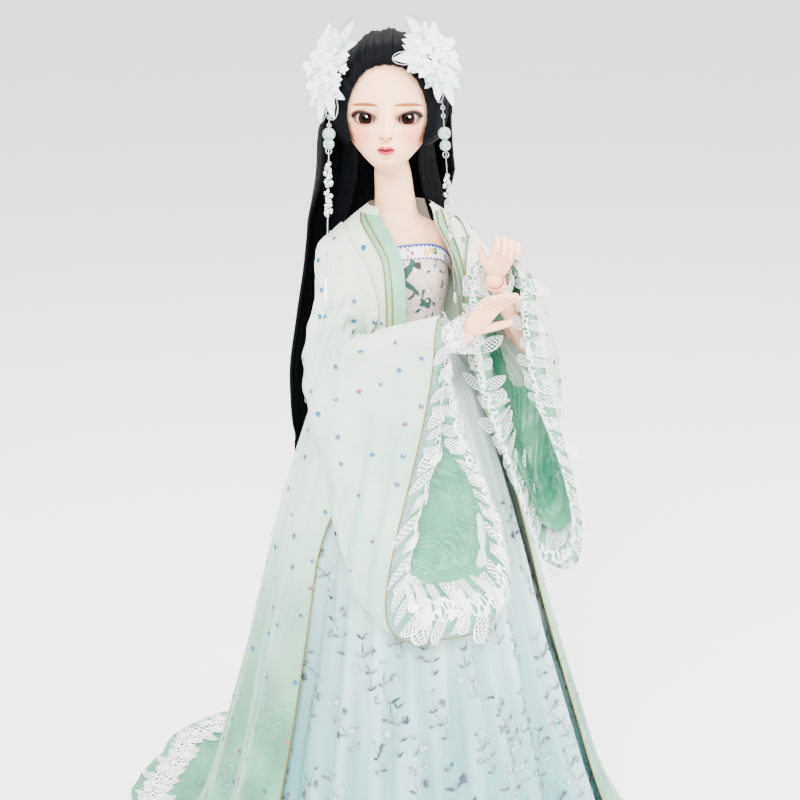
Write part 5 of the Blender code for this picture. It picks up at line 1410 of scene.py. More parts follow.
def hand_cage(side, curl, palm):
    """Palm and five fingers from one cage of quads, knuckles a little thicker than what lies between them."""
    _, _, wrist, tip = arm_points(side)
    forward = unit(tip - wrist)
    thumb_side = side * unit(np.cross(palm, forward))
    inward = unit(palm - forward * np.dot(palm, forward))
    width = PALM_HALF_WIDTH
    bm = bmesh.new()
    grid = []

    def vertex(point):
        return bm.verts.new(Vector(point))

    def bridge(first, second):
        for i in range(4):
            j = (i + 1) % 4
            bm.faces.new((first[i], first[j], second[j], second[i]))

    for level, wide, thick in zip(PALM_LEVEL_SHARES, PALM_WIDTH_SHARES, PALM_THICK_SHARES):
        place = wrist + forward * HAND_LENGTH * level
        row = []
        for line in range(5):
            offset = thumb_side * width * wide * (1 - line / 2)
            arch = width * thick * (1 - 0.25 * abs(1 - line / 2))
            row.append((vertex(place + offset - inward * arch), vertex(place + offset + inward * arch)))
        grid.append(row)
    for low, high in zip(grid, grid[1:]):
        for line in range(4):
            near, far = line, line + 1
            for layer in range(2):
                bm.faces.new((low[near][layer], low[far][layer], high[far][layer], high[near][layer]))
        bm.faces.new((low[4][0], low[4][1], high[4][1], high[4][0]))
    bm.faces.new((grid[1][0][0], grid[1][0][1], grid[2][0][1], grid[2][0][0]))
    for line in range(4):
        bm.faces.new((grid[0][line][0], grid[0][line + 1][0], grid[0][line + 1][1], grid[0][line][1]))
    for finger, reach in enumerate(FINGER_REACH_SHARES):
        near, far = grid[2][finger], grid[2][finger + 1]
        ring = [near[0], far[0], far[1], near[1]]
        middle = sum((np.array(corner.co) for corner in ring), np.zeros(3)) / 4
        direction = unit(forward + thumb_side * 0.06 * (1.5 - finger))
        face = inward
        segment = HAND_LENGTH * (reach - PALM_LEVEL_SHARES[-1]) / FINGER_JOINTS
        place = middle
        for joint in range(FINGER_JOINTS):
            bend = curl * (0.7 if joint == 0 else 1.0) * (1 + 0.10 * (finger - 1.5))
            turn = math.cos(bend), math.sin(bend)
            direction, face = direction * turn[0] + face * turn[1], face * turn[0] - direction * turn[1]
            for share, half_share in ((0.55, 0.96), (1.0, 1.04 if joint < 2 else 0.80)):
                spot = place + direction * segment * share
                half = FINGER_RADIUS * (1.12 - 0.12 * joint) * half_share
                corners = ((1, -1), (-1, -1), (-1, 1), (1, 1))
                following = [vertex(spot + thumb_side * half * a + face * half * b) for a, b in corners]
                bridge(ring, following)
                ring = following
            place = place + direction * segment
        bm.faces.new(ring)
    ring = [grid[1][0][0], grid[0][0][0], grid[0][0][1], grid[1][0][1]]
    base = sum((np.array(corner.co) for corner in ring), np.zeros(3)) / 4
    direction = unit(forward * 0.62 + thumb_side * 0.62 + inward * 0.35)
    spread = unit(thumb_side - direction * direction.dot(thumb_side))
    normal = unit(np.cross(direction, spread))
    if normal.dot(inward) < 0:
        normal = -normal
    for index, reach in enumerate(THUMB_REACH_SHARES):
        place = base + direction * HAND_LENGTH * reach + forward * HAND_LENGTH * 0.05 * index
        half = FINGER_RADIUS * (1.35 - 0.14 * index)
        corners = ((-1, -1), (1, -1), (1, 1), (-1, 1))
        along = [vertex(place + spread * half * a + normal * half * b) for a, b in corners]
        bridge(ring, along)
        ring = along
    bm.faces.new(ring)
    bmesh.ops.recalc_face_normals(bm, faces=bm.faces)
    if bm.calc_volume(signed=True) < 0:
        bmesh.ops.reverse_faces(bm, faces=bm.faces)
    bmesh.ops.translate(bm, verts=bm.verts, vec=Vector(SHIFT))
    return bm


def baked(obj):
    """Applies the object's modifiers, so that its mesh is plain."""
    depsgraph = bpy.context.evaluated_depsgraph_get()
    mesh = bpy.data.meshes.new_from_object(obj.evaluated_get(depsgraph), depsgraph=depsgraph)
    obj.modifiers.clear()
    obj.data = mesh
    return obj


def fine_hand(side, label, curl, palm):
    name = f"hand_skin_{label}"
    mesh = mesh_from(hand_cage(side, curl, palm), name, smooth=False)
    hand = new_object(name, mesh, finish_of("matt_resin"))
    smooth = hand.modifiers.new("Round", "SUBSURF")
    smooth.levels = smooth.render_levels = 3
    baked(hand)
    _, _, wrist, _ = arm_points(side)
    bm = bmesh.new()
    bm.from_mesh(hand.data)
    place = at_point(wrist)
    bmesh.ops.create_uvsphere(bm, u_segments=40, v_segments=24, radius=WRIST_BALL, matrix=place)
    bm.to_mesh(hand.data)
    bm.free()
    hand.data.shade_smooth()
    return hand


EYE_MIDDLE = (0.0144, -0.0044)
EYE_HALF = (0.0067, 0.0038)
EYEBALL_FORWARD = 0.0020
EYEBALL_GROW = 0.0004


def eye_share(x, z):
    """How far a point of the face is from the middle of its side's eye opening: 1 on the almond's rim."""
    along = (np.abs(x) - EYE_MIDDLE[0]) / EYE_HALF[0]
    rim = EYE_HALF[1] * np.where(z > EYE_MIDDLE[1] - 0.0006 * along, 1.0, 0.92)
    lift = z - (EYE_MIDDLE[1] + 0.0004 * along)
    return np.sqrt(np.abs(along) ** 2.3 + (np.abs(lift) / rim) ** 2)


JAW_HEIGHTS = (-0.050, -0.040, -0.030, -0.021, -0.013, -0.007, 0.0)
JAW_WIDTH_SHARES = (0.70, 0.75, 0.84, 0.93, 0.975, 0.99, 1.0)


# The face's small relief on each side or on the middle line: height, x, z, width and tallness
PAIRED_RELIEF = {
    "upper lip's bows": (0.0008, 0.0020, -0.0226, 0.0022, 0.0013),
    "nose's wings": (0.0010, 0.0036, -0.0158, 0.0016, 0.0022),
    "nostrils": (-0.0012, 0.0021, -0.0182, 0.0011, 0.0009),
}
MIDDLE_RELIEF = {
    "lower lip": (0.0012, 0, -0.0268, 0.0036, 0.0015),
    "mouth's line": (-0.0013, 0, -0.0245, 0.0050, 0.0006),
    "groove under the nose": (-0.0005, 0, -0.0200, 0.0010, 0.0014),
}


def face_points(azimuth, elevation):
    """The head's skin with its fine relief: a tapered jaw, lids, wings of the nose and lips."""
    points = head_surface(azimuth, elevation)
    narrow = smooth_table(points[..., 2], JAW_HEIGHTS, JAW_WIDTH_SHARES)
    ahead = np.clip((0.014 - points[..., 1]) / 0.022, 0, 1)
    points[..., 0] *= 1 - (1 - narrow) * ahead * ahead * (3 - 2 * ahead)
    x, z = points[..., 0], points[..., 2]
    front = np.clip(-points[..., 1] / HEAD_HALF_DEPTH * 1.5, 0, 1)
    side = np.abs(x)
    relief = sum(height * bump(side, z, *shape) for height, *shape in PAIRED_RELIEF.values())
    relief += sum(height * bump(x, z, *shape) for height, *shape in MIDDLE_RELIEF.values())
    share = eye_share(x, z)
    above = np.clip((z - EYE_MIDDLE[1]) / 0.002, 0, 1)
    relief += 0.0011 * np.exp(-(((share - 1.12) / 0.16) ** 2)) * above
    relief -= 0.0007 * np.exp(-(((share - 1.55) / 0.13) ** 2)) * above
    relief += 0.0006 * np.exp(-(((share - 1.15) / 0.18) ** 2)) * (1 - above)
    points[..., 1] -= relief * front
    return points


# Soft patches of blush and of painted shade, in the order of painting: x, z, half width, half height,
# strength and colour
BLUSH_AND_SHADE_PATCHES = (
    (0.0200, -0.0150, 0.0125, 0.0110, 0.50, "cheek"),
    (0.0, -0.0172, 0.0050, 0.0026, 0.35, "cheek"),
    (0.0, -0.0360, 0.0070, 0.0040, 0.20, "cheek"),
    # painted shade beside the bridge of the nose
    (0.0062, -0.0020, 0.0024, 0.0090, 0.30, (0.62, 0.25, 0.12)),
    # painted shade under the nose
    (0.0, -0.0192, 0.0042, 0.0018, 0.40, (0.58, 0.20, 0.10)),
    # painted shade in the nostrils
    (0.0030, -0.0166, 0.0016, 0.0008, 0.75, (0.22, 0.03, 0.015)),
    # painted shade in the groove under the lower lip
    (0.0, -0.0302, 0.0040, 0.0016, 0.30, (0.60, 0.22, 0.12)),
)


def face_graph(graph):
    """Matt resin skin with the painted face: brows, lids, the lashes' line, blush, lips, and painted shade
    beside and under the nose, in the nostrils and under the lower lip.
    """
    where = graph.where()
    local = graph.in_head()
    x, y, z = graph.xyz(local)
    front = (0 - y).ramp(0.004, 0.014)
    side = abs(x)
    skin, blush = colour_of("doll_body", "skin"), colour_of("doll_body", "blush")
    mottle = graph.noise(where, 60.0, 3.0)
    tone = graph.mix(mottle.ramp(0.35, 0.75) * 0.25, skin, blush)

    def patch(at_x, at_z, wide, high):
        across = (side - at_x) / wide
        up = (z - at_z) / high
        return (1 - (across * across + up * up)).ramp(0.0, 1.0) * front

    # Blush, then painted shade beside and under the nose, in the nostrils and under the lower lip
    for *shape, strength, colour in BLUSH_AND_SHADE_PATCHES:
        paint = colour_of("doll_body", colour) if isinstance(colour, str) else colour
        tone = graph.paint(patch(*shape) * strength, tone, paint)
    across = (side - EYE_MIDDLE[0]) / EYE_HALF[0]
    lift = z - EYE_MIDDLE[1] - across * 0.0004
    share = (across * across + (lift / EYE_HALF[1]) ** 2.0) ** 0.5
    above = lift.ramp(-0.0012, 0.0016)
    outer = across.ramp(-0.6, 1.0)
    shadow = (1 - share.ramp(1.0, 1.85)) * (0.30 + 0.70 * above) * (0.35 + 0.65 * outer)
    tone = graph.paint(shadow * 0.62 * front, tone, (0.24, 0.045, 0.018))
    crease = (1 - (abs(share - 1.52)).ramp(0.02, 0.09)) * above * lift.ramp(0.0020, 0.0040)
    tone = graph.paint(crease * (0.25 + 0.45 * outer) * front, tone, (0.13, 0.022, 0.010))
    wide = 0.22 + 0.12 * above + 0.16 * outer * above
    liner = (1 - (abs(share - 1.05) / wide).ramp(0.5, 1.0)) * (0.42 + 0.58 * above) * (0.55 + 0.45 * outer)
    tone = graph.paint(liner * 0.96 * front, tone, (0.010, 0.003, 0.002))
    inner = patch(0.0086, -0.0058, 0.0016, 0.0014)
    tone = graph.paint(inner * 0.6, tone, (0.50, 0.08, 0.06))
    brow_share = (side - 0.0144) / 0.0094
    arch = 0.0042 + 0.0006 * (1 - brow_share * brow_share)
    taper = (1 - (abs(brow_share) ** 3.0)).most(0.0)
    hairs = graph.grain(local, (700.0, 1.0, 2600.0), 2.0)
    brow = (1 - (abs(z - arch) / (0.0017 * taper + 0.00005)).ramp(0.20, 1.0)) * (taper > 0.02)
    tone = graph.paint(brow * (0.60 + 0.35 * hairs) * front, tone, colour_of("doll_body", "brow"))
    mouth_share = x / 0.0058
    full = (1 - mouth_share * mouth_share).most(0.0)
    bow = 0.0030 * full ** 0.75 - 0.0013 * (1 - (side / 0.0016).ramp(0.0, 1.0))
    rise = z + 0.0245
    upper = (1 - (rise / (bow + 0.00005)).ramp(0.70, 1.05)) * (rise > 0.0)
    lower = (1 - ((0 - rise) / (0.0036 * full ** 0.6 + 0.00005)).ramp(0.55, 1.05)) * (rise < 0.0)
    lips = (upper + lower) * (full > 0.01) * front
    tone = graph.paint(lips * 0.92, tone, colour_of("doll_body", "lip"))
    dip = rise + 0.0006 * (1 - (side / 0.0022).ramp(0.0, 1.0)) - 0.0002
    seam = (1 - (abs(dip) / 0.0011).ramp(0.1, 1.0)) * full ** 0.5 * front
    tone = graph.paint(seam * 0.90, tone, (0.06, 0.001, 0.003))
    graph.surface(
        Base_Color=tone,
        Roughness=0.45 - 0.12 * lips + 0.08 * mottle,
        Specular_IOR_Level=0.22,
        Subsurface_Weight=0.05,
        Subsurface_Scale=0.003,
        **RESIN_GLOW,
        Normal=graph.bump(graph.noise(where, 1500.0, 2.0), 0.10, 0.00008),
    )


IRIS_MIDDLE = (0.0142, -0.0042)


def eye_graph(graph):
    """Glass eye: white, a limbal ring, a rayed iris lighter below, the pupil and a clear dome, with painted
    shade in the white's corners, a painted shadow of the upper lid over its top and a painted highlight on
    the iris.
    """
    x, _, z = graph.xyz(graph.in_head())
    across = abs(x) - IRIS_MIDDLE[0]
    up = z - IRIS_MIDDLE[1]
    distance = (across * across + up * up) ** 0.5
    radius = size_of("doll_body", "iris_radius")
    reach = distance + 0.0002
    ray_point = graph.node("ShaderNodeCombineXYZ", {}, {0: across / reach, 1: up / reach})
    rays = graph.grain(ray_point, (9.0, 9.0, 1.0), 3.0)
    lower = (0 - up).ramp(-0.0030, 0.0038)
    iris = graph.mix(rays.ramp(0.35, 0.70), (0.0040, 0.0011, 0.0007), (0.019, 0.0045, 0.0026))
    iris = graph.mix(lower * 0.55, iris, (0.042, 0.0095, 0.0050))
    share = distance / radius
    iris = graph.mix((1 - share.ramp(0.42, 0.55)), iris, (0.0006, 0.0004, 0.0004))
    iris = graph.mix(share.ramp(0.80, 0.96) * 0.9, iris, (0.0020, 0.0008, 0.0006))
    veins = graph.noise(graph.where(), 300.0, 3.0)
    white = graph.mix(veins.ramp(0.4, 0.8) * 0.3, (0.50, 0.44, 0.40), (0.40, 0.29, 0.25))
    # painted shade: the white darkens towards both corners
    corner = (across * across / (0.0062 * 0.0062)).ramp(0.35, 1.0)
    white = graph.paint(corner * 0.55, white, (0.16, 0.065, 0.045))
    tone = graph.mix(share.ramp(0.96, 1.04), iris, white)
    # painted shadow of the upper lid and lashes over the top of the eye
    tone = graph.paint(up.ramp(0.0014, 0.0038) * 0.80, tone, (0.010, 0.004, 0.003))
    # painted highlight: a small white catch-light on each iris
    glint_up = up - 0.0012
    offset = across * (((x > 0.0) * 2.0) - 1.0)
    spark = ((offset - 0.0010) * (offset - 0.0010) + glint_up * glint_up) ** 0.5
    tone = graph.mix(1 - spark.ramp(0.0005, 0.0009), tone, (0.95, 0.95, 0.95))
    graph.surface(
        Base_Color=tone,
        Roughness=0.08 + 0.06 * veins,
        Specular_IOR_Level=0.04,
    )


def almond_cut(points):
    """Moves the skin's points near each eye opening on to its rim. Returns them and which faces stay."""
    x, z = points[..., 0], points[..., 2]
    front = points[..., 1] < -HEAD_HALF_DEPTH * 0.35
    share = np.where(front, eye_share(x, z), 9.0)
    following = np.roll(share, -1, axis=1)
    corners = np.stack([share[:-1], following[:-1], following[1:], share[1:]])
    gone = corners.mean(axis=0) < 1.0
    edge = np.zeros(share.shape, bool)
    kept = np.zeros(share.shape, bool)
    for row, column in ((0, 0), (0, 1), (1, 1), (1, 0)):
        rows = slice(row, row + gone.shape[0])
        edge[rows] |= np.roll(gone, column, axis=1)
        kept[rows] |= np.roll(~gone, column, axis=1)
    rim = edge & kept
    middle_x = np.sign(x) * EYE_MIDDLE[0]
    scale = 1 / np.maximum(share, 0.2)
    moved = points.copy()
    moved[..., 0] = np.where(rim, middle_x + (x - middle_x) * scale, x)
    moved[..., 2] = np.where(rim, EYE_MIDDLE[1] + (z - EYE_MIDDLE[1]) * scale, z)
    return moved, ~gone


LID_INSET_SHARE = 0.97
LID_DEPTH = 0.0042


def make_face():
    """The head's skin as a fine grid with two eye openings, whose lids turn inwards."""
    columns, rows = 240, 210
    turn = np.linspace(-1, 1, columns + 1)[:-1]
    azimuth = (np.sign(turn) * np.abs(turn) ** 1.7 * math.pi)[None, :]
    pole = math.pi / 2 * 0.995
    elevation = np.linspace(-pole, pole, rows)[:, None]
    azimuth, elevation = np.broadcast_arrays(azimuth, elevation)
    points = face_points(azimuth, elevation)
    points, stay = almond_cut(points)
    faces = grid_faces(rows, columns, True)[stay.reshape(-1)]
    bm = bmesh.new()
    vertices = [bm.verts.new(Vector(point)) for point in points.reshape(-1, 3)]
    for face in faces:
        bm.faces.new([vertices[index] for index in face])
    bm.faces.new([vertices[index] for index in reversed(range(columns))])
    bm.faces.new([vertices[(rows - 1) * columns + index] for index in range(columns)])
    for vertex in [v for v in bm.verts if not v.link_faces]:
        bm.verts.remove(vertex)
    rim = [edge for edge in bm.edges if edge.is_boundary]
    inner = bmesh.ops.extrude_edge_only(bm, edges=rim)["geom"]
    for vertex in (item for item in inner if isinstance(item, bmesh.types.BMVert)):
        side = math.copysign(EYE_MIDDLE[0], vertex.co.x)
        vertex.co.x = side + (vertex.co.x - side) * LID_INSET_SHARE
        vertex.co.y += LID_DEPTH
    bmesh.ops.recalc_face_normals(bm, faces=bm.faces)
    bmesh.ops.transform(bm, matrix=head_matrix(), verts=bm.verts)
    return new_object("face_skin", mesh_from(bm, "face_skin"), finish_of("painted_face"))


def make_eye(side, label):
    name = f"glass_eye_{label}"
    bm = bmesh.new()
    centre = (side * EYE_SPREAD, -EYE_DEPTH - EYEBALL_FORWARD, EYE_LEVEL)
    bmesh.ops.create_uvsphere(bm, u_segments=64, v_segments=40, radius=EYE_RADIUS + EYEBALL_GROW)
    bmesh.ops.transform(bm, matrix=head_matrix() @ Matrix.Translation(centre), verts=bm.verts)
    return new_object(name, mesh_from(bm, name), finish_of("painted_eye"))


LASH_COUNT = 34
LASH_HALF_WIDTH = 0.00007


def make_lashes(side, label):
    """A row of thin curved lashes along the upper lid, longer towards the outer corner."""
    points, faces = [], []
    for index in range(LASH_COUNT):
        share = index / (LASH_COUNT - 1)
        along = -0.75 + 1.70 * share
        x = EYE_MIDDLE[0] + EYE_HALF[0] * along
        lift = EYE_HALF[1] * math.sqrt(max(0.0, 1 - min(1.0, abs(along)) ** 2.3))
        z = EYE_MIDDLE[1] + 0.0009 * along + lift
        y = -0.0316 + 0.0052 * share**1.4 + 0.0004
        length = 0.0012 + 0.0030 * share**1.3
        out = np.array([0.25 + 0.75 * share, -0.75 + 0.2 * share, 0.35])
        base = len(points)
        for step in range(4):
            t = step / 3
            spot = np.array([x, y, z]) + unit(out) * length * t + np.array([0, 0, 0.35 * length * t * t])
            wide = LASH_HALF_WIDTH * (1 - t * 0.9)
            for sign in (-1, 1):
                points.append([spot[0] + sign * wide, spot[1], spot[2] + sign * wide])
        for step in range(3):
            a = base + 2 * step
            faces.append((a, a + 1, a + 3, a + 2))
    points = placed(to_part(np.array(points) * [side, 1, 1]))
    mesh = mesh_of(f"lashes_{label}", points, faces)
    return new_object(f"lashes_{label}", mesh, finish_of("lash_fibre"))


def lash_graph(graph):
    shade = graph.noise(graph.where(), 900.0, 2.0)
    tone = graph.mix(shade, (0.0010, 0.0006, 0.0005), (0.006, 0.003, 0.002))
    graph.surface(Base_Color=tone, Roughness=0.5 + 0.2 * shade)


PLEAT_DEPTH = 0.0017


def fine_folds(theta, z, depth):
    """Small pleats between the gown's main folds, which wander a little and fade to the waist."""
    z = np.asarray(z, float)
    fade = np.clip((0.43 - z) / 0.30, 0, 1)
    wander = 0.5 * np.sin(z * 23.0 + 2.0 * theta)
    first = np.sin(31 * theta + 1.7 * wander + 0.4)
    second = np.sin(53 * theta - 2.2 * wander + 1.1)
    third = np.sin(19 * theta + 3.0 * wander)
    return depth * fade * (0.5 * first + 0.25 * second + 0.35 * third)


def robe_depth(points):
    """How deep each point of the robe lies in its folds, 0 to 1, for the shade painted in its valleys."""
    shift_x, shift_y = axis_shift(points[..., 2])
    theta = np.arctan2(points[..., 0] - shift_x, -(points[..., 1] - shift_y))
    large = folds(theta, points[..., 2]) / FOLD_DEPTH
    small = fine_folds(theta, points[..., 2], 1.0)
    return np.clip(0.5 - 0.55 * large - 0.45 * small, 0, 1)


def fine_robe(across, drop):
    """A point of the robe with its small pleats."""
    def radius_of(theta, radius, z):
        return radius + fine_folds(theta, z, PLEAT_DEPTH)

    return about_axis(robe_point(across, drop), radius_of)


ROBE_MOTION = ("hips_and_gown", "chest", (0.0, 0.0, 0.36), (0.0, 0.0, 0.42))


def move_with(obj, motion):
    """motion is a body's name, to whose empty the piece is parented, or the two bodies and two points of a
    blend, which are not used: the piece's transform is then only baked.
    """
    if isinstance(motion, str):
        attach(obj, motion)
    else:
        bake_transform(obj)
    return obj


def sequin_shape():
    bm = bmesh.new()
    radius = size_of("doll_gown", "sequin_radius")
    rim = [bm.verts.new((radius * math.cos(angle), radius * math.sin(angle), 0.0)) for angle in turns(9)]
    centre = bm.verts.new((0, 0, radius * 0.28))
    for i in range(9):
        bm.faces.new((centre, rim[i], rim[(i + 1) % 9]))
    return bpy.data.objects.new("sequin_shape", mesh_from(bm, "sequin_shape", smooth=False))


def sprinkle(name, base, motion, seed, spacing_share=1.0):
    """Sequins sewn on one piece of the gown, given the same motion as it."""
    shape = sequin_shape()
    spacing = size_of("doll_gown", "sequin_spacing") * spacing_share
    values = {"Spacing": spacing, "Density": 1.1 / spacing**2, "Lift": SEQUIN_LIFT, "Seed": seed}
    obj = scattered(name, base, shape, finish_of("sequin"), **values)
    return move_with(obj, motion)


TRAIN_ACROSS = (0.24, 0.80)
TRAIN_LACE_DROPS = (0.935, 0.995)
TRAIN_SATIN_DROPS = (0.80, 0.965)


def make_robe():
    columns, rows = 300, 150
    across = np.linspace(0, 1, columns)[None, :]
    drop = (np.linspace(0.0, 1.0, rows) ** 1.25)[:, None]
    points = fine_robe(across, drop)
    middle = 0.25 * (points[:-1, :-1] + points[1:, :-1] + points[1:, 1:] + points[:-1, 1:])
    keep = np.ones(middle.shape[:2], bool)
    for side, _ in ARMS:
        centre = mirrored(ARMHOLE_CENTRE, side)
        y, z = middle[..., 1] - centre[1], middle[..., 2] - centre[2]
        along = y * math.sin(ARMHOLE_TILT) + z * math.cos(ARMHOLE_TILT)
        over = -y * math.cos(ARMHOLE_TILT) + z * math.sin(ARMHOLE_TILT)
        high, deep = ARMHOLE_HALF_HEIGHT - 0.001, ARMHOLE_HALF_DEPTH - 0.001
        inside = (along / high) ** 2 + (over / deep) ** 2 < 1
        keep &= ~(inside & (middle[..., 0] * side > 0.02))
    chiffon = finish_of("robe_cloth")
    robe = cloth_object("robe_chiffon", points, chiffon, keep=keep, depth=robe_depth(points))
    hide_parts("robe")
    declare(robe, ["chest_skin", "skirt_organza"])
    sprinkle("robe_sequins", robe, ROBE_MOTION, 3, 1.15)
    move_with(robe, ROBE_MOTION)
    gold = finish_of("gold_cord")
    radius = size_of("doll_gown", "cord_radius")
    for edge, label in ((0.0, "right"), (1.0, "left")):
        path = fine_robe(np.full(160, edge), np.linspace(0.12, 1.0, 160))
        cord = tube_object(f"robe_cord_{label}", path, radius, gold)
        move_with(cord, ROBE_MOTION)
    hem_across = np.linspace(*TRAIN_ACROSS, 260)[None, :]
    band = fine_robe(hem_across, np.linspace(*TRAIN_LACE_DROPS, 6)[:, None])
    band = band + lifted_by(band, 0.0016)
    satin_band = fine_robe(hem_across, np.linspace(*TRAIN_SATIN_DROPS, 14)[:, None])
    satin_band = satin_band + lifted_by(satin_band, 0.0009)
    train = cloth_object("train_satin", satin_band, finish_of("embossed_satin"))
    declare(train, ["robe_chiffon"])
    move_with(train, "hips_and_gown")
    lace = lace_band("train_lace", band, TRAIN_LACE_WIDTH)
    declare(lace, ["robe_chiffon", "train_satin"])
    move_with(lace, "hips_and_gown")


def lifted_by(points, distance, outward=None):
    """Offsets along a grid's normals, on the side that faces outward, or else away from the doll's axis."""
    normal = grid_normals(points)
    if outward is None:
        outward = points.copy()
        outward[..., 2] = 0.05
    flip = np.sign((normal * outward).sum(axis=-1, keepdims=True))
    return normal * np.where(flip == 0, 1, flip) * distance


TRAIN_LACE_WIDTH = 0.030
LEAF_LONG = 0.0125
LEAF_WIDE = 0.0038
FLOWER_RADIUS = 0.0042


def lace_band(name, grid, width, edges=(-1, 1), pitch=0.0135, net=True):
    """A guipure band over a grid of rows across it and columns along it: a web with leaves and flowers.

    The motifs lie on the grid's own surface and stand past its edges, so the band follows every fold."""
    rows, columns = grid.shape[:2]
    lengths = np.linalg.norm(np.diff(grid[rows // 2], axis=0), axis=1)
    along = np.concatenate([[0.0], np.cumsum(lengths)])
    points, faces, maps = [], [], []

    def surface(u, v, lift):
        column = np.interp(u, along, np.arange(columns))
        row = (np.asarray(v, float) + 0.5) * (rows - 1)
        inside = np.clip(row, 0, rows - 1)
        spot = sampled(grid, inside, column)
        beyond = (row - inside)[..., None]
        if np.any(beyond != 0):
            inner = sampled(grid, np.where(row > inside, rows - 2.0, 1.0), column)
            spot = spot + (spot - inner) * np.abs(beyond)
        after, before = np.clip(column + 1, 0, columns - 1.01), np.clip(column - 1, 0, columns)
        below, above = np.clip(inside + 1, 0, rows - 1.01), np.clip(inside - 1, 0, rows)
        step_u = sampled(grid, inside, after) - sampled(grid, inside, before)
        step_v = sampled(grid, below, column) - sampled(grid, above, column)
        return spot + normalised(np.cross(step_u, step_v)) * lift

    if net:
        count = max(24, int(along[-1] / 0.0022))
        u = np.linspace(0, along[-1], count)
        scallop = 0.5 + 0.10 * np.sin(u * 2 * math.pi / pitch)
        v = np.linspace(-0.32, 0.32, 6)[:, None] * (scallop / 0.5)[None, :]
        strip = surface(np.broadcast_to(u, v.shape), v, 0.0)
        base = len(points)
        points.extend(strip.reshape(-1, 3))
        for face in grid_faces(6, count):
            faces.append(tuple(face + base))
            for index in face:
                row, column = divmod(index, count)
                maps.append((u[column], v[row, column] * width))

    def motif(shape, shape_faces, shape_maps, u, v, angle, size, lift):
        turned_x = shape[:, 0] * math.cos(angle) - shape[:, 1] * math.sin(angle)
        turned_y = shape[:, 0] * math.sin(angle) + shape[:, 1] * math.cos(angle)
        spots = surface(u + turned_x * size, v + turned_y * size / width, lift + shape[:, 2][:, None] * size)
        base = len(points)
        points.extend(spots)
        for face in shape_faces:
            faces.append(tuple(index + base for index in face))
            maps.extend(shape_maps[index] for index in face)

    leaf = leaf_shape(LEAF_LONG, LEAF_WIDE, 5.5)
    petal = leaf_shape(FLOWER_RADIUS, FLOWER_RADIUS * 0.42, 16.0)
    steps = max(2, int(along[-1] / pitch))
    for index in range(steps):
        u = (index + 0.5) * along[-1] / steps
        for edge in edges:
            size = 1.0 + 0.25 * math.sin(index * 2.4 + edge)
            lean = 0.95 if (index % 2) else 0.55
            motif(*leaf, u, edge * 0.16, edge * lean, size, 0.0006)
            if index % 2 == 0:
                motif(*leaf, u + pitch * 0.4, edge * 0.10, math.pi - edge * 0.8, size * 0.8, 0.0009)
        if index % 2 == 0:
            offset = 0.20 * math.sin(index * 1.7)
            for turn in range(5):
                motif(*petal, u + pitch * 0.5, offset, turn * 2 * math.pi / 5 + index, 1.0, 0.0013)
    mesh = mesh_of(name, placed(np.array(points)), faces, np.array(maps))
    obj = new_object(name, mesh, finish_of("guipure_lace"))
    return obj


def leaf_shape(length, half, mark):
    """A pointed leaf from the origin along x: points, faces and its map, which starts at mark."""
    shares = (0.0, 0.10, 0.28, 0.50, 0.72, 0.90, 1.0)
    widths = (0.10, 0.55, 0.92, 1.0, 0.78, 0.40, 0.04)
    points, maps = [], []
    for share, wide in zip(shares, widths):
        for across in (-1.0, -0.5, 0.0, 0.5, 1.0):
            points.append((length * share, half * wide * across, 0.0006 * (1 - across * across)))
            maps.append((mark + length * share, across))
    return np.array(points), [tuple(face) for face in grid_faces(len(shares), 5)], maps


def make_skirts():
    pieces = {}
    for name, inset, columns, rows, material, folded in (
        ("underskirt_satin", UNDERSKIRT_INSET, 160, 60, finish_of("underskirt_satin"), 0.0),
        ("skirt_organza", LAYER_GAP, 420, 120, finish_of("silvered_organza"), 1.0),
    ):
        theta = turns(columns)[None, :]
        outer = name == "skirt_organza"
        low = CLOTH if outer else CLOTH * 3
        top = SKIRT_TOP if outer else SKIRT_TOP - CLOTH
        z = (top - (top - low) * (np.arange(rows + 1) / rows) ** 1.1)[:, None]
        small = 0.5 + 0.5 * np.clip(fine_folds(theta, z, 1.35), -1, 1)
        wide = 0.5 + 0.5 * np.sin(11 * theta + 1.3 * np.sin(z * 17) + 0.5)
        reach = np.clip((0.42 - z) / 0.16, 0, 1)
        tuck = reach * (0.0052 * (1 - small) ** 1.4 + 0.0042 * wide**1.6) if outer else 0.0042 * reach
        radius = bell(theta, z) + folded * folds(theta, z) - tuck - inset
        waist = np.hypot(WAIST_HALF_WIDTH * np.sin(theta), WAIST_HALF_DEPTH * np.cos(theta))
        waist = waist - (0.0 if outer else CLOTH + CLEARANCE * 1.6)
        share = eased(np.clip((z - WAIST_START) / (top - WAIST_START), 0, 1))
        gathers = 0.0007 * np.sin(64 * theta) * share
        radius = np.minimum(radius, radius * (1 - share) + waist * share) + gathers
        points = around(theta, radius, np.broadcast_to(z, radius.shape))
        points[..., 1] += WAIST[1] * share
        # How deep each point lies in the folds, for the shade that the organza paints in the valleys
        main = folds(theta, z) / FOLD_DEPTH
        depth = np.clip(0.30 - 0.35 * main + 0.45 * (1 - small) * reach + 0.40 * wide * reach, 0, 1)
        depth = np.broadcast_to(depth, points.shape[:2])
        obj = cloth_object(name, points, material, wrap=True, flip=True, depth=depth)
        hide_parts("skirt" if outer else "underskirt")
        declare(obj, ["chest_skin"])
        pieces[name] = (obj, points)
    skirt, points = pieces["skirt_organza"]
    scatter_sprigs(skirt, points)
    for obj, _ in pieces.values():
        move_with(obj, ROBE_MOTION)


def underskirt_graph(graph):
    satin_graph(graph, (0.12, 0.36, 0.33), (0.05, 0.22, 0.20))


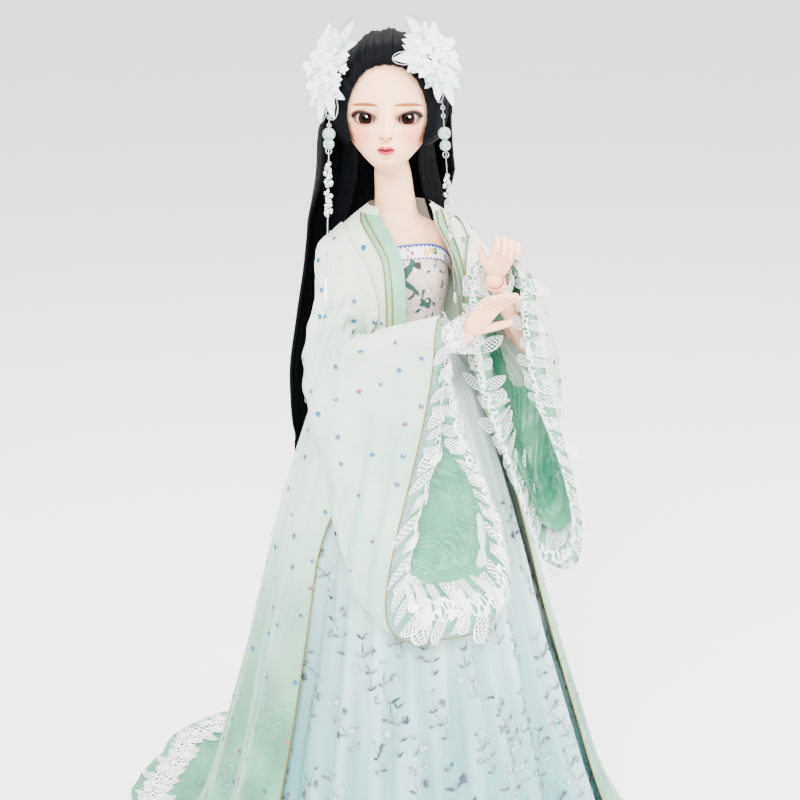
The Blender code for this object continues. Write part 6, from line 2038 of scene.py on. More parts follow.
def sprig_shape():
    """A twig with narrow leaves and two five-petalled blossoms, flat, about the length of a thumb nail."""
    points, faces = [], []

    def blade(start, angle, length, half):
        base = len(points)
        along = np.array([math.cos(angle), math.sin(angle)])
        over = np.array([-along[1], along[0]])
        for share, wide in ((0.0, 0.15), (0.35, 1.0), (0.7, 0.8), (1.0, 0.05)):
            for sign in (-1, 1):
                spot = start + along * length * share + over * half * wide * sign
                points.append((spot[0], spot[1], 0.0))
        for step in range(3):
            a = base + 2 * step
            faces.append((a, a + 1, a + 3, a + 2))

    twig = np.array([[0.0, -0.0120], [0.0012, -0.0040], [-0.0006, 0.0040], [0.0016, 0.0125]])
    for start, end in zip(twig, twig[1:]):
        step = end - start
        blade(start, math.atan2(step[1], step[0]), float(np.linalg.norm(step)) * 1.04, 0.00028)
    for start, angle, length in (
        (twig[0], 0.6, 0.0050), (twig[0], 2.5, 0.0044), (twig[1], 0.3, 0.0062), (twig[1], 2.7, 0.0056),
        (twig[2], 0.5, 0.0060), (twig[2], 2.4, 0.0050), (twig[3], 0.7, 0.0042), (twig[3], 2.2, 0.0042),
    ):
        blade(start, angle, length, 0.00075)
    for centre in (np.array([0.0052, 0.0065]), np.array([-0.0050, -0.0005])):
        for turn in range(5):
            blade(centre, turn * 2 * math.pi / 5, 0.0024, 0.0011)
    mesh = bpy.data.meshes.new("sprig_shape")
    mesh.from_pydata(points, [], faces)
    return bpy.data.objects.new("sprig_shape", mesh)


def scatter_sprigs(skirt, points):
    """Foil sprigs over the skirt below the sleeves, laid down on its folds."""
    height = points[:, :, 2]
    following = np.roll(height, -1, 1)
    low = 0.25 * (height[:-1] + height[1:] + following[:-1] + following[1:])
    keep = (low > SPRIG_LEVELS[0]) & (low < SPRIG_LEVELS[1])
    base = cloth_object("sprig_ground", points, None, wrap=True, keep=keep, flip=True)
    spacing = size_of("doll_gown", "sprig_spacing")
    obj = scattered(
        "skirt_sprigs",
        base,
        sprig_shape(),
        finish_of("silver_foil"),
        Spacing=spacing,
        Density=1.4 / spacing**2,
        Lift=SPRIG_LIFT,
        Seed=11,
        Upright=1.0,
        Spin=0.7,
        **{"Least Size": 1.1, "Most Size": 1.7},
    )
    wrap = obj.modifiers.new("Lay down", "SHRINKWRAP")
    wrap.target = skirt
    wrap.wrap_method = "NEAREST_SURFACEPOINT"
    wrap.wrap_mode = "ABOVE_SURFACE"
    wrap.offset = 0.0007
    baked(obj)
    bpy.data.objects.remove(base)
    move_with(obj, ROBE_MOTION)


def make_lapels():
    gold = finish_of("gold_cord")
    rows = 80
    z = np.linspace(LAPEL_TOP, LAPEL_BOTTOM, rows)[:, None]
    lift = CLOTH * 3.0
    right, left = robe_edges(z)
    for label, sign, edge, width in (
        ("right", -1, right, LAPEL_WIDTH_RIGHT),
        ("left", 1, left, LAPEL_WIDTH_LEFT),
    ):
        share = np.linspace(-0.12, 1, 14)[None, :]
        radius_at_edge = bell(sign * edge, z)
        theta = sign * (edge + share * width / radius_at_edge)
        crown = 0.0006 * np.sin(np.clip(share, 0, 1) * math.pi)
        radius = gown_radius(theta, z) + lift + crown
        points = around(theta, radius, np.broadcast_to(z, radius.shape))
        lapel = cloth_object(f"lapel_band_{label}", points, finish_of("lapel_satin"))
        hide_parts(f"lapel_{label}")
        declare(lapel, ["robe_chiffon"])
        move_with(lapel, "chest")
        for place in (9, 13) if label == "right" else (2, 13):
            path = points[:, place] + lifted_by(points, 0.0006)[:, place]
            cord = tube_object(f"lapel_cord_{label}_{place}", path, size_of("doll_gown", "cord_radius"), gold)
            move_with(cord, "chest")


def bodice_ring(theta, height, gap):
    """A ring of the bodice, gap off the chest: it dips under the arms and bridges the breasts."""
    dip = BODICE_DIP * np.abs(np.sin(theta)) ** 3
    z = height - dip * np.clip((height - BODICE_BOTTOM) / (BODICE_TOP - BODICE_BOTTOM), 0, 1)
    x, y, bust, front = chest_outline(theta, (z - CHEST_BOTTOM) / CHEST_HEIGHT)
    y = y - 0.55 * bust * np.exp(-((x / CHEST_HALF_WIDTH / 0.45) ** 2)) * front
    length = np.hypot(x, y)
    return np.stack([x * (1 + gap / length), WAIST[1] + y * (1 + gap / length), z], axis=-1)


def make_bodice():
    columns = 180
    theta = turns(columns)[None, :]
    gap = BODICE_GAP + CLOTH * 0.5 + CLEARANCE
    rows = np.linspace(BODICE_TOP, BODICE_BOTTOM, 44)[:, None]
    below_trim = np.clip((BODICE_TOP - 0.010 - rows) / 0.01, 0, 1)
    puff = 0.0007 * np.sin(rows * 900.0 + 3.0 * np.sin(7 * theta)) * below_trim
    points = bodice_ring(theta, np.broadcast_to(rows, (44, columns)), gap + np.abs(puff))
    bodice = cloth_object("bodice_cloth", points, finish_of("crinkled_print"), wrap=True)
    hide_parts("bodice")
    declare(bodice, ["chest_skin"])
    move_with(bodice, "chest")
    rows = np.linspace(BODICE_TOP + CLOTH, BODICE_TOP - TRIM_HEIGHT, 8)[:, None]
    points = bodice_ring(theta, np.broadcast_to(rows, (8, columns)), gap + CLOTH * 1.9)
    trim = cloth_object("bodice_ribbon", points, finish_of("woven_ribbon"), wrap=True)
    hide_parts("bodice_trim")
    declare(trim, ["bodice_cloth"])
    move_with(trim, "chest")


SLEEVE_COLUMNS = 168
SLEEVE_ROWS = 121
SLEEVE_BREAKS = (0.28, 0.40)


def fine_sleeve(side, label):
    """The sleeve's outer surface as a fine grid, creased at the elbow and softly folded below it."""
    phi = turns(SLEEVE_COLUMNS)[None, :]
    along = np.linspace(0.0, 1.0, SLEEVE_ROWS)[:, None]
    points = sleeve_point(side, label, phi, along)
    normal = grid_normals(points, wrap=True) * side
    elbow = np.exp(-(((along - 0.36) / 0.13) ** 2)) * (0.5 + 0.5 * np.cos(phi - 0.6))
    creases = np.sin(along * 74.0 + 3.4 * np.sin(phi * 2 + 0.7) + 1.5 * np.sin(phi * 5))
    hang = np.clip(-np.cos(phi), 0, 1) * np.clip((along - 0.35) / 0.3, 0, 1)
    soft = np.sin(along * 34.0 + 3.0 * np.sin(phi) + 1.1) + 0.5 * np.sin(along * 71.0 - 4.0 * phi)
    crinkle = 0.6 * np.sin(phi * 33 + 6 * along) + 0.4 * np.sin(phi * 57 - 11 * along)
    fade = np.clip((1 - along) / 0.05, 0, 1) * np.clip(along / 0.06, 0, 1)
    lift = (0.0032 * creases * elbow + 0.0016 * soft * hang + 0.0005 * crinkle) * fade
    # How deep each point lies in the folds, for the shade that the chiffon paints in the creases
    depth = np.clip(0.45 + 0.55 * creases * elbow * fade + 0.40 * soft * hang, 0, 1)
    return points - normal * (lift - 0.0005)[..., None], depth


LEAST_BLEND = 0.004


def span_of(points_before, points_after):
    """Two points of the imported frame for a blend: past all of the first ring and before all of the last."""
    start, end = placed(points_before).mean(axis=0), placed(points_after).mean(axis=0)
    axis = unit(end - start)
    low = ((placed(points_before) - start) @ axis).max()
    high = ((placed(points_after) - start) @ axis).min()
    low = min(low, high - LEAST_BLEND)
    return tuple(start + axis * low), tuple(start + axis * high)


LIP_TURNS = (0, 30, 60, 90, 120, 150, 165, 180, 195, 225, 255, 285, 330, 360)
LIP_MILLIMETRES = {
    "right": (4, 8, 15, 22, 28, 40, 44, 42, 34, 22, 15, 8, 4, 4),
    "left": (4, 6, 9, 12, 16, 20, 22, 22, 21, 17, 12, 8, 4, 4),
}
LIP_BULGE = {"right": 0.26, "left": 0.30}


def make_lip(side, label, sleeve):
    """The sleeve's turned mouth: a sheer strip at the free edge, satin behind it, a lace band and a cord."""
    _, elbow, wrist, _ = arm_points(side)
    forward = unit([wrist[0] - elbow[0], wrist[1] - elbow[1], 0.0])
    ring = np.concatenate([sleeve[-1], sleeve[-1][:1]])

    def on_ring(place):
        return np.stack([np.interp(place, np.arange(len(ring)), ring[:, axis]) for axis in range(3)], axis=-1)

    degrees = np.linspace(14, 346, 220)
    edge = on_ring(degrees / 360 * SLEEVE_COLUMNS)
    folded = np.minimum(degrees, 360 - degrees)
    held = np.minimum(folded, 112) / 360 * SLEEVE_COLUMNS
    inward = normalised(0.5 * (on_ring(held) + on_ring(SLEEVE_COLUMNS - held)) - edge)
    width = smooth_table(degrees, LIP_TURNS, np.array(LIP_MILLIMETRES[label]) * MILLIMETRE)
    t = np.linspace(0, 1, 30)[:, None]
    roll = np.sin(np.clip(t / 0.86, 0, 1) * math.pi) - 1.4 * np.clip((t - 0.80) / 0.20, 0, 1) ** 2
    wave = 0.10 * np.sin(degrees / 9.0)[None, :] * np.sin(t * math.pi)
    bulge = LIP_BULGE[label] * (roll + wave)
    outward = forward * 0.85 + np.array([0.0, 0.0, -0.10])
    points = edge[None] + inward[None] * (width[None] * t)[..., None]
    points = points + outward * (bulge * width[None])[..., None]
    satin = cloth_object(f"sleeve_lip_{label}", points[5:], finish_of("lip_satin"))
    declare(satin, [f"sleeve_low_{label}"])
    sheer = cloth_object(f"sleeve_sheer_{label}", points[:6], finish_of("sheer_strip"))
    declare(sheer, [f"sleeve_low_{label}", f"sleeve_lip_{label}"])
    lifted = points + lifted_by(points, 0.0011, outward)
    lace = lace_band(f"sleeve_lace_{label}", lifted[8:24], float(width.mean()) * 0.5)
    declare(lace, [f"sleeve_lip_{label}"])
    gold = finish_of("gold_cord")
    cord = tube_object(f"sleeve_cord_{label}", points[0], size_of("doll_gown", "cord_radius"), gold)
    for piece in (satin, sheer, lace, cord):
        move_with(piece, f"forearm_{label}")


def lining_in_shade_graph(graph):
    # painted shade: the lining is a darker copy of the green satin, for the shade inside the sleeve
    satin_graph(graph, (0.055, 0.27, 0.145), (0.006, 0.125, 0.065))


def lip_graph(graph):
    satin_graph(graph, (0.17, 0.42, 0.28), (0.045, 0.24, 0.135))


def make_sleeve(side, label):
    """The hanging sleeve in three parts that meet at shoulder and elbow, its sequins, lining and mouth."""
    points, depth = fine_sleeve(side, label)
    chiffon = finish_of("crinkled_chiffon")
    first, second = (round(share * (SLEEVE_ROWS - 1)) for share in SLEEVE_BREAKS)
    seed = 21 if label == "right" else 31
    elbow = "elbow_" + label
    spans = (
        ("high", 0, first, "chest", f"upper_arm_{label}"),
        ("middle", first, second, f"upper_arm_{label}", elbow),
        ("low", second, SLEEVE_ROWS - 1, elbow, f"forearm_{label}"),
    )
    for part, low, high, before, after in spans:
        rows = slice(low, high + 1)
        name = f"sleeve_{part}_{label}"
        piece = cloth_object(name, points[rows], chiffon, True, flip=side > 0, depth=depth[rows])
        if part == "high":
            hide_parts(f"sleeve_{label}")
        declare(piece, [f"upper_arm_{label}" if part != "low" else f"forearm_{label}"])
        last = points[high] if part != "low" else points[low + 14]
        motion = (before, after, *span_of(points[low], last))
        sprinkle(f"sequins_{part}_{label}", piece, motion, seed + low, 1.0 if part == "low" else 1.2)
        move_with(piece, motion)
    inner = inward_grid(points, LINING_GAP, side)[second:]
    facing = np.roll(inner[:, ::-1], 1, axis=1)
    phi = turns(SLEEVE_COLUMNS)[None, :]
    along = np.linspace(0, 1, len(inner))[:, None]
    pleat = 0.5 + 0.5 * np.sin(phi * 8 + 2.2 * np.sin(along * 3) + 0.6)
    pinch = (0.07 + 0.20 * pleat * (1 - 0.9 * along**3)) * np.clip(along * 6, 0, 1)
    pinch = pinch * np.clip(-np.cos(phi) + 0.35, 0, 1)
    inner = inner + (0.5 * (inner + facing) - inner) * pinch[..., None]
    lining = cloth_object(f"lining_{label}", inner, finish_of("lining_satin"), wrap=True)
    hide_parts(f"sleeve_lining_{label}")
    declare(lining, [f"sleeve_low_{label}"])
    move_with(lining, motion)
    make_lip(side, label, points)


def make_cuff(side, label):
    """The inner sleeve's gathered lace frill, flaring over the wrist."""
    _, elbow, wrist, _ = arm_points(side)
    axis = unit(wrist - elbow)
    over = unit(np.cross(axis, [0.0, 0.0, 1.0]))
    other = np.cross(over, axis)
    columns, rows = 145, 9
    turn = np.linspace(0, 2 * math.pi, columns)[None, :]
    share = np.linspace(0, 1, rows)[:, None]
    radius = CUFF_RADIUS + (CUFF_FLARE - CUFF_RADIUS) * share**1.3 + 0.0013 * share * np.sin(turn * 11)
    start = wrist - axis * CUFF_LENGTH
    reach = CUFF_LENGTH * 1.12 * share
    ring = np.cos(turn)[..., None] * over + np.sin(turn)[..., None] * other
    points = start + axis * reach[..., None] + ring * radius[..., None]
    lace = lace_band(f"cuff_frill_{label}", points, CUFF_LENGTH * 1.1, pitch=0.0100)
    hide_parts(f"cuff_lace_{label}")
    declare(lace, [f"forearm_{label}"])
    move_with(lace, f"forearm_{label}")


def to_part(points):
    """Points of the head's own frame in the part's frame."""
    matrix = np.array(head_matrix())
    return points @ matrix[:3, :3].T + matrix[:3, 3] - SHIFT


HAIRLINE_AROUND_SHARES = (0.0, 0.14, 0.28, 0.385, 0.483, 0.56, 0.66, 0.83, 1.0)
HAIRLINE_DEGREES = (88, 91.5, 108, 124.5, 130, 124, 105, 88, 84)
CROWN_PUFF = 0.0042


def hair_strand(path, radius, taper, sides=6):
    return tube_object("strand", path, radius, finish_of("black_fibre"), sides, taper=taper)


def make_wig():
    """Top hair: strands swept back from the hairline to a low point on the back of the head."""
    columns, rows = 320, 60
    pole_tilt = math.radians(48)
    beta = turns(columns)
    around_share = np.abs((beta + math.pi) % (2 * math.pi) - math.pi) / math.pi
    reach = np.radians(smooth_table(around_share, HAIRLINE_AROUND_SHARES, HAIRLINE_DEGREES))
    wisps = 0.007 * np.sin(beta * 37 + 0.6) + 0.005 * np.sin(beta * 71 + 2.0) + 0.003 * np.sin(beta * 113)
    share = np.linspace(0.012, 1, rows)[:, None]
    alpha = (reach + wisps)[None, :] * share
    pole = np.array([0.0, math.cos(pole_tilt), math.sin(pole_tilt)])
    forward = np.array([0.0, -math.sin(pole_tilt), math.cos(pole_tilt)])
    sideways = np.array([1.0, 0.0, 0.0])
    direction = (
        np.cos(alpha)[..., None] * pole
        + (np.sin(alpha) * np.cos(beta))[..., None] * forward
        + (np.sin(alpha) * np.sin(beta))[..., None] * sideways
    )
    azimuth = np.arctan2(direction[..., 0], -direction[..., 1])
    elevation = np.arcsin(np.clip(direction[..., 2], -1, 1))
    skin = head_surface(azimuth, elevation)
    length = np.linalg.norm(skin, axis=-1, keepdims=True)
    thick = WIG_GAP + WIG_THICKNESS * (1 - 0.92 * np.clip((share - 0.80) / 0.20, 0, 1) ** 2.2)
    turned = np.minimum(beta, 2 * math.pi - beta)
    thick = thick + CROWN_PUFF * np.exp(-((turned / 0.95) ** 2)) * np.sin(share * math.pi) ** 0.8
    strands = 0.00045 * np.sin(beta * 47 + 2.2 * np.sin(share * 5)) + 0.00035 * np.sin(beta * 83 + 1.1)
    locks = 0.0008 * np.sin(beta * 13 + 0.9) * np.sin(share * math.pi)
    lift = thick + (strands + locks) * np.clip(share * 3, 0, 1) * (1 - share**5)
    points = to_part(skin * (1 + lift[..., None] / length))
    wig = cloth_object("wig_hair", points, finish_of("black_fibre"), wrap=True)
    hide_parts("wig_cap")
    move_with(wig, "head")
    baby = []
    for index in range(HAIRLINE_COUNT):
        angle = -1.75 + 3.5 * index / (HAIRLINE_COUNT - 1) + 0.02 * math.sin(index * 12.9)
        column = int(round((angle % (2 * math.pi)) / (2 * math.pi) * columns)) % columns
        root, back = points[-1, column], points[-14 - index % 5, column]
        outward = unit(root - to_part(np.zeros(3)))
        path = []
        for along in np.linspace(-0.16, 1, 8):
            stand = 0.0009 * math.sin(along * math.pi) - 0.0004
            path.append(root + (back - root) * along + outward * stand)
        baby.append(hair_strand(path, HAIRLINE_RADIUS, np.linspace(0.25, 1, 8), 4))
    fringe = joined("hairline_strands", baby)
    move_with(fringe, "head")


HAIR_RISE = 1.34
HAIR_RISE_DEGREES = 58
HAIR_TIP = 0.04


def long_hair(across, level):
    """The long back hair, carried on above level 1 over the wig's back, which it leaves near the crown."""
    across, level = np.broadcast_arrays(across, level)
    low = hair_point(across, np.clip(level, 0, 1))
    t = np.clip((level - 1) / (HAIR_RISE - 1), 0, 1)
    azimuth = math.pi - across * (1.50 - 0.25 * t)
    elevation = np.radians(-8 + (HAIR_RISE_DEGREES + 8) * t)
    skin = head_surface(azimuth, elevation)
    length = np.linalg.norm(skin, axis=-1, keepdims=True)
    high = to_part(skin * (1 + (WIG_GAP + WIG_THICKNESS + 0.0016) / length))
    share = eased(np.clip((level - 0.93) / 0.17, 0, 1))[..., None]
    return low * (1 - share) + high * share


def side_locks():
    """Locks that frame the face from the temples, pass behind the jaw and join the long hair."""
    strands = []
    for side, _ in ARMS:
        for index in range(SIDE_LOCK_COUNT):
            share = index / (SIDE_LOCK_COUNT - 1)
            local = np.array(
                [
                    [21.0 + 3.5 * share, -19.0 + 7 * share, 17.0 - 4 * share],
                    [23.6 + 3.0 * share, -15.0 + 8 * share, 0.0],
                    [22.4 + 6.0 * share, -8.0 + 8 * share, -18.0],
                    [21.5 + 9.5 * share, 2.0 + 9 * share, -36.0],
                    [25.0 + 10.0 * share, 14.0 + 8 * share, -58.0],
                    [33.0 + 6.0 * share, 24.0 + 6 * share, -84.0],
                ]
            )
            local = local * MILLIMETRE * [side, 1, 1]
            local[:, 0] += 0.0005 * math.sin(index * 2.3)
            path = resampled(to_part(local), 30)
            taper = np.clip(np.linspace(0.0, 6.0, 30), 0.25, 1)
            strands.append(hair_strand(path, SIDE_LOCK_RADIUS, taper))
    locks = joined("side_locks", strands)
    move_with(locks, HAIR_MOTIONS["upper"])


HAIR_BREAKS = (0.515, 0.435)
HAIR_MOTIONS = {
    "upper": ("head", "neck_hook", (0.0, 0.0, 0.555), (0.0, 0.0, 0.52)),
    "middle": ("neck_hook", "chest", (0.0, 0.0, 0.505), (0.0, 0.0, 0.445)),
    "lower": ("chest", "hips_and_gown", (0.0, 0.0, 0.42), (0.0, 0.0, 0.36)),
}


def from_head_axis(points):
    """The level direction from the head's upright axis to each point."""
    away = points - np.array([0.0, HEAD_CENTRE[1], 0.0])
    away[..., 2] = 0
    return normalised(away)


def make_long_hair():
    """The long hair, a sheet with locks on it, cut into three bands at two heights, each given its own
    motion.
    """
    columns, rows = 200, 130
    across = np.linspace(-1, 1, columns)[None, :]
    level = np.linspace(HAIR_RISE, HAIR_TIP, rows)[:, None]
    points = long_hair(across, level)
    ripple = 0.0007 * np.sin(across * 60 + 3 * np.sin(level * 4)) + 0.0005 * np.sin(across * 113 + 1.0)
    points = points + from_head_axis(points) * ripple[..., None]
    line = np.arange(columns - 1)
    ragged = 0.10 + 0.05 * np.sin(line * 0.9) + 0.03 * np.sin(line * 0.37 + 1)
    keep = level[:-1] > ragged[None, :] * 0.8
    base = cloth_object("back_hair_sheet", points, finish_of("black_fibre"), keep=keep)
    strands = []
    for index in range(BACK_LOCK_COUNT):
        place = -1 + 2 * (index + 0.5) / BACK_LOCK_COUNT
        tip = max(0.0, 0.02 + 0.05 * math.sin(index * 2.7) + 0.04 * math.sin(index * 1.1))
        steps = np.linspace(HAIR_RISE, tip, 40)
        drift = 0.02 * np.sin(steps * 5 + index) + 0.03 * math.sin(index * 7.3) * (1 - steps)
        path = long_hair(np.clip(place + drift, -1, 1)[None, :], steps[None, :])[0]
        path = path + from_head_axis(path) * (0.0004 + 0.0010 * (0.5 + 0.5 * math.sin(index * 3.1)))
        taper = np.clip((steps - tip) / 0.25, 0.04, 1) ** 0.6
        strands.append(hair_strand(path, BACK_LOCK_RADIUS, taper))
    locks = joined("back_hair_locks", strands)
    for whole in (base, locks):
        bands = cut_at_heights(whole, HAIR_BREAKS, HAIR_MOTIONS)
        for band, motion in zip(bands, HAIR_MOTIONS.values()):
            move_with(band, motion)
        if whole is base:
            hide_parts("back_hair")


ORNAMENT_TIPS = {
    "right": ((-16.4, 31.2), (-9.7, 18.6), (-16.2, 5.3), (11.2, -8.4), (-4.6, -21.4), (-12.0, -34.5),
              (-0.9, -37.5), (8.0, 22.0), (12.5, 8.0), (10.0, -22.0), (-13.0, -12.0), (3.0, 30.0)),
    "left": ((23.6, 30.3), (18.1, 17.6), (38.8, 1.0), (8.3, 7.6), (-14.1, -5.9), (4.5, -15.9), (8.7, -27.8),
             (-2.2, -31.4), (30.0, 14.0), (26.0, -8.0), (-10.0, 14.0), (4.0, 26.0), (-10.0, -20.0)),
}
ORNAMENT_HEART = {"right": (0.0, -2.0), "left": (8.0, 2.0)}


BLADE_SHARES = (0.0, 0.15, 0.35, 0.55, 0.75, 0.90, 1.0)
BLADE_WIDTHS = (0.12, 0.50, 0.90, 1.0, 0.72, 0.36, 0.02)


def ornament_frame(label):
    spot = ORNAMENT_PLACE[label]
    size = np.array([HEAD_HALF_WIDTH, HEAD_HALF_DEPTH, CROWN_RISE]) + WIG_GAP + WIG_THICKNESS
    outward = unit(unit(spot / size**2) + np.array([0.0, -1.0, 0.0]))
    across = unit(np.cross(outward, [0.0, 0.0, 1.0]))
    return spot, across, outward, np.cross(across, outward)


def make_ornament(label):
    """Clusters of frosted petals round small flowers, with wire loops, pearls and a cut stone."""
    spot, across, outward, upward = ornament_frame(label)
    heart = np.array(ORNAMENT_HEART[label]) * MILLIMETRE
    points, faces, maps = [], [], []

    def at(x, y, z):
        return to_part(spot + across * x + upward * y + outward * z)

    def blade(start, end, half, height, lift, mark):
        base = len(points)
        run = end - start
        length = max(float(np.linalg.norm(run)), 1e-6)
        over = np.array([-run[1], run[0]]) / length
        for share, wide in zip(BLADE_SHARES, BLADE_WIDTHS):
            for line in (-1.0, -0.5, 0.0, 0.5, 1.0):
                plane = start + run * share + over * half * wide * line
                cup = lift + height * math.sin(share * math.pi) + 0.18 * half * abs(line)
                points.append(at(plane[0], plane[1], cup))
                maps.append((mark + length * share, line))
        faces.extend(tuple(face + base) for face in grid_faces(len(BLADE_SHARES), 5))

    tips = [np.array(tip) * MILLIMETRE for tip in ORNAMENT_TIPS[label]]
    for index, tip in enumerate(tips):
        start = heart + (tip - heart) * 0.12
        length = float(np.linalg.norm(tip - start))
        blade(start, tip, min(0.0044, 0.20 * length), 0.0020, 0.0006 + 0.0005 * (index % 3), 20.0)
        for sign in (-1, 1):
            run = tip - start
            over = np.array([-run[1], run[0]]) * sign
            blade(start + run * 0.30, start + run * 0.66 + over * 0.34, 0.10 * length, 0.0015, 0.0012, 20.0)
    mesh = mesh_of(f"ornament_petals_{label}", placed(points), faces)
    petals = new_object(f"ornament_petals_{label}", mesh, finish_of("frosted_petal"))
    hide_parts(f"hair_ornament_{label}")
    points.clear()
    faces.clear()
    maps.clear()
    for index in range(24):
        turn = index * GOLDEN_TURN
        centre = heart + 0.0036 * math.sqrt(index) * np.array([math.cos(turn), math.sin(turn)])
        for petal in range(5):
            angle = petal * FULL_TURN / 5 + index
            tip = centre + 0.0040 * np.array([math.cos(angle), math.sin(angle)])
            blade(centre, tip, 0.0015, 0.0006, 0.0030, 15.5)
    flat = np.array([maps[index] for face in faces for index in face])
    mesh = mesh_of(f"ornament_lace_{label}", placed(np.array(points)), faces, flat)
    flowers = new_object(f"ornament_lace_{label}", mesh, finish_of("guipure_lace"))
    wires = []
    for index, tip in enumerate(tips[:7]):
        turn = np.linspace(0, 2 * math.pi, 26)[:-1]
        middle = heart + (tip - heart) * 0.72
        run = (tip - heart) * 0.30
        over = np.array([-run[1], run[0]]) * 0.45
        loop = []
        for angle in turn:
            plane = middle + run * math.cos(angle) + over * math.sin(angle)
            loop.append(at(plane[0], plane[1], 0.0034 + 0.0008 * math.sin(angle)))
        wires.append(tube_object("loop", loop, LOOP_WIRE_RADIUS, finish_of("silvered_wire"), 6, closed=True))
    wire = joined(f"ornament_wires_{label}", wires)
    bm = bmesh.new()
    for index in range(14):
        turn = index * GOLDEN_TURN + 0.8
        plane = heart + 0.0040 * math.sqrt(index + 0.5) * np.array([math.cos(turn), math.sin(turn)])
        radius = 0.0011 + 0.0005 * (index % 2)
        place = at_point(at(plane[0], plane[1], 0.0046))
        bmesh.ops.create_uvsphere(bm, u_segments=14, v_segments=9, radius=radius, matrix=place)
    name = f"ornament_pearls_{label}"
    pearls = new_object(name, mesh_from(bm, name), finish_of("small_pearl"))
    pieces = [petals, flowers, wire, pearls]
    if label == "left":
        pieces.append(make_stone(at, np.array((14.1, -13.8)) * MILLIMETRE))
    for piece in pieces:
        move_with(piece, "head")


def make_stone(at, plane):
    """A square step-cut stone, without its thin frame."""
    bm = bmesh.new()
    rings = []
    for half, height in ((0.0032, 0.0030), (0.0032, 0.0048), (0.0026, 0.0058), (0.0017, 0.0063)):
        corners = []
        for x, y in ((-1, -0.5), (-0.5, -1), (0.5, -1), (1, -0.5), (1, 0.5), (0.5, 1), (-0.5, 1), (-1, 0.5)):
            spot = at(plane[0] + x * half, plane[1] + y * half * 1.2, height)
            corners.append(bm.verts.new(Vector(placed(spot))))
        rings.append(corners)
    lofted(bm, rings)
    mesh = mesh_from(bm, "ornament_stone", smooth=False)
    return new_object("ornament_stone", mesh, finish_of("mint_glass_bead"))


PENDANT_LAYOUT = {
    "right": {"beads": (0.115, 0.165), "ring": 0.20, "clusters": (0.30, 0.34, 0.44, 0.49), "leaf": 0.82},
    "left": {"beads": (0.155, 0.215), "ring": 0.26, "clusters": (0.40, 0.48, 0.57, 0.64), "leaf": 0.94},
}


# The leaf drop's half width at shares of its length, over the small width of its tips
LEAF_DROP = ((0.0, 0.0), (0.25, 0.0008), (0.55, 0.0012), (0.8, 0.0008), (1.0, 0.0))
LEAF_TIP = 0.00001


def make_pendant(label):
    """A wire, two glass beads, a ring, crystal clusters on a chain and a thin strand with a leaf drop."""
    top, end = PENDANT_TOP[label], PENDANT_END[label]
    layout = PENDANT_LAYOUT[label]
    down = unit(end - top)
    over = unit(np.cross(down, [0.0, 1.0, 0.0]))
    other = np.cross(down, over)
    length = float(np.linalg.norm(end - top))

    def at(share, x=0.0, y=0.0):
        return top + down * length * share + over * x + other * y

    wire_material = finish_of("silvered_wire")
    strand = [at(share) for share in np.linspace(0, 0.93, 60)]
    wires = [tube_object("wire", strand, PENDANT_WIRE_RADIUS, wire_material, 6)]
    rings = ((0.03, 0.0013), (0.07, 0.0013), (layout["ring"], 0.0020), (0.36, 0.0010), (0.72, 0.0010))
    for share, radius in rings:
        turn = np.linspace(0, FULL_TURN, 21)[:-1]
        loop = [at(share + radius / length * math.cos(a), radius * math.sin(a)) for a in turn]
        wires.append(tube_object("ring", loop, RING_WIRE_RADIUS, wire_material, 6, closed=True))
    chain = joined(f"pendant_wire_{label}", wires)
    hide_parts(f"pendant_{label}")
    bm = bmesh.new()
    for share, size in zip(layout["beads"], (1.0, 0.86)):
        radius = BEAD_RADIUS * 0.92 * size
        bmesh.ops.create_uvsphere(bm, u_segments=32, v_segments=20, radius=radius, matrix=at_point(at(share)))
    name = f"pendant_beads_{label}"
    beads = new_object(name, mesh_from(bm, name), finish_of("mint_glass_bead"))
    bm = bmesh.new()
    for group, share in enumerate(layout["clusters"]):
        for index in range(7):
            turn = index * GOLDEN_TURN + group
            reach = 0.0020 * (0.4 + 0.6 * ((index * 5) % 7) / 6)
            spot = at(share + (index - 3) * 0.0016 / length, reach * math.cos(turn), reach * math.sin(turn))
            size = 0.0011 + 0.00035 * (index % 3)
            spin = Matrix.Rotation(turn, 4, "Z") @ Matrix.Rotation(0.7 * index, 4, "X")
            place = at_point(spot) @ spin @ Matrix.Diagonal((1, 1, 1.5, 1))
            bmesh.ops.create_icosphere(bm, subdivisions=1, radius=size, matrix=place)
    rings = []
    for share, half in LEAF_DROP:
        place = layout["leaf"] + (1.0 - layout["leaf"]) * share
        ring = []
        for x, y in ((1, 0), (0, 1), (-1, 0), (0, -1)):
            spot = at(place, half * x + LEAF_TIP * x, half * y * 0.5 + LEAF_TIP * y)
            ring.append(bm.verts.new(Vector(placed(spot))))
        rings.append(ring)
    lofted(bm, rings)
    name = f"pendant_crystals_{label}"
    crystals = new_object(name, mesh_from(bm, name, smooth=False), finish_of("crystal"))
    for piece in (chain, beads, crystals):
        move_with(piece, f"pendant_{label}")


def crystal_graph(graph):
    spark = graph.noise(graph.where(), 900.0, 2.0).ramp(0.35, 0.65)
    graph.surface(
        Base_Color=graph.mix(spark, (0.30, 0.42, 0.44), (0.93, 0.96, 0.96)),
        Roughness=0.05 + 0.12 * spark,
        Metallic=0.15 * spark,
        Transmission_Weight=0.25,
        Coat_Weight=1.0,
    )


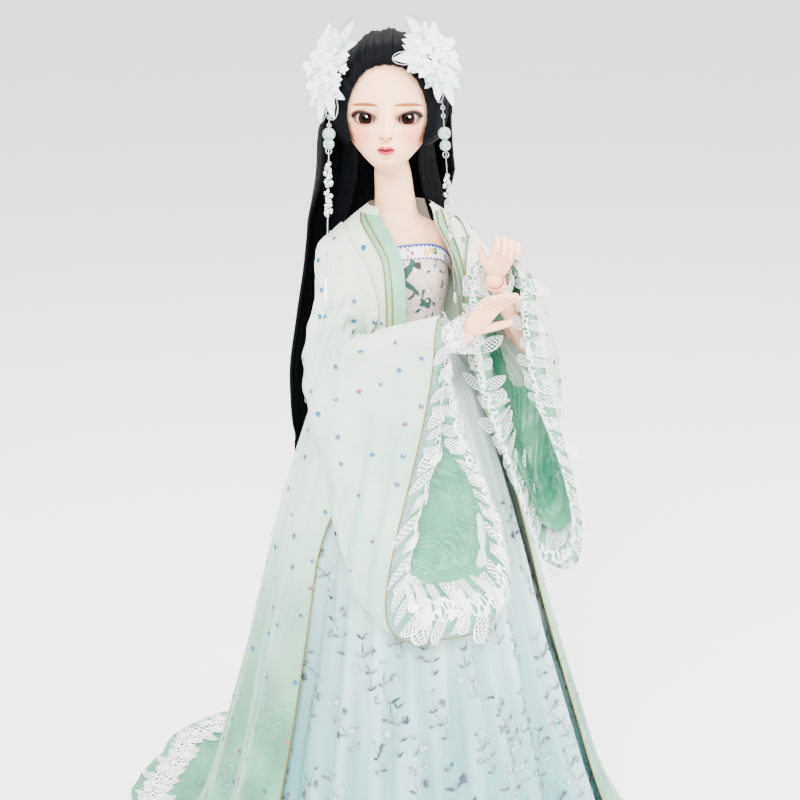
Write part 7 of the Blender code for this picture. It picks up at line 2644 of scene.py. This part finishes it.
def hollowed(obj, balls):
    """Cuts round sockets into a closed body."""
    cutters = []
    for centre, radius in balls:
        bm = bmesh.new()
        bmesh.ops.create_icosphere(bm, subdivisions=4, radius=radius, matrix=at_point(centre))
        cutter = new_object("socket", mesh_from(bm, "socket", smooth=False), None)
        modifier = obj.modifiers.new("Socket", "BOOLEAN")
        modifier.operation = "DIFFERENCE"
        modifier.solver = "EXACT"
        modifier.object = cutter
        cutters.append(cutter)
    baked(obj)
    for cutter in cutters:
        bpy.data.objects.remove(cutter)
    return obj


LIMB_PARTS = ("thigh", "knee_piece", "shin", "foot", "upper_arm", "elbow_piece", "forearm")


def make_body():
    """The CAD limbs, cords and hook with their finishes, and the chest and hands as fine skins."""
    skin = finish_of("matt_resin")
    kept = ["hips"]
    for _, label in ARMS:
        kept += [f"{part}_{label}" for part in LIMB_PARTS]
    repaint(kept, skin)
    cords = ["elastic_torso", "elastic_shoulders"]
    for _, label in ARMS:
        cords += [f"elastic_{part}_{label}" for part in ("upper_arm", "forearm", "thigh", "shin")]
    repaint(cords, finish_of("elastic_cord"))
    repaint(["neck_hook"], finish_of("steel_wire"))
    chest = new_object("chest_skin", fine_chest(), skin)
    balls = [(mirrored(SHOULDER, side), SHOULDER_BALL + CLEARANCE) for side, _ in ARMS]
    balls += [(WAIST, WAIST_BALL + CLEARANCE)]
    hollowed(chest, balls)
    chest.data.shade_smooth()
    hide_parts("chest")
    move_with(chest, "chest")
    for side, label, curl, palm in (
        (-1, "right", math.radians(14), (0.30, -0.90, 0.25)),
        (1, "left", math.radians(60), (-0.30, -1.0, 0.10)),
    ):
        hand = fine_hand(side, label, curl, np.array(palm))
        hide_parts(f"hand_{label}")
        move_with(hand, f"hand_{label}")


def make_head():
    """One fine skin for the face half and its cap, glass eyes behind the lids and lashes above them."""
    face = make_face()
    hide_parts("head", "head_cap")
    move_with(face, "head")
    for side, label in ARMS:
        eye = make_eye(side, label)
        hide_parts(f"eye_{label}")
        move_with(eye, "head")
        lashes = make_lashes(side, label)
        move_with(lashes, "head")


def floor_graph(graph):
    shade = graph.noise(graph.where(), 3.0, 2.0)
    tone = graph.mix(shade, (0.86, 0.86, 0.86), (0.88, 0.88, 0.88))
    graph.surface(Base_Color=tone, Roughness=0.7 + 0.1 * shade)


CAMERA_TURN = math.radians(-22)
CAMERA_RISE = math.radians(18)
CAMERA_DISTANCE = 1.30
CAMERA_TARGET = np.array([0.0, 0.0, 0.33])
CAMERA_LENS = 82.67
CAMERA_SENSOR = 36.0
CAMERA_SHIFT_SHARE = 0.02825


def make_stage():
    """Pale floor, a white room's light, three soft lamps and the photograph's viewpoint."""
    stage = bpy.context.scene.doll_stage
    mesh = bpy.data.meshes.new("floor")
    half = stage.floor_half
    corners = [(-half, -half, 0), (half, -half, 0), (half, half, 0), (-half, half, 0)]
    mesh.from_pydata(corners, [], [(0, 1, 2, 3)])
    floor = new_object("floor", mesh, finish_of("pale_floor"))
    world = bpy.data.worlds.new("studio")
    bpy.context.scene.world = world
    world.use_nodes = True
    world.node_tree.nodes.clear()
    graph = Graph(world.node_tree)
    white = {"Color": (1.0, 1.0, 1.0), "Strength": stage.room_light}
    background = graph.node("ShaderNodeBackground", {}, white)
    graph.node("ShaderNodeOutputWorld", {}, {"Surface": background})
    back = np.array(
        [
            math.sin(CAMERA_TURN) * math.cos(CAMERA_RISE),
            -math.cos(CAMERA_TURN) * math.cos(CAMERA_RISE),
            math.sin(CAMERA_RISE),
        ]
    )
    target = Vector(placed(CAMERA_TARGET))
    camera_data = bpy.data.cameras.new("camera")
    camera_data.lens = CAMERA_LENS
    camera_data.sensor_width = CAMERA_SENSOR
    camera_data.shift_y = CAMERA_SHIFT_SHARE
    camera = bpy.data.objects.new("camera", camera_data)
    camera.location = target + Vector(back) * CAMERA_DISTANCE
    camera.rotation_euler = (target - camera.location).to_track_quat("-Z", "Y").to_euler()
    bpy.context.scene.collection.objects.link(camera)
    bpy.context.scene.camera = camera
    lamps = (
        ("key", (-0.9, -1.5, 1.6), 1.1, stage.key_light),
        ("fill", (1.4, -1.2, 1.0), 1.4, stage.key_light * 0.45),
        ("top", (0.1, 0.3, 1.9), 1.2, stage.key_light * 0.5),
    )
    for name, place, size, power in lamps:
        data = bpy.data.lights.new(name, "AREA")
        data.shape = "DISK"
        data.size = size
        data.energy = power
        lamp = bpy.data.objects.new(name, data)
        lamp.location = place
        lamp.rotation_euler = (target - lamp.location).to_track_quat("-Z", "Y").to_euler()
        bpy.context.scene.collection.objects.link(lamp)


FINISHES = {
    "matt_resin": resin_graph,
    "painted_face": face_graph,
    "painted_eye": eye_graph,
    "lash_fibre": lash_graph,
    "sequin": sequin_graph,
    "robe_cloth": robe_graph,
    "gold_cord": gold_graph,
    "embossed_satin": satin_graph,
    "guipure_lace": lace_graph,
    "silvered_organza": organza_graph,
    "underskirt_satin": underskirt_graph,
    "silver_foil": foil_graph,
    "lapel_satin": pale_satin_graph,
    "crinkled_print": print_graph,
    "woven_ribbon": ribbon_graph,
    "lip_satin": lip_graph,
    "sheer_strip": sheer_graph,
    "crinkled_chiffon": chiffon_graph,
    "lining_satin": lining_in_shade_graph,
    "black_fibre": hair_graph,
    "frosted_petal": petal_graph,
    "silvered_wire": wire_graph,
    "small_pearl": pearl_graph,
    "mint_glass_bead": bead_graph,
    "crystal": crystal_graph,
    "elastic_cord": elastic_graph,
    "steel_wire": steel_graph,
    "pale_floor": floor_graph,
}


def tint(label, value):
    return FloatVectorProperty(
        name=label, description=label, subtype="COLOR", size=3, default=value, min=0.0, max=1.0
    )


def length_setting(label, value):
    return FloatProperty(name=label, description=label, default=value, min=0.00005, unit="LENGTH")


class DollBody(bpy.types.PropertyGroup):
    skin: tint("Resin skin", (0.95, 0.54, 0.33))
    blush: tint("Warm mottling of the skin", (0.93, 0.44, 0.25))
    cheek: tint("Painted blush", (0.85, 0.26, 0.15))
    brow: tint("Brow paint", (0.24, 0.065, 0.006))
    lip: tint("Lip paint", (0.46, 0.014, 0.045))
    iris_radius: length_setting("Radius of the iris", 0.0045)


class DollGown(bpy.types.PropertyGroup):
    # Each deep tone is painted shade of the tone before it, mixed in by clouds and, for chiffon and organza,
    # in the folds' valleys
    chiffon: tint("Crinkled chiffon", (0.56, 0.68, 0.56))
    chiffon_deep: tint("Shaded chiffon", (0.24, 0.46, 0.34))
    satin: tint("Green satin", (0.075, 0.30, 0.165))
    satin_deep: tint("Green satin in the folds", (0.016, 0.15, 0.075))
    organza: tint("Aqua under the organza", (0.17, 0.40, 0.38))
    organza_deep: tint("Aqua in the folds", (0.065, 0.26, 0.26))
    ribbon_width: length_setting("Width of the bodice ribbon", 0.0093)
    cord_radius: length_setting("Radius of the gold cord", 0.00055)
    sequin_radius: length_setting("Radius of a sequin", 0.0017)
    sequin_spacing: length_setting("Least distance between sequins", 0.0150)
    sprig_spacing: length_setting("Least distance between foil sprigs", 0.0230)


class DollStage(bpy.types.PropertyGroup):
    floor_half: length_setting("Half the floor's side", 12.0)
    room_light: FloatProperty(
        name="Room light", description="Strength of the white room", default=2.5, min=0.0
    )
    key_light: FloatProperty(
        name="Key light", description="Power of the main lamp in watts", default=125.0, min=0.0
    )


class DOLL_OT_body(bpy.types.Operator):
    """Resin body, torso and hands"""

    bl_idname = "doll.body"
    bl_label = "Body"

    def execute(self, context):
        make_body()
        return {"FINISHED"}


class DOLL_OT_head(bpy.types.Operator):
    """Painted head, glass eyes and lashes"""

    bl_idname = "doll.head"
    bl_label = "Head"

    def execute(self, context):
        make_head()
        return {"FINISHED"}


class DOLL_OT_hair(bpy.types.Operator):
    """Wig with its swept top hair and long back hair"""

    bl_idname = "doll.hair"
    bl_label = "Hair"

    def execute(self, context):
        make_wig()
        make_long_hair()
        side_locks()
        return {"FINISHED"}


class DOLL_OT_bodice(bpy.types.Operator):
    """Bodice and its ribbon"""

    bl_idname = "doll.bodice"
    bl_label = "Bodice"

    def execute(self, context):
        make_bodice()
        return {"FINISHED"}


class DOLL_OT_skirts(bpy.types.Operator):
    """Organza skirt with foil sprigs over its underskirt"""

    bl_idname = "doll.skirts"
    bl_label = "Skirts"

    def execute(self, context):
        make_skirts()
        return {"FINISHED"}


class DOLL_OT_robe(bpy.types.Operator):
    """Open robe with its train, cords, sequins and satin lapels"""

    bl_idname = "doll.robe"
    bl_label = "Robe"

    def execute(self, context):
        make_robe()
        make_lapels()
        return {"FINISHED"}


class DOLL_OT_sleeves(bpy.types.Operator):
    """Hanging sleeves with their turned mouths, linings, laces and cuffs"""

    bl_idname = "doll.sleeves"
    bl_label = "Sleeves"

    def execute(self, context):
        for side, label in ARMS:
            make_sleeve(side, label)
            make_cuff(side, label)
        return {"FINISHED"}


class DOLL_OT_ornaments(bpy.types.Operator):
    """Hair ornaments and the pendants that swing from them"""

    bl_idname = "doll.ornaments"
    bl_label = "Ornaments"

    def execute(self, context):
        for _, label in ARMS:
            make_ornament(label)
            make_pendant(label)
        return {"FINISHED"}


class DOLL_OT_stage(bpy.types.Operator):
    """Floor, lights and camera"""

    bl_idname = "doll.stage"
    bl_label = "Stage"

    def execute(self, context):
        make_stage()
        return {"FINISHED"}


OPERATORS = (
    DOLL_OT_body,
    DOLL_OT_head,
    DOLL_OT_hair,
    DOLL_OT_bodice,
    DOLL_OT_skirts,
    DOLL_OT_robe,
    DOLL_OT_sleeves,
    DOLL_OT_ornaments,
    DOLL_OT_stage,
)


class DOLL_PT_panel(bpy.types.Panel):
    """Lists the doll's pieces in the order in which they are made"""

    bl_idname = "DOLL_PT_panel"
    bl_label = "Doll"
    bl_space_type = "VIEW_3D"
    bl_region_type = "UI"
    bl_category = "Doll"

    def draw(self, context):
        for group in (context.scene.doll_body, context.scene.doll_gown, context.scene.doll_stage):
            box = self.layout.box()
            for key in group.__annotations__:
                box.prop(group, key)
        for operator in OPERATORS:
            self.layout.operator(operator.bl_idname)


GROUPS = (("doll_body", DollBody), ("doll_gown", DollGown), ("doll_stage", DollStage))


def register():
    for name, group in GROUPS:
        bpy.utils.register_class(group)
        setattr(bpy.types.Scene, name, PointerProperty(type=group))
    for item in (*OPERATORS, DOLL_PT_panel):
        bpy.utils.register_class(item)


def unregister():
    for item in reversed((*OPERATORS, DOLL_PT_panel)):
        bpy.utils.unregister_class(item)
    for name, group in reversed(GROUPS):
        delattr(bpy.types.Scene, name)
        bpy.utils.unregister_class(group)


def main():
    register()
    for step in ("body", "head", "hair", "bodice", "skirts", "robe", "sleeves", "ornaments", "stage"):
        if getattr(bpy.ops.doll, step)() != {"FINISHED"}:
            raise RuntimeError(f"the {step} step did not finish")
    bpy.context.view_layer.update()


if __name__ == "__main__":
    main()
